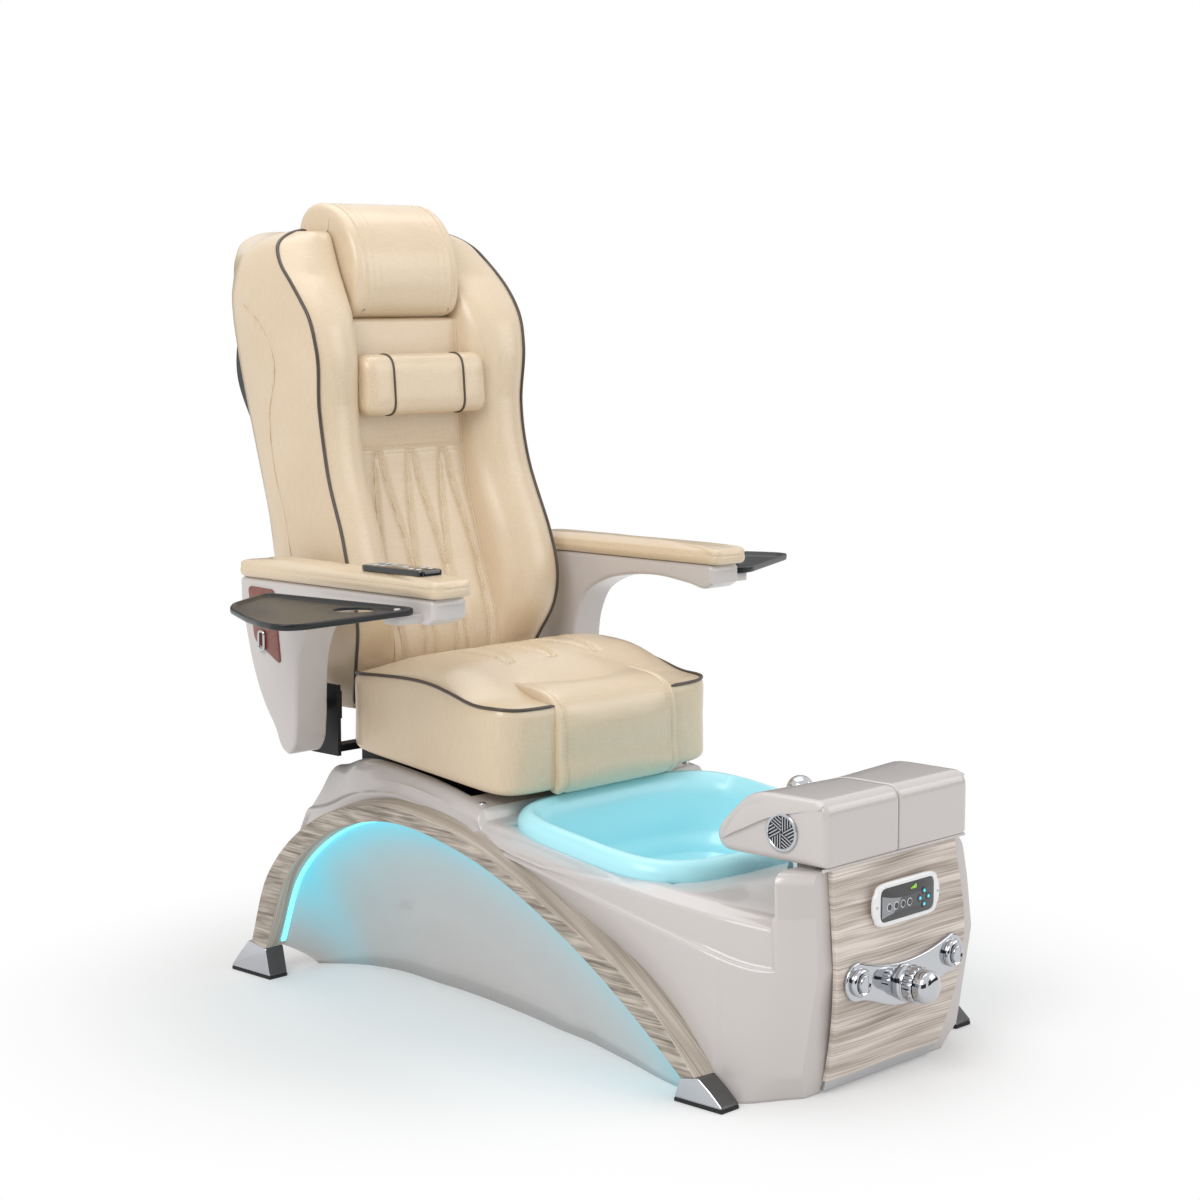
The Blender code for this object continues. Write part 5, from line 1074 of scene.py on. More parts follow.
@dataclass
class SeatCushion:
    """Boxed seat with a piped top edge, a sewn fan and a waterfall panel over its front."""

    half: float = 0.2815
    front_y: float = -0.0535
    rear_y: float = 0.383
    bottom_front_z: float = 0.4225
    bottom_rise: float = 0.045
    piping_z: tuple = ((-0.058, 0.576), (-0.037, 0.580), (0.037, 0.584), (0.09, 0.596), (0.136, 0.605),
                       (0.271, 0.609), (0.386, 0.604))
    crown: float = 0.040
    rear_dip: float = 0.030
    squareness: float = 10.0
    panel_half: float = 0.157
    panel_border: float = 0.017
    panel_path: tuple = ((0.080, 0.6095), (0.050, 0.6085), (0.017, 0.606), (-0.018, 0.600), (-0.043, 0.589),
                         (-0.058, 0.571), (-0.0645, 0.545), (-0.066, 0.49), (-0.065, 0.427),
                         (-0.055, 0.4185), (-0.035, 0.421))
    panel_rear: tuple = (0.026, 0.050)
    panel_sunk: float = 0.026
    piping_radius: float = 0.0032
    columns: int = 192
    side_rows: int = 20
    top_rows: int = 30
    reach: float = 0.009
    fan: tuple = (0.105, 0.26, 0.375, 0.088)
    fan_stretch: float = 1.25
    sewn_depth: float = 0.0045
    sewn_width: float = 0.0065
    panel_rows: int = 84
    panel_free: tuple = (8, 74)
    under_rings: tuple = ((0.10, 0.0), (0.05, 0.0), (0.018, 0.0), (0.008, 0.01), (0.002, 0.045))

    @property
    def piping_row(self) -> int:
        """Row of the piped edge, the first one of the top."""
        return len(self.under_rings) + self.side_rows

    def ring(self, inset: float, squareness: float) -> Array:
        """Plan outline moved inwards, evenly stepped from +X round to the rear.

        Args:
            inset: How far inwards.
            squareness: Power of the outline.

        Returns:
            The ring's points, as (x, y).
        """
        half_y = (self.rear_y - self.front_y) / 2.0
        outline = ellipse(self.half - inset, half_y - inset, squareness, 4 * self.columns)
        return resampled(outline, self.columns) + np.array([0.0, (self.rear_y + self.front_y) / 2.0])

    def crown_height(self, y: Array) -> Array:
        """Rise of the top over the piping along the seat."""
        share = (y - self.front_y) / (self.rear_y - self.front_y)
        return self.crown * ease((share - 0.05) * 2.6) - self.rear_dip * ease((share - 0.6) / 0.4)

    def points(self) -> Array:
        """Rings from the underside up the walls to the piping, then inwards over the crowned top.

        Returns:
            The lattice, (rows, columns, 3).
        """
        half_y = (self.rear_y - self.front_y) / 2.0
        rings = []
        for inset, share in self.under_rings:
            rings.append((self.ring(inset, self.squareness), share))
        for share in np.linspace(0.10, 0.985, self.side_rows):
            pull = 0.004 * np.exp(-(((1.0 - share) / 0.03) ** 2))
            rings.append((self.ring(pull, self.squareness), share))
        walls = []
        for outline, share in rings:
            low = self.bottom_front_z + self.bottom_rise * (outline[:, 1] - self.front_y) / (2.0 * half_y)
            high = curve(self.piping_z, outline[:, 1])
            walls.append(np.column_stack([outline, low + (high - low) * share]))
        tops = []
        for inset in np.concatenate([[0.0035], np.linspace(0.009, half_y - 0.004, self.top_rows)]):
            edge = 1.0 - inset / half_y
            outline = self.ring(inset, 3.0 + (self.squareness - 3.0) * edge)
            y = outline[:, 1]
            height = curve(self.piping_z, y) + self.crown_height(y) * (1.0 - edge**7)
            tops.append(np.column_stack([outline, height]))
        return np.array(walls + tops)

    def build(self) -> None:
        """Cushion, piping, stitching and front panel."""
        points = self.points()
        normal = net_normals(points)
        cushion = lattice("seat_cushion_cover", points, lids=Lid.ZIP, sharp=SOFT_EDGE)
        x, y, _ = np.moveaxis(points, -1, 0)
        rows = np.arange(len(points))[:, None]
        front_panel = (np.abs(x) < self.panel_half - 0.006) & (y < 0.1)
        fan = [line * np.array([self.fan_stretch, 1.0]) for line in pleat_lines(*self.fan)]
        sewn = distance_to(fan, x, y)
        on_top = rows > self.piping_row + 2
        seam = np.abs(np.abs(x) - self.panel_half) < 0.005
        piped = (np.abs(rows - self.piping_row) < 2) & ~front_panel
        held = (rows < len(self.under_rings)) | piped | (seam & (y < 0.07)) | (on_top & (sewn < 0.004))
        puff(cushion, held.ravel(), self.reach)
        points = mesh_points(cushion.data).reshape(points.shape)
        sink = self.sewn_depth * np.exp(-((sewn / self.sewn_width) ** 2)) * on_top
        points = points - normal * sink[..., None]
        set_points(cushion.data, points.reshape(-1, 3))
        subdivide(cushion)
        settle(cushion, LEATHERETTE, "seat", "leatherette", "seat_cushion")
        self.trim(points, normal, fan)
        self.build_panel()

    def panel_points(self, columns: Array, lift: Array, rows: int) -> Array:
        """Places on the waterfall panel: its path over the seat's front, carried across X and raised by lift.

        The path starts farther forward in the middle, by a parabola of X, and dips into the seat there.

        Args:
            columns: X of each column.
            lift: Height over the path for each column.
            rows: Number of rows along the path.

        Returns:
            The points, (rows, columns, 3).
        """
        path = trace(self.panel_path, 300)
        along = lengths(path)
        slope = np.gradient(path, axis=0)
        normal = np.column_stack([slope[:, 1], -slope[:, 0]]) / np.linalg.norm(slope, axis=1, keepdims=True)
        setback, bow = self.panel_rear
        start = self.panel_path[0][0] - setback - bow * (columns / self.panel_half) ** 2
        start = np.maximum(start, 0.0)
        where = start + (along[-1] - start) * np.linspace(0.0, 1.0, rows)[:, None]
        y, z, across, up = (np.interp(where, along, values) for values in (*path.T, *normal.T))
        raised = lift - 0.020 * (1.0 - ease((where - start) / 0.022 + 0.05))
        return np.dstack([np.broadcast_to(columns, where.shape), y + across * raised, z + up * raised])

    def build_panel(self) -> None:
        """Waterfall panel: a crowned middle between two rolled borders, and its stitching."""
        seam = self.panel_half - self.panel_border
        edge = ((self.panel_half, -self.panel_sunk), (self.panel_half, -0.006),
                (self.panel_half - 0.001, -0.0025), (self.panel_half - 0.004, 0.0005),
                (self.panel_half - 0.009, 0.0015), (seam + 0.003, 0.0),
                (seam + 0.001, -0.0022), (seam - 0.001, -0.0022), (seam - 0.004, -0.0002),
                (seam - 0.010, 0.0008))
        inner = [(x, 0.0012) for x in np.linspace(seam - 0.022, 0.0, 8)]
        half = np.array([*edge, *inner])
        across = np.vstack([half * np.array([-1.0, 1.0]), half[-2::-1]])
        under = np.column_stack([np.linspace(0.9, -0.9, 9) * self.panel_half, np.full(9, -self.panel_sunk)])
        ring = np.vstack([across, under])
        points = self.panel_points(ring[:, 0], ring[:, 1], self.panel_rows)
        panel = lattice("seat_waterfall_panel", points, sharp=SOFT_EDGE)
        middle = (np.abs(ring[:, 0]) < seam - 0.008) & (ring[:, 1] > 0.0)
        row = np.arange(self.panel_rows)[:, None]
        free = middle[None] & (row > self.panel_free[0]) & (row < self.panel_free[1])
        puff(panel, ~free.ravel(), 0.004)
        subdivide(panel)
        settle(panel, LEATHERETTE, "seat", "leatherette")
        lines = self.panel_points(np.array([-seam - 0.0055, -seam + 0.0065, seam - 0.0065, seam + 0.0055]),
                                  np.full(4, 0.0012), 120)
        routes = [lines[14:104, k] for k in range(4)]
        settle(stitches("seat_panel_stitching", routes, [np.array([0.0, -0.7, 0.7])] * 4), THREAD, "seat",
               "leatherette")

    def trim(self, points: Array, normal: Array, fan: Sequence) -> None:
        """Piping along the top edge up to the panel, and the fan's stitching and raised seams.

        Args:
            points: The finished cushion's lattice.
            normal: Its normals.
            fan: The fan's (x, y) routes.
        """
        ring = points[self.piping_row] + 0.0015 * normal[self.piping_row]
        for side in Side:
            way = ring[:, 0] * side.value
            chosen = (way > self.panel_half - 0.002) & (ring[:, 1] < self.rear_y - 0.012)
            front_first = np.argsort(np.arctan2(ring[:, 1] - 0.16, way))
            route = ring[front_first][chosen[front_first]]
            route = trace(route[::2], 120)
            cord = tube("seat_piping_" + side.word, route, self.piping_radius, (0.0, 0.0, 1.0))
            settle(cord, PIPING, "seat", "leatherette")
        routes, ups = [], []
        for line in fan:
            for gap in (-0.006, 0.006):
                inside = line[(line[:, 1] < 0.345)]
                routes.append(self.on_top(points, inside[:, 0] + gap, inside[:, 1]))
                ups.append(np.array([0.0, 0.0, 1.0]))
        settle(stitches("seat_stitching", routes, ups), THREAD, "seat", "leatherette")
        raised = [self.on_top(points, line[:, 0], line[:, 1])[line[:, 1] < 0.34] for line in fan]
        settle(welt("seat_raised_seams", raised, (0.0, 0.0, 1.0), 0.0016), LEATHERETTE, "seat", "leatherette")

    def on_top(self, points: Array, x: Array, y: Array) -> Array:
        """Places on the top of the seat above (x, y): the height of the nearest lattice point.

        Args:
            points: The cushion's lattice.
            x: Sideways places.
            y: Places along the seat, as many.

        Returns:
            The points, one row each.
        """
        top = points[self.piping_row + 3:].reshape(-1, 3)
        apart = (top[None, :, 0] - x[:, None]) ** 2 + (top[None, :, 1] - y[:, None]) ** 2
        return np.column_stack([x, y, top[np.argmin(apart, axis=1), 2]])


@dataclass
class BackCushion:
    """Tall back with two piped bolsters, a pleated panel between them and a stitched line on each side."""

    bottom_z: float = 0.520
    top_z: float = 1.428
    shelf_z: float = 1.2625
    panel_half: float = 0.138
    crest: float = 0.016
    recess_y: float = 0.6225
    start_in: float = 0.004
    reach: float = 0.009
    piping_radius: float = 0.0034
    panel_seam_z: float = 1.008
    piping_half: tuple = ((0.50, 0.215), (0.623, 0.243), (0.686, 0.261), (0.778, 0.273), (0.90, 0.269),
                          (1.045, 0.265), (1.15, 0.269), (1.268, 0.277), (1.33, 0.279), (1.379, 0.268),
                          (1.415, 0.234), (1.43, 0.190))
    piping_y: tuple = ((0.50, 0.430), (0.623, 0.387), (0.686, 0.361), (0.731, 0.357), (0.831, 0.380),
                       (0.976, 0.435), (1.091, 0.456), (1.206, 0.455), (1.268, 0.472), (1.325, 0.514),
                       (1.379, 0.566), (1.43, 0.605))
    panel_y: tuple = ((0.50, 0.432), (0.609, 0.392), (0.80, 0.440), (0.99, 0.491), (1.03, 0.495),
                      (1.24, 0.511), (1.267, 0.513), (1.43, 0.560))
    side_y: tuple = ((0.515, 0.530), (0.60, 0.562), (0.878, 0.628), (1.068, 0.687), (1.20, 0.714),
                     (1.325, 0.717), (1.40, 0.688), (1.43, 0.655))
    side_seam: tuple = ((0.62, 0.49), (0.75, 0.512), (0.881, 0.550), (0.974, 0.586), (1.07, 0.596),
                        (1.194, 0.575), (1.259, 0.616), (1.30, 0.672))
    panel_columns: int = 24
    bolster_columns: int = 22
    side_columns: int = 26
    rear_columns: int = 10
    pleat_shape: tuple = (0.79, 0.585, 0.086)
    top_draw: tuple = (0.99, 0.965, 0.92, 0.86, 0.78)

    @property
    def piping_column(self) -> int:
        """Column of the piping on the left half."""
        return self.panel_columns + self.bolster_columns - 1

    def levels(self) -> Array:
        """Heights of the sections, close together at the headrest's shelf and the top.

        Returns:
            The heights, in rising order.
        """
        low = np.linspace(self.bottom_z, self.shelf_z, 92)
        high = np.linspace(self.shelf_z + 0.004, self.top_z - 0.02, 14)
        top = self.top_z - 0.02 * (1.0 - np.sin(np.linspace(0.25, 1.0, 5) * math.pi / 2.0))
        return np.concatenate([low, high, top])

    def section(self, z: float) -> Array:
        """Half section at one height: panel, bolster, piping, side and rear, as (x, y).

        Args:
            z: The height.

        Returns:
            The (x, y) points from the middle of the front round to the middle of the rear.
        """
        out = self.start_in
        piping_x = float(curve(self.piping_half, z)) - out * 0.5
        piping_y = float(curve(self.piping_y, z)) + out * 0.5
        panel_y = float(curve(self.panel_y, z)) + out
        rear_y = back_plane(z)
        side_y = float(curve(self.side_y, z))
        recess = z > self.shelf_z + 0.001
        half = self.panel_half if recess else min(self.panel_half, 0.62 * piping_x)
        edge_y = min(panel_y, rear_y - 0.05)
        crest = self.crest * float(ease((self.top_z - z) / 0.10) * ease((z - 0.61) / 0.12)) - out
        crest_y = min(edge_y, piping_y) - crest
        panel_x = np.linspace(0.0, half, self.panel_columns)
        inner_y = min(self.recess_y, rear_y - 0.03) if recess else panel_y
        panel = np.column_stack([panel_x, np.full(self.panel_columns, inner_y)])
        wide = piping_x - half
        bolster = trace([(half + 0.001, edge_y), (half + 0.10 * wide, 0.55 * edge_y + 0.45 * crest_y - 0.002),
                         (half + 0.30 * wide, 0.15 * edge_y + 0.85 * crest_y), (half + 0.55 * wide, crest_y),
                         (half + 0.85 * wide, 0.55 * crest_y + 0.45 * piping_y - 0.003),
                         (piping_x, piping_y)],
                        self.bolster_columns)
        corner_y = max(side_y, piping_y + 0.03)
        sides = trace([(piping_x + 0.0012, piping_y + 0.004),
                       (piping_x + 0.003, 0.65 * piping_y + 0.35 * corner_y),
                       (piping_x + 0.001, corner_y - 0.034), (piping_x - 0.012, corner_y - 0.008),
                       (piping_x - 0.034, max(rear_y - 0.0005, corner_y))], self.side_columns)
        rear = np.column_stack([np.linspace(piping_x - 0.05, 0.0, self.rear_columns),
                                np.full(self.rear_columns, max(rear_y - 0.0005, corner_y))])
        return np.vstack([panel, bolster, sides, rear])

    def points(self) -> Array:
        """All sections, the left half mirrored to the right, drawn together at the top.

        Returns:
            The lattice, (rows, columns, 3).
        """
        levels = self.levels()
        halves = np.array([self.section(z) for z in levels])
        draw = np.concatenate([np.ones(len(levels) - len(self.top_draw)), self.top_draw])
        middle_y = halves[:, :, 1].mean(axis=1, keepdims=True)
        halves[:, :, 1] = middle_y + (halves[:, :, 1] - middle_y) * draw[:, None]
        z = np.broadcast_to(levels[:, None], halves.shape[:2])
        left = np.dstack([halves, z])
        right = left[:, -2:0:-1] * np.array([-1.0, 1.0, 1.0])
        return np.concatenate([left, right], axis=1)

    def build(self) -> None:
        """Cushion, pleats, piping and stitching."""
        points = self.points()
        cushion = lattice("back_cushion_cover", points, lids=Lid.ZIP, sharp=SOFT_EDGE)
        x, y, z = np.moveaxis(points, -1, 0)
        column = np.arange(points.shape[1])
        column = np.minimum(column, points.shape[1] - column)[None]
        piping = self.piping_column
        pleats = pleat_lines(self.panel_seam_z - 0.004, *self.pleat_shape)
        sewn = np.where(column < self.panel_columns, distance_to(pleats, x, z), 1.0)
        front = column <= piping
        seams = (np.abs(z - self.panel_seam_z) < 0.005) & (column < self.panel_columns)
        held = (column > piping + self.side_columns - 6) | (np.abs(column - piping) < 2)
        held = held | seams | (sewn < 0.004) | (np.abs(column - self.panel_columns + 0.5) < 1.0)
        held = held | (z > self.top_z - 0.002) | (z < self.bottom_z + 0.004)
        held = held | ((z > self.shelf_z - 0.004) & (column < self.panel_columns + 3))
        puff(cushion, held.ravel(), self.reach)
        points = mesh_points(cushion.data).reshape(points.shape)
        sink = 0.0050 * np.exp(-((sewn / 0.0060) ** 2))
        across = np.abs(z - self.panel_seam_z) + 1.0 * (column >= self.panel_columns)
        sink = sink + 0.004 * np.exp(-((across / 0.005) ** 2))
        points[..., 1] += np.where(front, sink, 0.0)
        on_side = (column > piping + 2) & (column < piping + self.side_columns)
        seam_y = curve(self.side_seam, z)
        line = np.abs(y - seam_y) + 1.0 * ~on_side + 1.0 * ((z > 1.30) | (z < 0.62))
        points[..., 0] -= np.sign(x) * 0.0022 * np.exp(-((line / 0.005) ** 2))
        set_points(cushion.data, points.reshape(-1, 3))
        subdivide(cushion)
        settle(cushion, LEATHERETTE, "back", "leatherette", "back_cushion")
        self.build_piping(points)
        self.build_stitching(points, pleats)
        self.build_seams(points, pleats)

    def on_panel(self, points: Array, x: Array, z: Array) -> Array:
        """Places on the panel at (x, z): the depth of the nearest lattice point in the nearest row.

        Args:
            points: The cushion's lattice.
            x: Sideways places.
            z: Heights, as many.

        Returns:
            The points, one row each.
        """
        row = nearest_rows(points, z)
        apart = np.abs(x)[:, None] - points[:, :self.panel_columns, 0][row]
        return np.column_stack([x, points[row, np.argmin(np.abs(apart), axis=1), 1], z])

    def side_line(self, points: Array, side: Side) -> Array:
        """Route of the stitched line on one side, just proud of the cover.

        Args:
            points: The finished cushion's lattice.
            side: Which side.

        Returns:
            The points, one row each.
        """
        heights = np.linspace(0.63, 1.29, 90)
        seam = curve(self.side_seam, heights)
        columns = np.arange(self.piping_column + 2, self.piping_column + self.side_columns)
        columns = columns if side is Side.LEFT else points.shape[1] - columns
        block = points[nearest_rows(points, heights)][:, columns]
        nearest = np.argmin(np.abs(block[..., 1] - seam[:, None]), axis=1)
        x = block[np.arange(len(heights)), nearest, 0]
        return np.column_stack([x + 0.0012 * side.value, seam, heights])

    def build_piping(self, points: Array) -> None:
        """Piping up the edge of each bolster and a little way in over its top.

        Args:
            points: The finished cushion's lattice.
        """
        last = len(points) - len(self.top_draw) + 1
        for side in Side:
            column = self.piping_column if side is Side.LEFT else points.shape[1] - self.piping_column
            route = points[2:last, column] + np.array([0.0008 * side.value, -0.0010, 0.0])
            end = side.place([(0.176, 0.609, self.top_z + 0.001), (0.158, 0.614, self.top_z + 0.0015)])
            cord = tube("back_piping_" + side.word, trace(np.vstack([route[::3], end]), 220),
                        self.piping_radius, BACK_FRONT)
            settle(cord, PIPING, "back", "leatherette")

    def build_stitching(self, points: Array, pleats: Sequence) -> None:
        """Stitching beside the pleats and the panel's cross seam, and along the side lines.

        Args:
            points: The finished cushion's lattice.
            pleats: The pleats' (x, height) routes.
        """
        routes = []
        for route in pleats:
            for gap in (-0.0055, 0.0055):
                inside = np.abs(route[:, 0] + gap) < self.panel_half - 0.004
                routes.append(self.on_panel(points, route[inside, 0] + gap, route[inside, 1]))
        for gap in (0.007, -0.007):
            x = np.linspace(-self.panel_half + 0.006, self.panel_half - 0.006, 60)
            routes.append(self.on_panel(points, x, np.full(60, self.panel_seam_z + gap)))
        ups = [BACK_FRONT] * len(routes)
        for side in Side:
            routes.append(self.side_line(points, side))
            ups.append((side.value, 0.0, 0.0))
        settle(stitches("back_stitching", routes, ups), THREAD, "back", "leatherette")

    def build_seams(self, points: Array, pleats: Sequence) -> None:
        """Raised seams along the pleats, the panel's edges and cross seam, and along the side lines.

        Args:
            points: The finished cushion's lattice.
            pleats: The pleats' (x, height) routes.
        """
        raised = []
        for route in pleats:
            inside = np.abs(route[:, 0]) < self.panel_half - 0.004
            line = self.on_panel(points, route[inside, 0], route[inside, 1])
            raised.append(line - np.array([0.0, 0.0006, 0.0]))
        edge_z = np.linspace(0.60, self.shelf_z - 0.004, 90)
        for side in Side:
            column = self.panel_columns - 1
            column = column if side is Side.LEFT else points.shape[1] - column
            edge = points[nearest_rows(points, edge_z), column]
            raised.append(edge - np.array([0.0, 0.0006, 0.0]))
        wide = np.linspace(-self.panel_half + 0.002, self.panel_half - 0.002, 60)
        line = self.on_panel(points, wide, np.full(60, self.panel_seam_z))
        raised.append(line - np.array([0.0, 0.0004, 0.0]))
        settle(welt("back_raised_seams", raised, BACK_FRONT), LEATHERETTE, "back", "leatherette")
        sides = [self.side_line(points, side) for side in Side]
        settle(welt("back_side_seams", sides, (1.0, 0.0, 0.0), 0.0016), LEATHERETTE, "back", "leatherette")


@dataclass
class Headrest:
    """Rolled head cushion over the top of the back, with a double stitched seam along each front edge."""

    half: float = 0.1345
    profile: tuple = ((0.6195, 1.266), (0.528, 1.2645), (0.506, 1.276), (0.4965, 1.296), (0.4935, 1.325),
                      (0.4945, 1.360), (0.502, 1.394), (0.516, 1.424), (0.537, 1.450), (0.566, 1.471),
                      (0.598, 1.4815), (0.628, 1.481), (0.651, 1.470), (0.666, 1.450), (0.671, 1.424),
                      (0.664, 1.406), (0.6215, 1.404))
    edge: float = 0.015
    reach: float = 0.006

    def build(self) -> None:
        """Cushion and its seams."""
        ring = np.array(self.profile)
        smooth = trace(ring, 132)
        rear = rounded(np.array([smooth[-1], (0.6205, 1.36), smooth[0]]), 0.01, 8, closed=False)
        outline = resampled(np.vstack([smooth, rear]), 116)
        points = padded_block(outline, -self.half, self.half, Axis.X, self.edge, 26, cheek_rings=0)
        cushion = lattice("headrest_cover", points, lids=Lid.FLAT, sharp=SOFT_EDGE)
        x, y, z = np.moveaxis(points, -1, 0)
        seam = np.abs(np.abs(x) - (self.half - self.edge * 0.4)) < 0.003
        held = (y > 0.615) & (z < 1.44) | (z < 1.268) | seam | (np.abs(x) > self.half - 0.001)
        puff(cushion, held.ravel(), self.reach)
        points = mesh_points(cushion.data).reshape(points.shape)
        settle(cushion, LEATHERETTE, "back", "leatherette", "headrest")
        routes, ups = [], []
        front = (points[len(points) // 2, :, 1] < 0.60) & (points[len(points) // 2, :, 2] > 1.268)
        normal = net_normals(points)
        for row in (8, 10, len(points) - 9, len(points) - 11):
            routes.append(points[row, front])
            ups.append(normal[row, front])
        welts = [points[row, front] for row in (6, len(points) - 7)]
        settle(welt("headrest_welts", welts, (0.0, -0.6, 0.8)), LEATHERETTE, "back", "leatherette")
        settle(stitches("headrest_stitching", routes, ups), THREAD, "back", "leatherette")


@dataclass
class NeckPillow:
    """Neck roll with a brown band near each end."""

    half: float = 0.1560
    middle: tuple = (0.4675, 1.135)
    half_depth: float = 0.0285
    half_height: float = 0.0585
    corner: float = 0.026
    lean: float = 0.075
    edge: float = 0.022
    band_x: float = 0.088
    reach: float = 0.004

    def build(self) -> None:
        """Pillow, bands and end seams."""
        outline = resampled(box_outline(self.half_depth, self.half_height, self.corner, 10), 84)
        outline[:, 0] += self.lean * outline[:, 1]
        outline = outline + np.array(self.middle)
        points = padded_block(outline, -self.half, self.half, Axis.X, self.edge, 30, 0.001)
        pillow = lattice("neck_pillow_cover", points, lids=Lid.FLAT, sharp=SOFT_EDGE)
        x, y, _ = np.moveaxis(points, -1, 0)
        band = np.abs(np.abs(x) - self.band_x)
        held = (band < 0.004) | (y > self.middle[0] + self.half_depth - 0.004)
        puff(pillow, held.ravel(), self.reach)
        points = mesh_points(pillow.data).reshape(points.shape)
        normal = net_normals(points)
        points = points - normal * (0.0025 * np.exp(-((band / 0.005) ** 2)))[..., None]
        set_points(pillow.data, points.reshape(-1, 3))
        subdivide(pillow)
        settle(pillow, LEATHERETTE, "pillow", "leatherette", "neck_pillow")
        routes, ups = [], []
        for side in Side:
            row = int(np.argmin(np.abs(points[:, 0, 0] - side.value * self.band_x)))
            ring = points[row]
            start = int(np.argmax(ring[:, 1]))
            ring = np.roll(ring, -start, axis=0)[6:-6]
            outside = ring - np.array([ring[0, 0], *self.middle])
            proud = 0.0008 * outside / np.linalg.norm(outside, axis=1, keepdims=True)
            ahead = outside[np.linspace(0, len(outside) - 1, 90).astype(int)]
            cord = tube("pillow_band_" + side.word, trace(ring + proud, 90), 0.0026, ahead)
            settle(cord, PIPING, "pillow", "leatherette")
            for gap in (self.half - 0.012, self.half - 0.018):
                seam_row = int(np.argmin(np.abs(points[:, 0, 0] - side.value * gap)))
                first = int(np.argmax(points[seam_row, :, 1]))
                around = np.roll(np.arange(points.shape[1]), -first)
                around = around[points[seam_row, around, 1] < self.middle[0] + 0.4 * self.half_depth]
                routes.append(points[seam_row, around])
                ups.append(normal[seam_row, around])
        settle(stitches("pillow_stitching", routes, ups), THREAD, "pillow", "leatherette")


# Arms


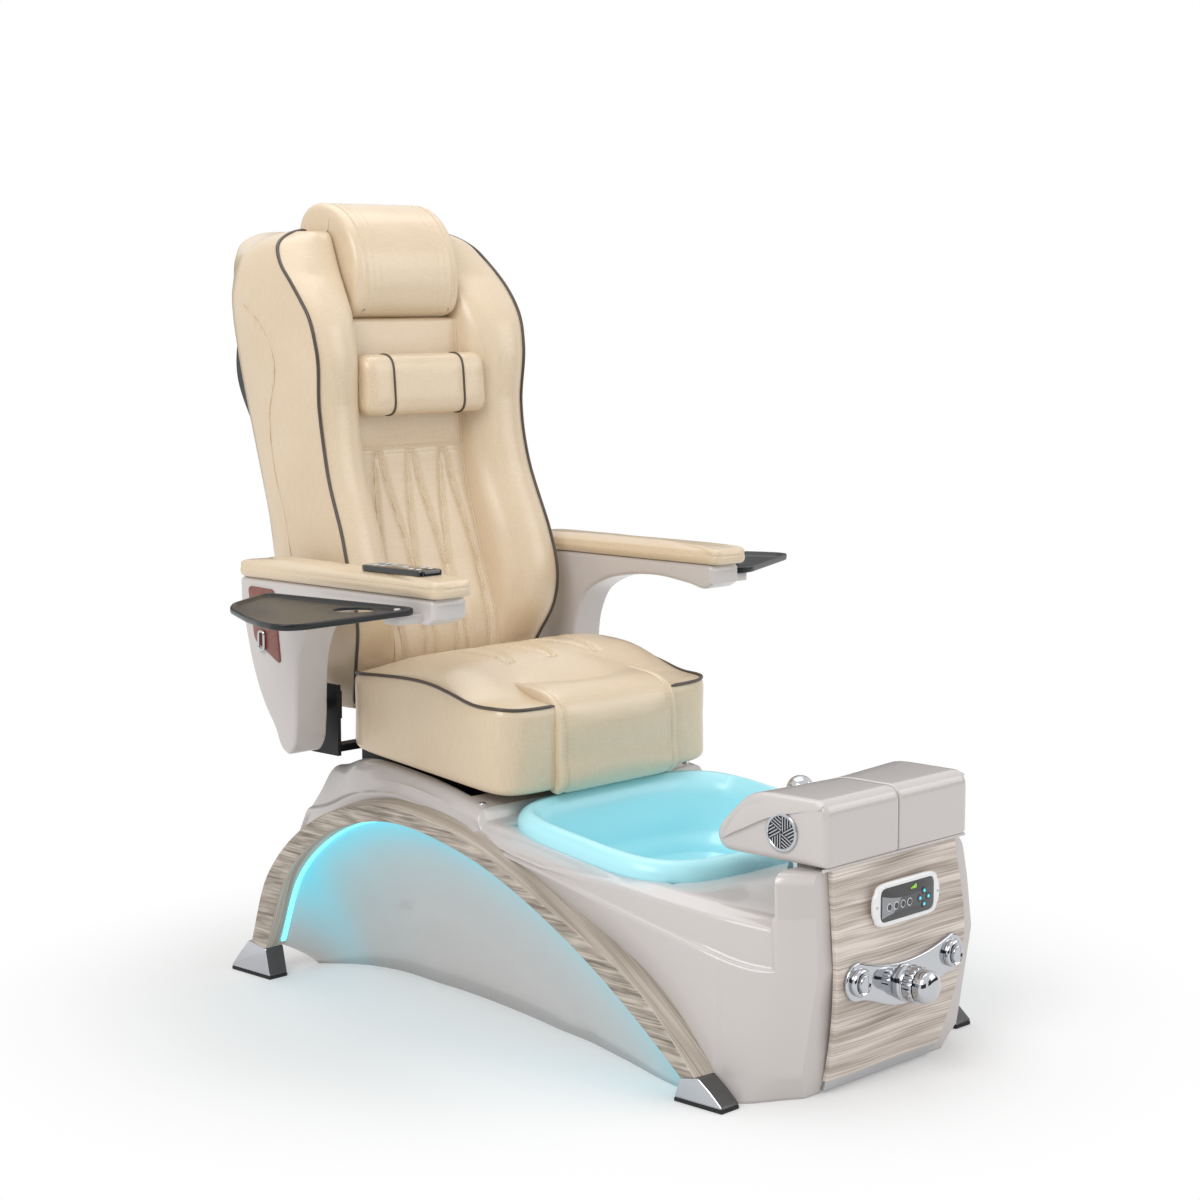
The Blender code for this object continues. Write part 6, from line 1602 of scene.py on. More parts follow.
@dataclass
class Arm:
    """Arm shell with its boss for the tray, pad, inlay and hook."""

    side: Side
    inner: float = 0.325
    outer: float = 0.405
    top_z: float = 0.788
    rear_y: float = 0.527
    underside: tuple = ((-0.004, 0.752), (0.012, 0.742), (0.06, 0.748), (0.142, 0.757), (0.22, 0.752),
                        (0.29, 0.735), (0.335, 0.708), (0.360, 0.66), (0.369, 0.60), (0.373, 0.52),
                        (0.380, 0.482), (0.395, 0.466), (0.412, 0.474), (0.432, 0.510), (0.465, 0.557),
                        (0.494, 0.620), (0.514, 0.690))
    pad_middle: tuple = (0.3675, 0.2515)
    pad_half: tuple = (0.0475, 0.2740)
    pad_low_z: float = 0.7886
    pad_high_z: float = 0.8195
    pad_corner: float = 0.020
    inlay: tuple = ((0.408, 0.632), (0.424, 0.770), (0.500, 0.772), (0.482, 0.672))
    inlay_depth: float = 0.0033
    hook_at: tuple = (0.458, 0.690)
    hook_half: float = 0.0075
    hook_length: float = 0.034
    hook_wire: float = 0.0025
    pivot: tuple = (0.447, 0.042)
    boss_z: tuple = (0.7467, 0.7627)

    @property
    def body(self) -> str:
        """Body that the arm moves as."""
        return "arm_" + self.side.word

    def across(self, low: float, high: float) -> tuple[float, float]:
        """Two X levels on this side, lowest first."""
        first, second = sorted((self.side.value * low, self.side.value * high))
        return first, second

    def build(self) -> None:
        """All pieces of the arm."""
        word = self.side.word
        under = trace(self.underside, 150)
        rear = [(self.rear_y - 0.001, self.top_z - 0.05), (self.rear_y, self.top_z),
                (self.underside[0][0], self.top_z)]
        upper = rounded(np.array([under[-1], *rear, under[0]]), 0.012, 8, closed=False)[8:-8]
        outline = resampled(np.vstack([under, upper]), 260)
        panel = slab("arm_panel_" + word, outline, *self.across(self.inner, self.outer), Axis.X, 0.0085, 8)
        low, high = self.across(self.outer - 0.008, self.outer + 0.058)
        plan = box_outline((high - low) / 2.0, 0.020, 0.006) + np.array([(low + high) / 2.0, self.pivot[1]])
        boss = slab("boss", plan, *self.boss_z, Axis.Z, 0.002)
        pin = turned("pin", ((0.006, -0.001), (0.006, 0.0095), (0.0045, 0.0105)),
                     (self.side.value * self.pivot[0], self.pivot[1], self.boss_z[1]), Axis.Z, 32)
        settle(merged("arm_panel_" + word, [panel, boss, pin]), PLAIN_SHELL, self.body, "shell_grey",
               "arm_shell_" + word)
        outline = resampled(rounded(np.array(self.inlay), 0.012, 8), 120)
        low, high = self.across(self.outer - 0.001, self.outer + self.inlay_depth)
        plate = slab("arm_badge_plate_" + word, outline, low, high, Axis.X, 0.0015)
        settle(plate, MAHOGANY, self.body, "brown_inlay", "arm_inlay_" + word)
        self.build_pad()
        self.build_hook()

    def build_pad(self) -> None:
        """Padded top with a seam line below its upper edge."""
        word = self.side.word
        centre = np.array([self.side.value * self.pad_middle[0], self.pad_middle[1]])
        outline = resampled(box_outline(*self.pad_half, self.pad_corner, 10), 150) + centre
        points = padded_block(outline, self.pad_low_z, self.pad_high_z, Axis.Z, 0.0095, 3, 0.0030, 6)
        pad = lattice("arm_pad_cover_" + word, points, sharp=SOFT_EDGE)
        level = points[..., 2]
        rows = np.arange(len(points))[:, None] + np.zeros_like(level)
        seam_row = len(points) - 13
        held = (level < self.pad_low_z + 0.001) | (rows == seam_row)
        puff(pad, held.ravel(), 0.0035)
        points = mesh_points(pad.data).reshape(points.shape)
        normal = np.zeros_like(points)
        normal[..., :2] = outward(outline)[None]
        points = points - normal * (0.0016 * np.exp(-((rows - seam_row) ** 2)))[..., None]
        set_points(pad.data, points.reshape(-1, 3))
        subdivide(pad)
        settle(pad, LEATHERETTE, self.body, "leatherette", "arm_pad_" + word)
        row = points[seam_row + 1]
        thread = stitches("arm_pad_stitching_" + word, [row], [normal[seam_row]])
        settle(thread, THREAD, self.body, "leatherette")

    def build_hook(self) -> None:
        """Bent wire hook: one closed loop of round wire."""
        y, z = self.hook_at
        x = self.side.value * (self.outer + self.inlay_depth + 0.0006 + self.hook_wire)
        half, drop = self.hook_half, self.hook_length
        corners = np.array([(x, y - half, z), (x, y - half, z - drop), (x, y + half, z - drop),
                            (x, y + half, z)])
        route = resampled(rounded(corners, 0.006, 8), 96)
        step = np.roll(route, -1, axis=0) - np.roll(route, 1, axis=0)
        step /= np.linalg.norm(step, axis=1, keepdims=True)
        sideways = np.array([1.0, 0.0, 0.0])
        out = np.cross(step, sideways)
        angle = np.linspace(0.0, 2.0 * math.pi, 16, endpoint=False)[None, :, None]
        ring = np.cos(angle) * out[:, None] + np.sin(angle) * sideways
        points = route[:, None] + self.hook_wire * ring
        loop = lattice("bag_hook_wire_" + self.side.word, points, wrap_rows=True)
        settle(loop, CHROME, "hook_" + self.side.word, "chrome", "bag_hook_" + self.side.word)


@dataclass
class Tray:
    """Black side tray with a raised lip and a cup hole."""

    side: Side
    right_outline: tuple = ((0.436, 0.010), (0.600, 0.002), (0.690, 0.0), (0.716, 0.012), (0.727, 0.035),
                            (0.718, 0.085), (0.690, 0.155), (0.640, 0.258), (0.600, 0.300), (0.536, 0.336),
                            (0.480, 0.368), (0.462, 0.365), (0.428, 0.080), (0.424, 0.030))
    left_front: tuple = ((0.436, 0.010), (0.460, 0.008), (0.570, 0.054), (0.680, 0.100), (0.698, 0.116),
                         (0.700, 0.138), (0.686, 0.175))
    cup: tuple = (0.484, 0.110)
    cup_radius: float = 0.038
    top_z: float = 0.775
    depth: float = 0.012
    lip: float = 0.006
    lip_width: float = 0.006
    steps: int = 200

    def build(self) -> None:
        """Tray as rings round the cup hole: hole wall, floor, lip, rim and underside."""
        shape = self.right_outline if self.side is Side.RIGHT else (*self.left_front, *self.right_outline[7:])
        outline = resampled(rounded(np.array(shape), 0.014, 6), self.steps)
        cup = np.array(self.cup)
        toward = outline - cup
        hole = cup + toward / np.linalg.norm(toward, axis=1, keepdims=True) * self.cup_radius
        hole_out = cup + (hole - cup) * 1.05
        edge = -outward(outline)
        floor = self.top_z - self.lip
        bottom = self.top_z - self.depth
        inside = outline + edge * (self.lip_width + 0.004)
        rings = [(hole, bottom + 0.001), (hole, floor - 0.001), (hole_out, floor)]
        rings += [(hole_out + (inside - hole_out) * share, floor) for share in (0.25, 0.5, 0.75, 1.0)]
        rings += [(outline + edge * (self.lip_width + 0.0012), floor + 0.0014),
                  (outline + edge * self.lip_width, floor + 0.0045),
                  (outline + edge * (self.lip_width - 0.0016), self.top_z - 0.0003),
                  (outline + edge * 0.0020, self.top_z),
                  (outline + edge * 0.0005, self.top_z - 0.0008),
                  (outline, self.top_z - 0.0024), (outline, bottom + 0.0035),
                  (outline + edge * 0.0012, bottom + 0.0010), (outline + edge * 0.0040, bottom)]
        rings += [(hole_out + (inside - hole_out) * share, bottom) for share in (0.75, 0.5, 0.25, 0.0)]
        points = self.side.place(stacked(rings, Axis.Z))
        tray = lattice("tray_top_" + self.side.word, points, wrap_rows=True, sharp=50.0)
        settle(tray, BLACK_SATIN, "tray_" + self.side.word, "black_plastic", "tray_" + self.side.word)


@dataclass
class Remote:
    """Control panel on the right arm: a glossy plate, round keys and a rocker."""

    middle: tuple = (-0.3675, 0.118)
    half: tuple = (0.028, 0.080)
    low_z: float = 0.8236
    high_z: float = 0.8336
    key_radius: float = 0.0062
    key_rows: tuple = (-0.060, -0.040, 0.034, 0.052, 0.068)
    key_x: tuple = (-0.014, 0.014)
    rocker_half: tuple = (0.007, 0.0142)
    pocket_gap: float = 0.0012
    pocket_depth: float = 0.0065

    def build_panel(self, plan: Array) -> None:
        """Plate with a pocket for the rocker: rings up its side, over its round edge and into the pocket.

        Args:
            plan: The plate's outline.
        """
        pocket = [half + self.pocket_gap for half in self.rocker_half]
        window = resampled(box_outline(*pocket, 0.004) + np.array(self.middle), len(plan))
        window = np.roll(window, -int(np.argmin(np.linalg.norm(window - plan[0], axis=1))), axis=0)
        out = outward(plan)
        rings = [(plan - out * 0.001, self.low_z), (plan, self.low_z + 0.001), (plan, self.high_z - 0.003),
                 (plan - out * 0.0009, self.high_z - 0.0009), (plan - out * 0.003, self.high_z),
                 (window, self.high_z), (window, self.high_z - self.pocket_depth)]
        points = stacked(rings, Axis.Z)
        settle(lattice("remote_panel", points), SCREEN, "arm_right", "black_plastic", "remote")

    def build(self) -> None:
        """Panel, keys and rocker."""
        x, y = self.middle
        plan = resampled(box_outline(*self.half, 0.010), 120) + np.array(self.middle)
        self.build_panel(plan)
        key = ((self.key_radius, -0.001), (self.key_radius, 0.0006), (self.key_radius - 0.0012, 0.0013),
               (0.0015, 0.0016))
        keys = [turned("key", key, (x + across, y + along, self.high_z), Axis.Z, 24)
                for across in self.key_x for along in self.key_rows]
        settle(merged("remote_keys", keys), ALUMINIUM, "arm_right", "aluminium")
        plan = box_outline(*self.rocker_half, 0.003) + np.array(self.middle)
        points = padded_block(resampled(plan, 60), self.high_z - 0.0025, self.high_z + 0.0016, Axis.Z,
                              edge=0.0008, rows=2)
        dip = 0.0008 * np.cos(np.pi * (points[..., 1] - y) / (2.0 * self.rocker_half[1]))
        points[..., 2] -= np.where(points[..., 2] > self.high_z + 0.001, dip, 0.0)
        settle(lattice("remote_rocker_key", points), ALUMINIUM, "rocker_key", "chrome", "remote_rocker")


# Base


ARCH_OUTER = ((-0.551, 0.048), (-0.448, 0.152), (-0.21, 0.274), (0.03, 0.369), (0.241, 0.385),
              (0.427, 0.316), (0.537, 0.208), (0.590, 0.066))
ARCH_INNER = ((-0.519, 0.042), (-0.436, 0.107), (-0.224, 0.242), (-0.002, 0.333), (0.216, 0.357),
              (0.371, 0.307), (0.474, 0.221), (0.545, 0.060))
PANEL_CURVE = ((0.0, -0.668), (0.024, -0.676), (0.21, -0.712), (0.3845, -0.694))
BASIN_MIDDLE_Y = -0.23
BASIN_RIM = (0.288, 0.215)
BASIN_POWER = 4.0
DECK_Z = 0.386
DECK_SLOPE = 0.13


def basin_deck(y: Array) -> Array:
    """Height of the deck round the basin: a plane that falls towards the front."""
    return DECK_Z + DECK_SLOPE * np.asarray(y, float)


def basin_reach(x: Array, y: Array) -> Array:
    """Share of the way from the basin's middle to its rim, by the rim's own squared-off oval.

    Args:
        x: Places across the basin.
        y: Places along the chair.

    Returns:
        0 at the middle and 1 on the rim.
    """
    across = np.abs(x / BASIN_RIM[0]) ** BASIN_POWER
    along = np.abs((y - BASIN_MIDDLE_Y) / BASIN_RIM[1]) ** BASIN_POWER
    return (across + along) ** (1.0 / BASIN_POWER)


@dataclass
class BaseShell:
    """Moulded base: niches under the arches, a stepped ledge, a sloping deck with a pit, and a seat well."""

    band: float = 0.300
    floor_half: tuple = ((-0.688, 0.19), (-0.62, 0.272), (-0.56, 0.294), (-0.47, 0.287), (-0.30, 0.238),
                         (-0.115, 0.186), (0.0, 0.16), (0.27, 0.125), (0.47, 0.135), (0.56, 0.20))
    deck_half: tuple = ((-0.688, 0.205), (-0.64, 0.243), (-0.60, 0.258), (-0.50, 0.286), (-0.30, 0.311),
                        (-0.10, 0.314), (0.0, 0.302), (0.10, 0.288), (0.30, 0.276), (0.45, 0.266),
                        (0.56, 0.25))
    ledge_half: tuple = ((-0.688, 0.212), (-0.64, 0.255), (-0.56, 0.290), (-0.45, 0.310), (-0.30, 0.318),
                         (-0.10, 0.318), (0.05, 0.311), (0.24, 0.305), (0.40, 0.298), (0.56, 0.275))
    ledge_z: tuple = ((-0.688, 0.224), (-0.60, 0.227), (-0.522, 0.248), (-0.42, 0.273), (-0.31, 0.297),
                      (-0.207, 0.318), (-0.12, 0.331), (-0.07, 0.338), (0.03, 0.378), (0.24, 0.40),
                      (0.40, 0.37), (0.56, 0.33))
    seat_deck_z: tuple = ((0.0, 0.405), (0.10, 0.424), (0.20, 0.437), (0.30, 0.445), (0.45, 0.435),
                          (0.56, 0.415))
    upper_z: tuple = ((-0.688, 0.312), (-0.586, 0.306), (-0.539, 0.306), (-0.47, 0.315), (-0.42, 0.320),
                      (-0.35, 0.326), (-0.277, 0.328), (-0.20, 0.331), (-0.11, 0.331), (-0.07, 0.345),
                      (0.03, 0.388), (0.24, 0.42), (0.40, 0.40), (0.56, 0.37))
    hill: tuple = ((-0.177, 0.035), (-0.025, 0.108), (0.156, 0.160), (0.282, 0.163), (0.359, 0.139),
                   (0.489, 0.063))
    hill_depth: float = 0.009
    corner_radii: tuple = (0.0, 0.06, 0.08, 0.010, 0.004, 0.007, 0.007, 0.007, 0.007, 0.016, 0.016, 0.05,
                           0.05)
    ledge_step: float = 0.010
    deck_edge: float = 0.014
    deck_shoulder: float = 0.018
    front_wall_y: float = -0.632
    front_wall_z: float = 0.3845
    rear_y: float = 0.56
    front_y: float = -0.688
    pit_shoulder: float = 0.070
    pit_floor: float = 0.140
    pit_edge: tuple = (0.960, 0.045)
    pit_slope: tuple = (0.90, 0.10)
    # painted light as (level, reach): the strips' light on the niches, then the basin's light on the deck
    niche_glow: tuple = ((0.80, 0.048), (0.12, 0.12))
    deck_glow: tuple = (0.22, 0.05)
    well_half: float = 0.203
    well_z: float = 0.383
    wall: float = 0.006

    def deck_height(self, y: float) -> float:
        """Height of the deck along the middle, with the step up to the seat and the front wall.

        Args:
            y: The station.

        Returns:
            The height there.
        """
        low = float(basin_deck(y))
        step = float(ease((y + 0.012) / 0.010))
        height = low + (float(curve(self.seat_deck_z, y)) - low) * step
        front = float(ease((self.front_wall_y + 0.004 - y) / 0.008))
        return height + (self.front_wall_z - height) * front

    def section(self, y: float) -> Array:
        """Corner points of the section at one station, from the right floor edge over to the left.

        Args:
            y: The station.

        Returns:
            The corners, one row each.
        """
        outer_z, inner_z = float(curve(ARCH_OUTER, y)), float(curve(ARCH_INNER, y))
        deck_z = self.deck_height(y)
        floor = float(curve(self.floor_half, y))
        ledge = float(curve(self.ledge_half, y))
        band = min(self.band, ledge + 0.003) if y < -0.56 else self.band
        deck = float(curve(self.deck_half, y))
        edge = self.deck_edge
        step = self.ledge_step * float(ease((y + 0.640) / 0.010))
        second = step * float(ease((-0.04 - y) / 0.10))
        ledge_z = float(np.clip(curve(self.ledge_z, y), outer_z + 0.006, deck_z - step - 2.0 * edge))
        wall_low = ledge - step
        wall_high = 0.5 * (wall_low + deck) + 0.5 * second
        by_basin = float(ease((-0.02 - y) / 0.06) * ease((y + 0.636) / 0.010))
        ridge = wall_high + (deck - wall_high) * by_basin
        inner = deck - self.deck_shoulder * by_basin
        drop = edge * (1.0 - 0.5 * by_basin)
        upper_z = float(np.clip(curve(self.upper_z, y), ledge_z + 0.4 * step + 0.003,
                                deck_z - drop - 0.45 * second - 0.003))
        half = np.array([(floor, 0.0), (floor + 0.22 * (band - floor), 0.30 * inner_z),
                         (floor + 0.60 * (band - floor), 0.68 * inner_z), (band, inner_z), (band, outer_z),
                         (ledge, ledge_z), (wall_low, ledge_z + 0.4 * step), (ridge, upper_z),
                         (ridge - second, upper_z + 0.45 * second), (inner, deck_z - drop),
                         (inner - edge, deck_z), (0.5 * deck, deck_z), (0.0, deck_z)])
        rear = ease((half[:, 1] - 0.20) / 0.23) * ease((y - 0.30) / (self.rear_y - 0.30))
        front = ease((-0.56 - y) / (-0.56 - self.front_y))
        place = y - 0.105 * rear + (curve(PANEL_CURVE, half[:, 1]) + 0.0120 - self.front_y) * front
        right = np.column_stack([-half[:, 0], place, half[:, 1]])
        return np.vstack([right, (right * np.array([-1.0, 1.0, 1.0]))[-2::-1]])

    def stations(self) -> Array:
        """Places along Y, close together at the deck's steps."""
        spans = ((self.front_y, -0.645, 12), (-0.645, -0.62, 10), (-0.62, -0.03, 84), (-0.03, 0.03, 18),
                 (0.03, 0.07, 8), (0.07, self.rear_y, 60))
        return np.unique(np.concatenate([np.linspace(*span) for span in spans]))

    def points(self) -> Array:
        """Rounded sections, filled up along their long flats, with the pit and the seat well pressed in.

        Returns:
            The lattice, (rows, columns, 3).
        """
        stations = self.stations()
        radii = np.array([*self.corner_radii, *self.corner_radii[-2::-1]])
        sections = np.array([self.section(y) for y in stations])
        points = rounded(sections, radii, 6, closed=False)[:, 5:-5]
        index = np.arange(points.shape[1])
        deck = np.arange(64, points.shape[1] - 64)
        fine = np.linspace(deck[0], deck[-1], 4 * len(deck) - 3)
        index = np.concatenate([index[:deck[0]], fine, index[deck[-1] + 1:]])
        low = np.clip(np.floor(index).astype(int), 0, points.shape[1] - 2)
        share = (index - low)[None, :, None]
        points = points[:, low] * (1.0 - share) + points[:, low + 1] * share
        x, y, z = np.moveaxis(points, -1, 0)
        on_deck = (z > basin_deck(y) - 0.004) * (y < -0.004)
        reach = basin_reach(x, y)
        edge = ease((self.pit_edge[0] - reach) / self.pit_edge[1])
        z = z + (basin_deck(y) - self.pit_shoulder - z) * edge * on_deck
        z = z + (self.pit_floor - z) * ease((self.pit_slope[0] - reach) / self.pit_slope[1]) * on_deck
        well = ease((self.well_half - np.abs(x)) / 0.004) * ease((y - 0.057) / 0.004) * (z > 0.39)
        z = z + (self.well_z - z) * well
        under_arch = ease((curve(ARCH_INNER, y) - 0.02 - z) / 0.03)
        niche = under_arch * ease((y + 0.21) / 0.13) * ease((0.51 - y) / 0.08)
        below = ease(0.5 + (curve(self.hill, y) - z) / 0.024)
        x = x + np.sign(x) * self.hill_depth * niche * below
        return np.dstack([x, y, z])

    def glow(self, points: Array) -> Array:
        """Painted light on the niches, falling off from the arch's inner edge, and on the deck by the basin's
        rim.

        Args:
            points: The shell's lattice.

        Returns:
            A strength for each point.
        """
        x, y, z = np.moveaxis(points, -1, 0)
        slope = (curve(ARCH_INNER, y + 0.005) - curve(ARCH_INNER, y - 0.005)) / 0.010
        below = curve(ARCH_INNER, y) - z
        inside = ease((y + 0.53) / 0.06) * ease((0.55 - y) / 0.08) * (below > -0.004)
        away = np.maximum(below, 0.0) / np.sqrt(1.0 + slope**2)
        niche = inside * sum(level * np.exp(-away / reach) for level, reach in self.niche_glow)
        beyond = np.maximum(basin_reach(x, y) - 1.0, 0.0)
        level, reach = self.deck_glow
        return niche + level * np.exp(-beyond / reach) * (z > basin_deck(y) - 0.02) * (y < -0.004)

    def build(self) -> None:
        """The shell, its painted light and the deck's two screws."""
        points = self.points()
        shell = lattice("base_shell_moulding", points, wrap_columns=False, sharp=40.0)
        # painted light: kept for each point, it tints the shell cyan and makes it shine
        layer = shell.data.attributes.new("glow", "FLOAT", "POINT")
        layer.data.foreach_set("value", self.glow(points).ravel().astype(np.float32))
        thicken(shell, self.wall)
        settle(shell, SHELL, "base", "shell_grey", "base_shell")
        screws = []
        for side in Side:
            dome = ((0.0075, -0.002), (0.0075, 0.0008), (0.0060, 0.0026), (0.0030, 0.0034), (0.0006, 0.0036))
            screws.append(turned("screw", dome, (side.value * 0.272, 0.016, 0.4085), Axis.Z, 24))
        settle(merged("deck_screws", screws), CHROME, "base", "chrome")


@dataclass
class Arch:
    """Wood-laminate arch beam with its light strip and boots."""

    side: Side
    face_x: float = 0.344
    back_x: float = 0.3003
    top_rise: float = 0.008
    corner: float = 0.005
    steps: int = 5
    rings: int = 120
    boot_length: float = 0.060
    boot_heel: float = 0.012
    toe_height: float = 0.010

    def edges(self) -> tuple[Array, Array, Array]:
        """Inner edge, outer edge and the unit direction from one to the other, as (y, z) along the arch.

        Returns:
            The two edges and the directions, one row for each ring.
        """
        inner, outer = trace(ARCH_INNER, self.rings), trace(ARCH_OUTER, self.rings)
        out = outer - inner
        return inner, outer, out / np.linalg.norm(out, axis=1, keepdims=True)

    def build(self) -> None:
        """Beam, light strip and boots."""
        word = self.side.word
        inner, outer, out = self.edges()
        top = outer + out * self.top_rise
        corners = [(self.face_x, inner), (self.face_x, outer), (self.back_x, top), (self.back_x, inner)]
        sections = np.stack([np.column_stack([np.full(self.rings, x), edge]) for x, edge in corners], axis=1)
        radii = np.array([self.corner, self.corner, 0.002, 0.002])
        beam = lattice("arch_beam_" + word, self.side.place(rounded(sections, radii, self.steps)))
        for finish in (ASH_LONG, ASH_CROSS):
            beam.data.materials.append(finish.make())
        columns = 4 * self.steps
        band = np.tile(np.arange(columns), self.rings - 1)
        face = np.concatenate([(band >= 2) & (band <= self.steps + 1), [False, False]])
        beam.data.polygons.foreach_set("material_index", face.astype(np.int32))
        settle(beam, ASH_LONG, "base", "ash_laminate", "arch_trim_" + word)
        near = inner[1:-1] - out[1:-1] * 0.0003
        far = near - out[1:-1] * 0.0038
        lit = [(self.back_x + 0.010, near), (self.back_x, near), (self.back_x, far),
               (self.back_x + 0.010, far)]
        section = np.stack([np.column_stack([np.full(len(edge), x), edge]) for x, edge in lit], axis=1)
        strip = lattice("light_strip_" + word, self.side.place(rounded(section, 0.001, 3)))
        settle(strip, LED, "base", "led", "side_led_strip_" + word)
        for end, place in (("front", 0), ("rear", -1)):
            self.build_boot(end, inner[place], outer[place])

    def build_boot(self, end: str, low: Array, high: Array) -> None:
        """Boot under one end of the arch: chrome body, dark cap and a rubber sole.

        Args:
            end: The arch's end, front or rear.
            low: End of the inner edge, as (y, z).
            high: End of the outer edge, as (y, z).
        """
        along = (high - low) / np.linalg.norm(high - low)
        toe = math.copysign(1.0, along[0])
        heel_top = low - 0.0003 * np.array([0.0, 1.0])
        toe_top = high + self.top_rise * along - 0.0003 * np.array([0.0, 1.0])
        tip = high[0] + toe * self.boot_length
        outline = np.array([(heel_top[0] - toe * self.boot_heel, 0.006), heel_top, toe_top,
                            0.5 * (toe_top + (tip, self.toe_height)) + (0.0, 0.002), (tip, self.toe_height),
                            (tip, 0.006)])
        levels = sorted((self.side.value * self.back_x, self.side.value * self.face_x))
        name = f"{end}_boot_{self.side.word}"
        body = slab(name + "_casting", resampled(rounded(outline, 0.004, 5), 110), *levels, Axis.X, 0.003)
        for finish in (CHROME, GRAPHITE):
            body.data.materials.append(finish.make())
        normals = np.zeros(len(body.data.polygons) * 3)
        body.data.polygons.foreach_get("normal", normals)
        upper = np.abs(normals.reshape(-1, 3)[:, 0]) < 0.6
        body.data.polygons.foreach_set("material_index", upper.astype(np.int32))
        settle(body, CHROME, "base", "chrome", name)
        sole = np.array([(outline[0, 0], 0.0), (outline[0, 0], 0.0062), (tip, 0.0062), (tip, 0.0)])
        settle(slab(name + "_sole", resampled(rounded(sole, 0.001, 3), 60), *levels, Axis.X, 0.001), RUBBER,
               "base", "black_plastic")


@dataclass
class Basin:
    """Acrylic foot bowl with a rolled rim, its light ring, drain and jet."""

    columns: int = 160
    body: tuple = (0.2614, 0.1884)
    floor_half: tuple = (0.185, 0.140)
    floor_z: float = 0.190
    rim_height: float = 0.030
    wall: float = 0.006
    jet_y: float = -0.145

    def ring(self, half_x: float, half_y: float, above: float, tilt: float) -> Array:
        """One ring of the bowl: above the deck at the middle, tilted with it by a share.

        Args:
            half_x: Half its width.
            half_y: Half its length.
            above: Height over the deck at the middle.
            tilt: Share of the deck's slope that it follows.

        Returns:
            The ring's points.
        """
        flat = resampled(ellipse(half_x, half_y, BASIN_POWER, 4 * self.columns), self.columns)
        z = float(basin_deck(BASIN_MIDDLE_Y)) + DECK_SLOPE * flat[:, 1] * tilt + above
        return np.column_stack([flat[:, 0], flat[:, 1] + BASIN_MIDDLE_Y, z])

    def build(self) -> None:
        """Bowl, light ring, drain and jet."""
        floor = self.floor_z - float(basin_deck(BASIN_MIDDLE_Y))
        edge, wall = 0.006, self.wall
        (bx, by), (fx, fy), (rx, ry) = self.body, self.floor_half, BASIN_RIM
        mid_x, mid_y, mid_z = (bx + fx) / 2 + 0.02, (by + fy) / 2 + 0.02, 0.55 * floor
        drain = 0.0285
        inside = [(drain, drain, floor + wall, 0.0), (fx - 0.06, fy - 0.05, floor + wall, 0.0),
                  (fx - 2 * wall, fy - 2 * wall, floor + wall + 0.012, 0.05),
                  (mid_x - wall, mid_y - wall, mid_z + wall, 0.5),
                  (bx - wall - 0.002, by - wall - 0.002, self.rim_height - 0.045, 0.95),
                  (bx - wall, by - wall, self.rim_height - 0.020, 1.0),
                  (bx - 0.003, by - 0.003, self.rim_height - 0.006, 1.0),
                  (bx + 0.006, by + 0.006, self.rim_height - 0.0005, 1.0)]
        roll = ((-0.016, 0.030), (-0.007, 0.027), (-0.001, 0.020), (0.0025, 0.010), (0.003, 0.004),
                (0.002, -0.004), (-edge, -0.003))
        rim = [(rx + out, ry + out, up, 1.0) for out, up in roll]
        outside = [(bx, by, 0.0005, 1.0), (bx, by, -0.022, 1.0), (mid_x, mid_y, mid_z, 0.5),
                   (fx, fy, floor, 0.0), (drain, drain, floor, 0.0)]
        smooth = trace(np.array(inside), 34)
        edge_rows = trace(np.array([inside[-1], *rim]), 22)[1:]
        rows = [self.ring(*row) for row in (*smooth, *edge_rows, *outside)]
        bowl = lattice("basin_bowl", np.array(rows), wrap_rows=True, sharp=50.0)
        settle(bowl, BASIN_ACRYLIC, "base", "lit_acrylic", "basin")
        light = [(0.0003, -0.018), (0.0063, -0.018), (0.0063, -0.012), (0.0003, -0.012)]
        rows = [self.ring(bx + out, by + out, up, 1.0) for out, up in light]
        settle(lattice("basin_light_ring", np.array(rows), wrap_rows=True), LED, "base", "led",
               "basin_led_ring")
        centre = (0.0, BASIN_MIDDLE_Y, self.floor_z)
        strainer = ((0.0275, 0.0), (0.0275, 0.0063), (0.034, 0.0063), (0.034, 0.0078), (0.032, 0.0088),
                    (0.026, 0.0090), (0.024, 0.0080), (0.0172, 0.0080), (0.0168, 0.0074), (0.0168, 0.0063),
                    (0.025, 0.0063), (0.025, 0.0))
        settle(turned("drain_ring", strainer, centre, Axis.Z, 64, wrap=True), CHROME, "base", "chrome",
               "drain_strainer")
        jet = ((0.004, 0.0), (0.034, 0.0), (0.034, 0.017), (0.0325, 0.021), (0.029, 0.0236), (0.024, 0.024),
               (0.0142, 0.024), (0.0136, 0.0234), (0.0136, 0.020), (0.026, 0.020), (0.030, 0.016),
               (0.030, 0.004), (0.004, 0.004))
        cap = turned("jet_cap", jet, (0.0, self.jet_y, self.floor_z + 0.0063), Axis.Z, 64, wrap=True)
        settle(cap, WHITE_GLOSS, "base", "white_plastic", "jet_housing")


# Front


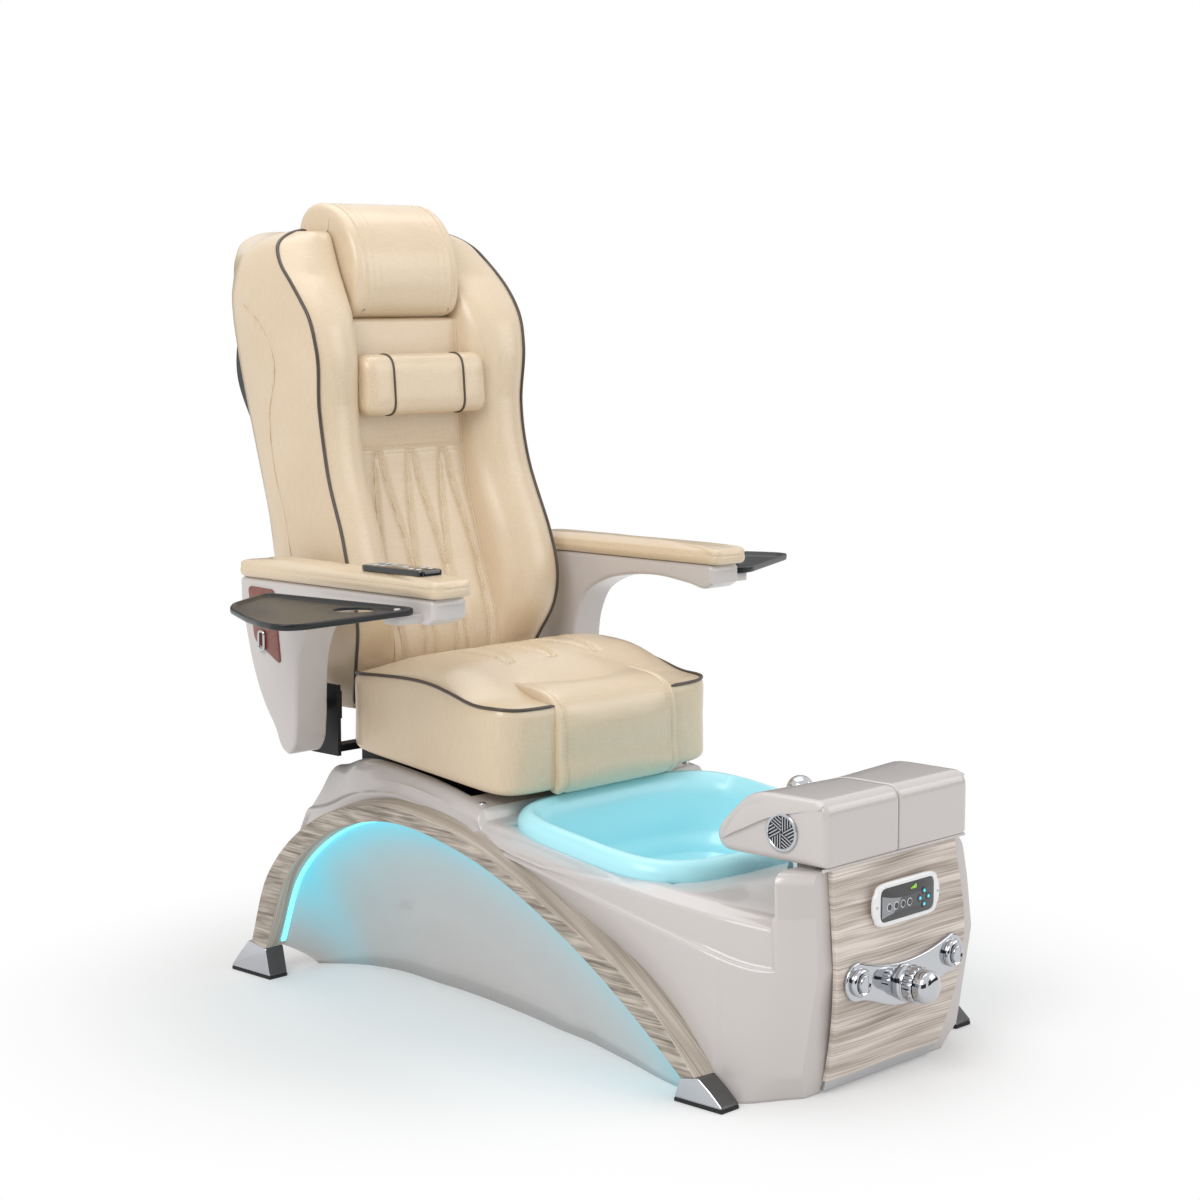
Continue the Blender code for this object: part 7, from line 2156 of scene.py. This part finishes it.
@dataclass
class FrontPanel:
    """Curved laminate front with its kick strip and control display."""

    panel_half: tuple = ((0.024, 0.155), (0.237, 0.177), (0.382, 0.170))
    panel_z: tuple = (0.024, 0.3845)
    depth: float = 0.0117
    kick_half: float = 0.150
    kick_z: tuple = (0.006, 0.0234)
    display_z: float = 0.312
    display_half: tuple = (0.091, 0.037)
    screen_half: tuple = (0.0737, 0.0287)
    display_back: float = -0.7123
    display_ear: float = 0.007
    steps: int = 160

    def plate(self, name: str, levels: Array, half: Array, front: float, depth: float,
              edge: float) -> bpy.types.Object:
        """Curved plate: rows by height, a rounded rectangle in plan that follows the front curve.

        Args:
            name: Object name.
            levels: Height of each row.
            half: Half the width of each row.
            front: How far the front lies behind the curve.
            depth: Thickness.
            edge: Radius of the upright edges.

        Returns:
            The plate.
        """
        rows = []
        for z, wide in zip(levels, half):
            plan = box_outline(wide, depth / 2.0, edge, 5)
            plan[:, 1] += float(curve(PANEL_CURVE, z)) + front + depth / 2.0
            rows.append(np.column_stack([plan, np.full(len(plan), z)]))
        return lattice(name, np.array(rows))

    def build(self) -> None:
        """Panel, kick strip, display and its icons."""
        levels = np.linspace(*self.panel_z, 60)
        panel = self.plate("front_board", levels, curve(self.panel_half, levels), 0.0, self.depth, 0.003)
        settle(panel, ASH_FRONT, "base", "ash_laminate", "front_panel")
        levels = np.linspace(*self.kick_z, 8)
        kick = self.plate("kick_rail", levels, np.full(8, self.kick_half), self.depth - 0.008, 0.008, 0.002)
        settle(kick, ALUMINIUM, "base", "aluminium", "kick_strip")
        self.build_display()

    def flat(self, outline: Array) -> Array:
        """Outline moved to the display's height."""
        return outline + np.array([0.0, self.display_z])

    def build_display(self) -> None:
        """Bezel round a glass with generic icons."""
        half_x, half_z = self.display_half
        ring = resampled(ellipse(half_x - self.display_ear, half_z, 7.0, 400), 2 * self.steps)
        bulge = np.clip(1.0 - (ring[:, 1] / (0.62 * half_z)) ** 2, 0.0, 1.0) ** 0.7
        ring[:, 0] += np.sign(ring[:, 0]) * self.display_ear * bulge
        outline = self.flat(resampled(ring, self.steps))
        window = self.flat(resampled(box_outline(*self.screen_half, 0.012), self.steps))
        start = int(np.argmin(np.linalg.norm(window - outline[0], axis=1)))
        window = np.roll(window, -start, axis=0)
        front, back = self.display_back - 0.008, self.display_back
        normal = outward(outline)
        rings = [(outline - normal * 0.001, back), (outline, back - 0.002), (outline, back - 0.005),
                 (outline - normal * 0.0015, front + 0.0008), (outline - normal * 0.0045, front),
                 (window + outward(window) * 0.002, front), (window, front + 0.0008), (window, back - 0.003)]
        points = stacked(rings, Axis.Y)
        settle(lattice("display_frame", points, sharp=45.0), WHITE_GLOSS, "base", "white_plastic",
               "display_bezel")
        dome = ((0.0026, 0.0004), (0.0026, -0.0004), (0.0016, -0.0010), (0.0003, -0.0012))
        screws = [turned("screw", dome, (side.value * (half_x - 0.0068), front, self.display_z), Axis.Y, 20)
                  for side in Side]
        settle(merged("display_screws", screws), CHROME, "base", "chrome")
        pane = resampled(box_outline(self.screen_half[0] - 0.0003, self.screen_half[1] - 0.0003, 0.012), 120)
        face = front + 0.001
        glass = slab("display_glass", self.flat(pane), face, back - 0.0033, Axis.Y, 0.0008)
        settle(glass, SCREEN, "base", "screen_glass", "display_screen")
        self.build_icons(face)

    def disc(self, x: float, z: float, radius: float, face: float) -> bpy.types.Object:
        """Thin round spot printed on the glass."""
        return turned("spot", ((radius, 0.0), (radius, -0.0003), (radius * 0.2, -0.0004)),
                      (x, face, self.display_z + z), Axis.Y, 28)

    def band(self, name: str, top: Sequence, low: Sequence, face: float) -> bpy.types.Object:
        """Printed field between a sagging top edge and an arched bottom edge.

        Args:
            name: The field's name.
            top: First and last X of the top edge.
            low: First and last X of the bottom edge.
            face: The glass's front.

        Returns:
            The field, 0.3 mm thick.
        """
        upper, lower = np.linspace(*top, 30), np.linspace(*low, 30)
        edge = np.vstack([np.column_stack([lower, -0.015 - 0.007 * (lower / 0.07) ** 2]),
                          np.column_stack([upper, 0.006 + 0.010 * (upper / 0.07) ** 2])[::-1]])
        return slab(name, self.flat(edge), face - 0.0003, face, Axis.Y, 0.0001, 2)

    def build_icons(self, face: float) -> None:
        """Grey field with a paler left end, a row of ringed keys, four lit dots and a level readout.

        Args:
            face: The glass's front.
        """
        field = self.band("display_field", (-0.070, 0.070), (-0.070, 0.070), face)
        settle(field, GREY_GLASS, "base", "screen_glass")
        end = self.band("display_field_end", (-0.070, -0.016), (-0.070, -0.038), face - 0.0003)
        settle(end, PALE_GLASS, "base", "screen_glass")
        front = face - 0.0006
        keys = [(-0.050 + 0.0185 * k, -0.005) for k in range(4)]
        pads = [(0.046 + 0.0115 * math.cos(k * math.pi / 2),
                 -0.0045 + 0.0115 * math.sin(k * math.pi / 2)) for k in range(4)]
        settle(merged("display_rings", [self.disc(*place, 0.0066, front) for place in keys]), PALE_ICON,
               "base", "screen_glass")
        dark = [self.disc(*place, 0.0056, front - 0.0004) for place in keys]
        dark += [self.disc(*place, 0.0068, front) for place in pads]
        settle(merged("display_keys", dark), SCREEN, "base", "screen_glass")
        dots = [self.disc(*place, 0.0027, front - 0.0004) for place in pads]
        settle(merged("display_dots", dots), CYAN_ICON, "base", "screen_glass")
        bars = []
        for k in range(4):
            tall = 0.0025 + 0.0015 * k
            middle = np.array([0.010 + 0.0040 * k, 0.016 + tall / 2.0])
            outline = self.flat(box_outline(0.0014, tall / 2.0, 0.0003, 3) + middle)
            bars.append(slab("bar", outline, front - 0.0003, front, Axis.Y, 0.0001, 2))
        settle(merged("display_bars", bars), GREEN_ICON, "base", "screen_glass")


@dataclass
class Faucet:
    """Bow-tie faucet plate with two end knobs and a mixing valve in the middle."""

    z: float = 0.196
    end_x: float = 0.128
    end_radius: float = 0.033
    waist: float = 0.011
    lobe: float = 0.030
    valve_drop: float = 0.026
    back: float = -0.71255
    depth: float = 0.007
    run_gap: float = 0.0004

    def outline(self) -> Array:
        """Plate outline: round ends, a top edge that sags to the waist and a lobe below the valve.

        Returns:
            The outline's points, as (x, z).
        """
        x = np.linspace(-self.end_x, self.end_x, 120)
        share = (x / self.end_x) ** 2
        top = self.waist + (self.end_radius - self.waist) * share
        low = -self.end_radius - self.lobe * (1.0 - share) ** 2
        turn = np.linspace(-math.pi / 2.0, math.pi / 2.0, 40)
        arc = np.column_stack([self.end_x + self.end_radius * np.cos(turn), self.end_radius * np.sin(turn)])
        ring = np.vstack([arc, np.column_stack([x, top])[-2:0:-1], -arc, np.column_stack([x, low])[1:-1]])
        return resampled(ring, 280) + np.array([0.0, self.z])

    def build(self) -> None:
        """Plate, valve and knobs."""
        front = self.back - self.depth
        plate = slab("tap_plate", self.outline(), front, self.back, Axis.Y, 0.003, 5)
        settle(plate, CHROME, "base", "chrome", "faucet_plate")
        level = self.z - self.valve_drop
        valve_y = front - 0.0003
        collar = ((0.032, 0.0), (0.032, -0.0035), (0.0305, -0.005), (0.0295, -0.0065), (0.0305, -0.008),
                  (0.0318, -0.0095), (0.0312, -0.0115), (0.0297, -0.012), (0.008, -0.012), (0.008, -0.0468))
        settle(turned("valve_collar", collar, (0.0, valve_y, level), Axis.Y, 96), CHROME, "base", "chrome",
               "valve_body")
        flow_y = valve_y - 0.012 - self.run_gap
        flow = np.array([(0.0085, 0.0), (0.0295, 0.0), (0.031, -0.0016), (0.031, -0.0164), (0.0295, -0.018),
                         (0.0085, -0.018)])
        ribs = np.array([0.0, 0.0006, 0.0016, 0.0016, 0.0006, 0.0])
        ring = turned("flow_ring", flow, (0.0, flow_y, level), Axis.Y, 180, 20, ribs, wrap=True)
        settle(ring, CHROME, "flow_control", "chrome", "flow_knob")
        mixer_y = flow_y - 0.018 - self.run_gap
        mixer = np.array([(0.0085, -0.016), (0.0085, 0.0), (0.0262, 0.0), (0.028, -0.0012),
                          (0.028, -0.0135), (0.0272, -0.0175), (0.0245, -0.0219), (0.0190, -0.0254),
                          (0.0115, -0.0274), (0.0003, -0.0280)])
        grip = turned("mixer_grip", mixer, (0.0, mixer_y, level), Axis.Y, 96)
        settle(grip, CHROME, "temperature_control", "chrome", "temperature_knob")
        for node, body, side in (("jet_knob", "jet_control", Side.RIGHT),
                                 ("drain_knob", "drain_control", Side.LEFT)):
            self.build_end(node, body, side.value * self.end_x, front - self.run_gap)

    def build_end(self, node: str, body: str, x: float, y: float) -> None:
        """Round knob: a crested ring round a sunk disc, with a half-moon grip on the disc.

        Args:
            node: The solid that it stands for.
            body: The moving body.
            x: Where it sits across the plate.
            y: Where its back lies.
        """
        disc = ((0.024, 0.0), (0.024, -0.0045), (0.0232, -0.0075), (0.0215, -0.0095), (0.0200, -0.0102),
                (0.0185, -0.0096), (0.0172, -0.0078), (0.0160, -0.0070), (0.0003, -0.0070))
        base = turned("knob", disc, (x, y, self.z), Axis.Y, 72)
        turn = np.linspace(math.pi * 0.5, math.pi * 1.5, 30)
        moon = np.vstack([0.0152 * np.column_stack([np.cos(turn), np.sin(turn)]),
                          [(0.005, -0.013), (0.005, 0.013)]])
        moon = resampled(moon, 90) + np.array([x, self.z])
        grip = slab("grip", moon, y - 0.0158, y - 0.0066, Axis.Y, 0.0025, 5)
        settle(merged(node + "_body", [base, grip]), CHROME, body, "chrome", node)


@dataclass
class Footrest:
    """Two flip-up footrest halves with grilles on their ends, and the hand sprayer behind them."""

    half: float = 0.198
    seam: float = 0.003
    front_y: float = -0.700
    rear_y: float = -0.466
    middle_rear_y: float = -0.540
    low_z: float = 0.3911
    high_z: float = 0.5001
    break_y: float = -0.555
    nose_z: float = 0.432
    radii: tuple = (0.006, 0.026, 0.03, 0.04, 0.03, 0.012, 0.006, 0.008)
    hinge: tuple = (-0.694, 0.3878)
    visor: tuple = ((-0.690, 0.4885), (-0.657, 0.480), (-0.617, 0.470), (-0.582, 0.459), (-0.530, 0.434),
                    (-0.509, 0.424), (-0.484, 0.410))
    visor_reach: float = 0.007
    grille: tuple = (-0.612, 0.441)
    grille_radius: float = 0.033
    sprayer: tuple = (0.0, -0.489, 0.4655)
    ball_radius: float = 0.0245
    holder_z: float = 0.3252
    end_round: float = 0.014

    def section(self, share: float, pull: float) -> Array:
        """Corners of the section at one share of the half's width, drawn in by pull.

        Args:
            share: 0 at the seam and 1 at the end.
            pull: How far the corners are drawn in.

        Returns:
            The corners, as (y, z).
        """
        rear = self.middle_rear_y + (self.rear_y - self.middle_rear_y) * float(ease(share))
        brow = self.break_y - 0.020 * (1.0 - share)
        low, high = self.low_z + pull, self.high_z - pull
        return np.array([(self.front_y + pull, low), (self.front_y + pull, high), (brow, high),
                         (brow + 0.03, high - 0.012), (rear - 0.014, self.nose_z + 0.006),
                         (rear - pull, self.nose_z - 0.012), (rear - 0.006 - pull, low + 0.008),
                         (rear - 0.020 - pull, low)])

    def build(self) -> None:
        """Halves, grilles, hinge and sprayer."""
        round_end = np.linspace(0.0, math.pi / 2.0, 7)
        end = self.end_round
        start = self.seam / 2.0
        wide = self.half - start
        places = [(0.0, 0.0025), (0.0008 / wide, 0.0008), (0.0025 / wide, 0.0)]
        places += [(share, 0.0) for share in np.linspace(0.04, 1.0 - end / wide, 26)]
        places += [(1.0 - end * (1.0 - math.sin(t)) / wide, end * (1.0 - math.cos(t))) for t in round_end[1:]]
        for side in Side:
            word = side.word
            body = "footrest_" + word
            rows = []
            for share, pull in places:
                ring = rounded(self.section(share, pull), np.array(self.radii), 7)
                rows.append(np.column_stack([np.full(len(ring), start + share * wide), ring]))
            half = lattice("footrest_half_" + word, side.place(np.array(rows)), sharp=45.0)
            settle(half, PLAIN_SHELL, body, "shell_grey", "footrest_" + word)
            self.build_visor(side, body)
            self.build_grille(side, body)
        rod = turned("hinge_rod", ((0.003, -self.half + 0.004), (0.003, self.half - 0.004)),
                     (0.0, *self.hinge), Axis.X, 24)
        settle(rod, PLAIN_SHELL, "base", "grey_steel", "footrest_hinge")
        self.build_sprayer()

    def build_grille(self, side: Side, body: str) -> None:
        """Chrome ring with bars in six sectors, each set of bars parallel to its sector's first edge.

        Args:
            side: Which half.
            body: The half's moving body.
        """
        y, z = self.grille
        radius = self.grille_radius
        face = side.value * (self.half + 0.0003)
        inner, pitch, width = 0.82 * radius, 0.0052, 0.0021
        dark = ((0.86 * radius, 0.0), (0.86 * radius, 0.0010), (0.0004, 0.0012))
        disc = turned("end_grille_back_" + side.word, np.array(dark) * np.array([1.0, side.value]),
                      (face, y, z), Axis.X, 48)
        settle(disc, BLACK_SATIN, body, "black_plastic")
        rim = np.array([(inner, 0.0), (inner, 0.0036), (0.86 * radius, 0.0048),
                        (0.93 * radius, 0.0050), (0.985 * radius, 0.0038), (radius, 0.0015), (radius, 0.0)])
        parts = [turned("ring", rim * np.array([1.0, side.value]), (face, y, z), Axis.X, 72, wrap=True)]
        low, high = sorted((face + side.value * 0.0008, face + side.value * 0.0032))
        for sector in range(6):
            angle = sector * math.pi / 3.0 + math.pi / 6.0
            along = np.array([math.cos(angle), math.sin(angle)])
            across = np.array([-math.sin(angle), math.cos(angle)])
            for offset in np.arange(0.5, 4.0) * pitch:
                first = offset / math.tan(math.pi / 3.0)
                last = math.sqrt(inner**2 - offset**2)
                if last - first > 0.004:
                    ends = np.array([along * first, along * last]) + across * offset
                    aside = across * width / 2
                    bar = np.array([ends[0] - aside, ends[1] - aside, ends[1] + aside, ends[0] + aside])
                    outline = rounded(bar + np.array([y, z]), 0.0006, 3)
                    parts.append(slab("bar", outline, low, high, Axis.X, 0.0005, 3))
        settle(merged("end_grille_" + side.word, parts), CHROME, body, "chrome", "vent_grille_" + side.word)

    def build_visor(self, side: Side, body: str) -> None:
        """Lip over the end: stands out from the end face above a line that climbs from nose to front.

        Args:
            side: Which half.
            body: The half's moving body.
        """
        line = np.array(self.visor)
        y = np.linspace(line[0, 0], line[-1, 0], 50)
        low = curve(line, y)
        ring = rounded(self.section(0.93, 0.0), np.array(self.radii), 16)
        top = ring[ring[:, 1] > self.nose_z - 0.012]
        order = np.argsort(top[:, 0])
        high = np.interp(y, top[order, 0], top[order, 1]) - 0.0012
        share = np.linspace(0.0, 1.0, 50)
        reach = self.visor_reach * ease(1.6 * share) * np.sqrt(np.clip(8.0 * (1.0 - share), 0.05, 1.0))
        tall = np.maximum(high - low, 0.002)
        turn = np.linspace(0.0, math.pi / 2.0, 14)
        base = self.half - self.end_round
        columns = [(base, low + 0.002), (self.half, low)]
        columns += [(base + (self.end_round + reach) * math.cos(t),
                     low + 0.0015 + (tall - 0.0015) * math.sin(t)) for t in turn]
        points = np.stack([np.column_stack([np.broadcast_to(x, y.shape), y, z]) for x, z in columns], axis=1)
        lip = lattice("footrest_lip_" + side.word, side.place(points), sharp=50.0)
        settle(lip, PLAIN_SHELL, body, "shell_grey")

    def build_sprayer(self) -> None:
        """Ball-shaped spray head on a stem in its holder."""
        x, y, z = self.sprayer
        centre = (x, y, self.holder_z)
        cup = ((0.0005, 0.012), (0.0094, 0.012), (0.0094, 0.060), (0.0150, 0.060), (0.0176, 0.0592),
               (0.019, 0.057), (0.019, 0.010), (0.0215, 0.004), (0.0215, 0.0), (0.0005, 0.0))
        settle(turned("sprayer_socket", cup, centre, Axis.Z, 64), CHROME, "base", "chrome", "sprayer_holder")
        lowest = -math.acos(0.009 / self.ball_radius)
        angle = np.linspace(lowest, math.radians(89.0), 40)
        ball = np.column_stack([self.ball_radius * np.cos(angle),
                                z - self.holder_z + self.ball_radius * np.sin(angle)])
        head = np.vstack([[(0.0005, 0.0125), (0.009, 0.0125)], ball])
        settle(turned("spray_head", head, centre, Axis.Z, 64), CHROME, "hand_sprayer", "chrome", "sprayer")


# Hidden hardware and the studio


@dataclass
class BackCover:
    """Moulded cover behind the back: a bulging skin that is closed at its top and bottom."""

    low_z: float = 0.6405
    high_z: float = 1.3845
    half: tuple = ((0.64, 0.196), (0.68, 0.2035), (0.95, 0.2045), (1.06, 0.226), (1.14, 0.238),
                   (1.21, 0.228), (1.28, 0.2045), (1.345, 0.195), (1.385, 0.180))
    depth: tuple = ((0.64, 0.033), (0.85, 0.045), (1.02, 0.078), (1.10, 0.100), (1.17, 0.1075),
                    (1.23, 0.096), (1.30, 0.062), (1.385, 0.032))
    wall: float = 0.004
    gap: float = 0.0006
    bulge: tuple = (0.55, 0.75)
    rows: int = 80
    columns: int = 22

    def build(self) -> None:
        """Skin by height, open to the front, with a wall on its inner side."""
        rows = []
        turn = np.linspace(0.0, math.pi / 2.0, self.columns)
        for z in np.linspace(self.low_z, self.high_z, self.rows):
            wide, deep = float(curve(self.half, z)), float(curve(self.depth, z))
            rear = back_plane(z) + self.gap
            x = wide * np.cos(turn) ** self.bulge[0]
            y = rear + deep * np.sin(turn) ** self.bulge[1]
            left = np.column_stack([x, y, np.full(self.columns, z)])
            rows.append(np.vstack([left, (left * np.array([-1.0, 1.0, 1.0]))[-2::-1]]))
        skin = lattice("back_cover_moulding", np.array(rows), wrap_columns=False, lids=Lid.FLAT)
        thicken(skin, self.wall)
        settle(skin, BLACK_COVER, "back", "black_plastic", "back_shell")


@dataclass
class Hardware:
    """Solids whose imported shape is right: each gets its real material."""

    nodes: dict

    def build(self) -> None:
        """Dresses every solid that no finer piece stands for."""
        plan = {BLACK_STEEL: ("floor_frame", "seat_pedestal", "seat_frame", "back_frame"),
                BLACK_SATIN: ("control_box", "massage_carriage"), ALUMINIUM: ("slide_actuator",),
                ZINC: ("slide_rod", "pivot_pin_right", "pivot_pin_left"),
                WHITE_GLOSS: ("drain_pipe", "jet_impeller")}
        for finish, names in plan.items():
            finish.put(*(self.nodes[name] for name in names))
            log.info("%s on %s", finish.name, ", ".join(names))


@dataclass
class Studio:
    """Camera, lights, floor and white surroundings."""

    eye: tuple = (-3.29802804, -3.14420118, 1.32465065)
    pitch: float = 90.0 - 7.1770637
    heading: float = -46.5
    lens: float = 74.994
    floor_half: float = 60.0
    band_radius: float = 7.0
    band_z: tuple = (0.05, 2.8)
    band_arcs: tuple = ((-160.0, -100.0), (-80.0, -20.0), (20.0, 90.0))
    lamps: tuple = (("key", (-3.6, -1.2, 3.4), (0.0, 0.0, 0.7), 2.4, 92.0),
                    ("fill", (2.8, -3.2, 2.2), (0.0, 0.0, 0.6), 2.6, 40.0),
                    ("top", (0.4, 0.6, 3.8), (0.0, 0.0, 0.5), 2.8, 42.0))
    shadow_reach: tuple = (0.6, 1.25)
    ambient: float = 0.53

    def build(self) -> None:
        """Everything round the chair."""
        self.camera()
        for lamp in self.lamps:
            self.lamp(*lamp)
        self.horizon()
        self.floor()
        self.world()

    def camera(self) -> None:
        """Camera where the photograph was taken from."""
        data = bpy.data.cameras.new("camera")
        data.lens = self.lens
        data.sensor_width = 36.0
        data.clip_end = 200.0
        made = bpy.data.objects.new("camera", data)
        made.location = self.eye
        made.rotation_euler = (math.radians(self.pitch), 0.0, math.radians(self.heading))
        bpy.context.scene.collection.objects.link(made)
        bpy.context.scene.camera = made

    def lamp(self, name: str, place: Sequence, aim: Sequence, size: float, power: float) -> None:
        """Square soft box that faces a point.

        Args:
            name: The light's name.
            place: Where it stands.
            aim: What it faces.
            size: Its side.
            power: Its power in watts.
        """
        data = bpy.data.lights.new(name, "AREA")
        data.size = size
        data.energy = power
        made = bpy.data.objects.new(name, data)
        made.location = place
        made.rotation_euler = (Vector(aim) - Vector(place)).to_track_quat("-Z", "Y").to_euler()
        bpy.context.scene.collection.objects.link(made)

    def horizon(self) -> None:
        """Dark upright bands far outside the picture, arcs of one circle, for the chrome to mirror."""
        for number, ends in enumerate(self.band_arcs):
            turn = np.radians(np.linspace(*ends, 24))
            ring = np.column_stack([np.cos(turn), np.sin(turn)]) * self.band_radius
            rows = np.vstack([np.column_stack([ring, np.full(24, z)]) for z in self.band_z])
            wall = add_mesh(f"horizon_{number}", rows, net(2, 24, False, False).tolist())
            BLACK_COVER.put(wall)
            wall.visible_camera = False
            wall.visible_diffuse = False
            wall.visible_transmission = False
            wall.visible_shadow = False

    def floor(self) -> None:
        """Pale floor that keeps the shadow: diffuse near the chair and white light away from it."""
        half = self.floor_half
        corners = np.array([(-half, -half, 0.0), (half, -half, 0.0), (half, half, 0.0), (-half, half, 0.0)])
        floor = add_mesh("studio_floor", corners, [[0, 1, 2, 3]])
        if floor.data.polygons[0].normal.z < 0.0:
            floor.data.flip_normals()
        made = bpy.data.materials.new("studio_floor")
        made.use_nodes = True
        tree = made.node_tree
        shader = tree.nodes["Principled BSDF"]
        shader.inputs["Base Color"].default_value = linear("#F4F4F4")
        shader.inputs["Roughness"].default_value = 0.6
        shader.inputs["Specular IOR Level"].default_value = 0.0
        place = add_node(tree, "ShaderNodeTexCoord").outputs["Object"]
        away = add_node(tree, "ShaderNodeVectorMath", {0: place}, operation="LENGTH").outputs["Value"]
        near, far = self.shadow_reach
        share = add_node(tree, "ShaderNodeMapRange", {"Value": away, "From Min": near, "From Max": far,
                                                      "To Min": 0.15, "To Max": 1.0},
                         interpolation_type="SMOOTHSTEP")
        white = add_node(tree, "ShaderNodeEmission", {"Color": (1.0, 1.0, 1.0, 1.0), "Strength": 1.0})
        mix = add_node(tree, "ShaderNodeMixShader", {0: share.outputs["Result"], 1: shader.outputs[0],
                                                     2: white.outputs[0]})
        tree.links.new(mix.outputs[0], tree.nodes["Material Output"].inputs["Surface"])
        floor.data.materials.append(made)

    def world(self) -> None:
        """White to the eye, to mirrors and through glass, and a plain level of light for the rest."""
        scene = bpy.context.scene
        scene.view_settings.view_transform = "Standard"
        world = bpy.data.worlds.new("studio")
        world.use_nodes = True
        scene.world = world
        tree = world.node_tree
        back = tree.nodes["Background"]
        back.inputs["Color"].default_value = (1.0, 1.0, 1.0, 1.0)
        rays = add_node(tree, "ShaderNodeLightPath")
        seen = rays.outputs["Is Camera Ray"]
        for kind in ("Is Glossy Ray", "Is Transmission Ray"):
            seen = add_node(tree, "ShaderNodeMath", {0: seen, 1: rays.outputs[kind]},
                            operation="MAXIMUM").outputs[0]
        level = add_node(tree, "ShaderNodeMapRange", {"Value": seen, "To Min": self.ambient, "To Max": 1.0})
        tree.links.new(level.outputs["Result"], back.inputs["Strength"])


def main() -> None:
    """Builds the chair piece by piece."""
    logging.basicConfig(level=logging.INFO, format="%(message)s")
    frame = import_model()
    SeatCushion().build()
    BackCushion().build()
    Headrest().build()
    NeckPillow().build()
    BackCover().build()
    for side in Side:
        Arm(side).build()
        Tray(side).build()
    Remote().build()
    BaseShell().build()
    for side in Side:
        Arch(side).build()
    Basin().build()
    FrontPanel().build()
    Faucet().build()
    Footrest().build()
    Hardware(frame["nodes"]).build()
    Studio().build()


if __name__ == "__main__":
    main()
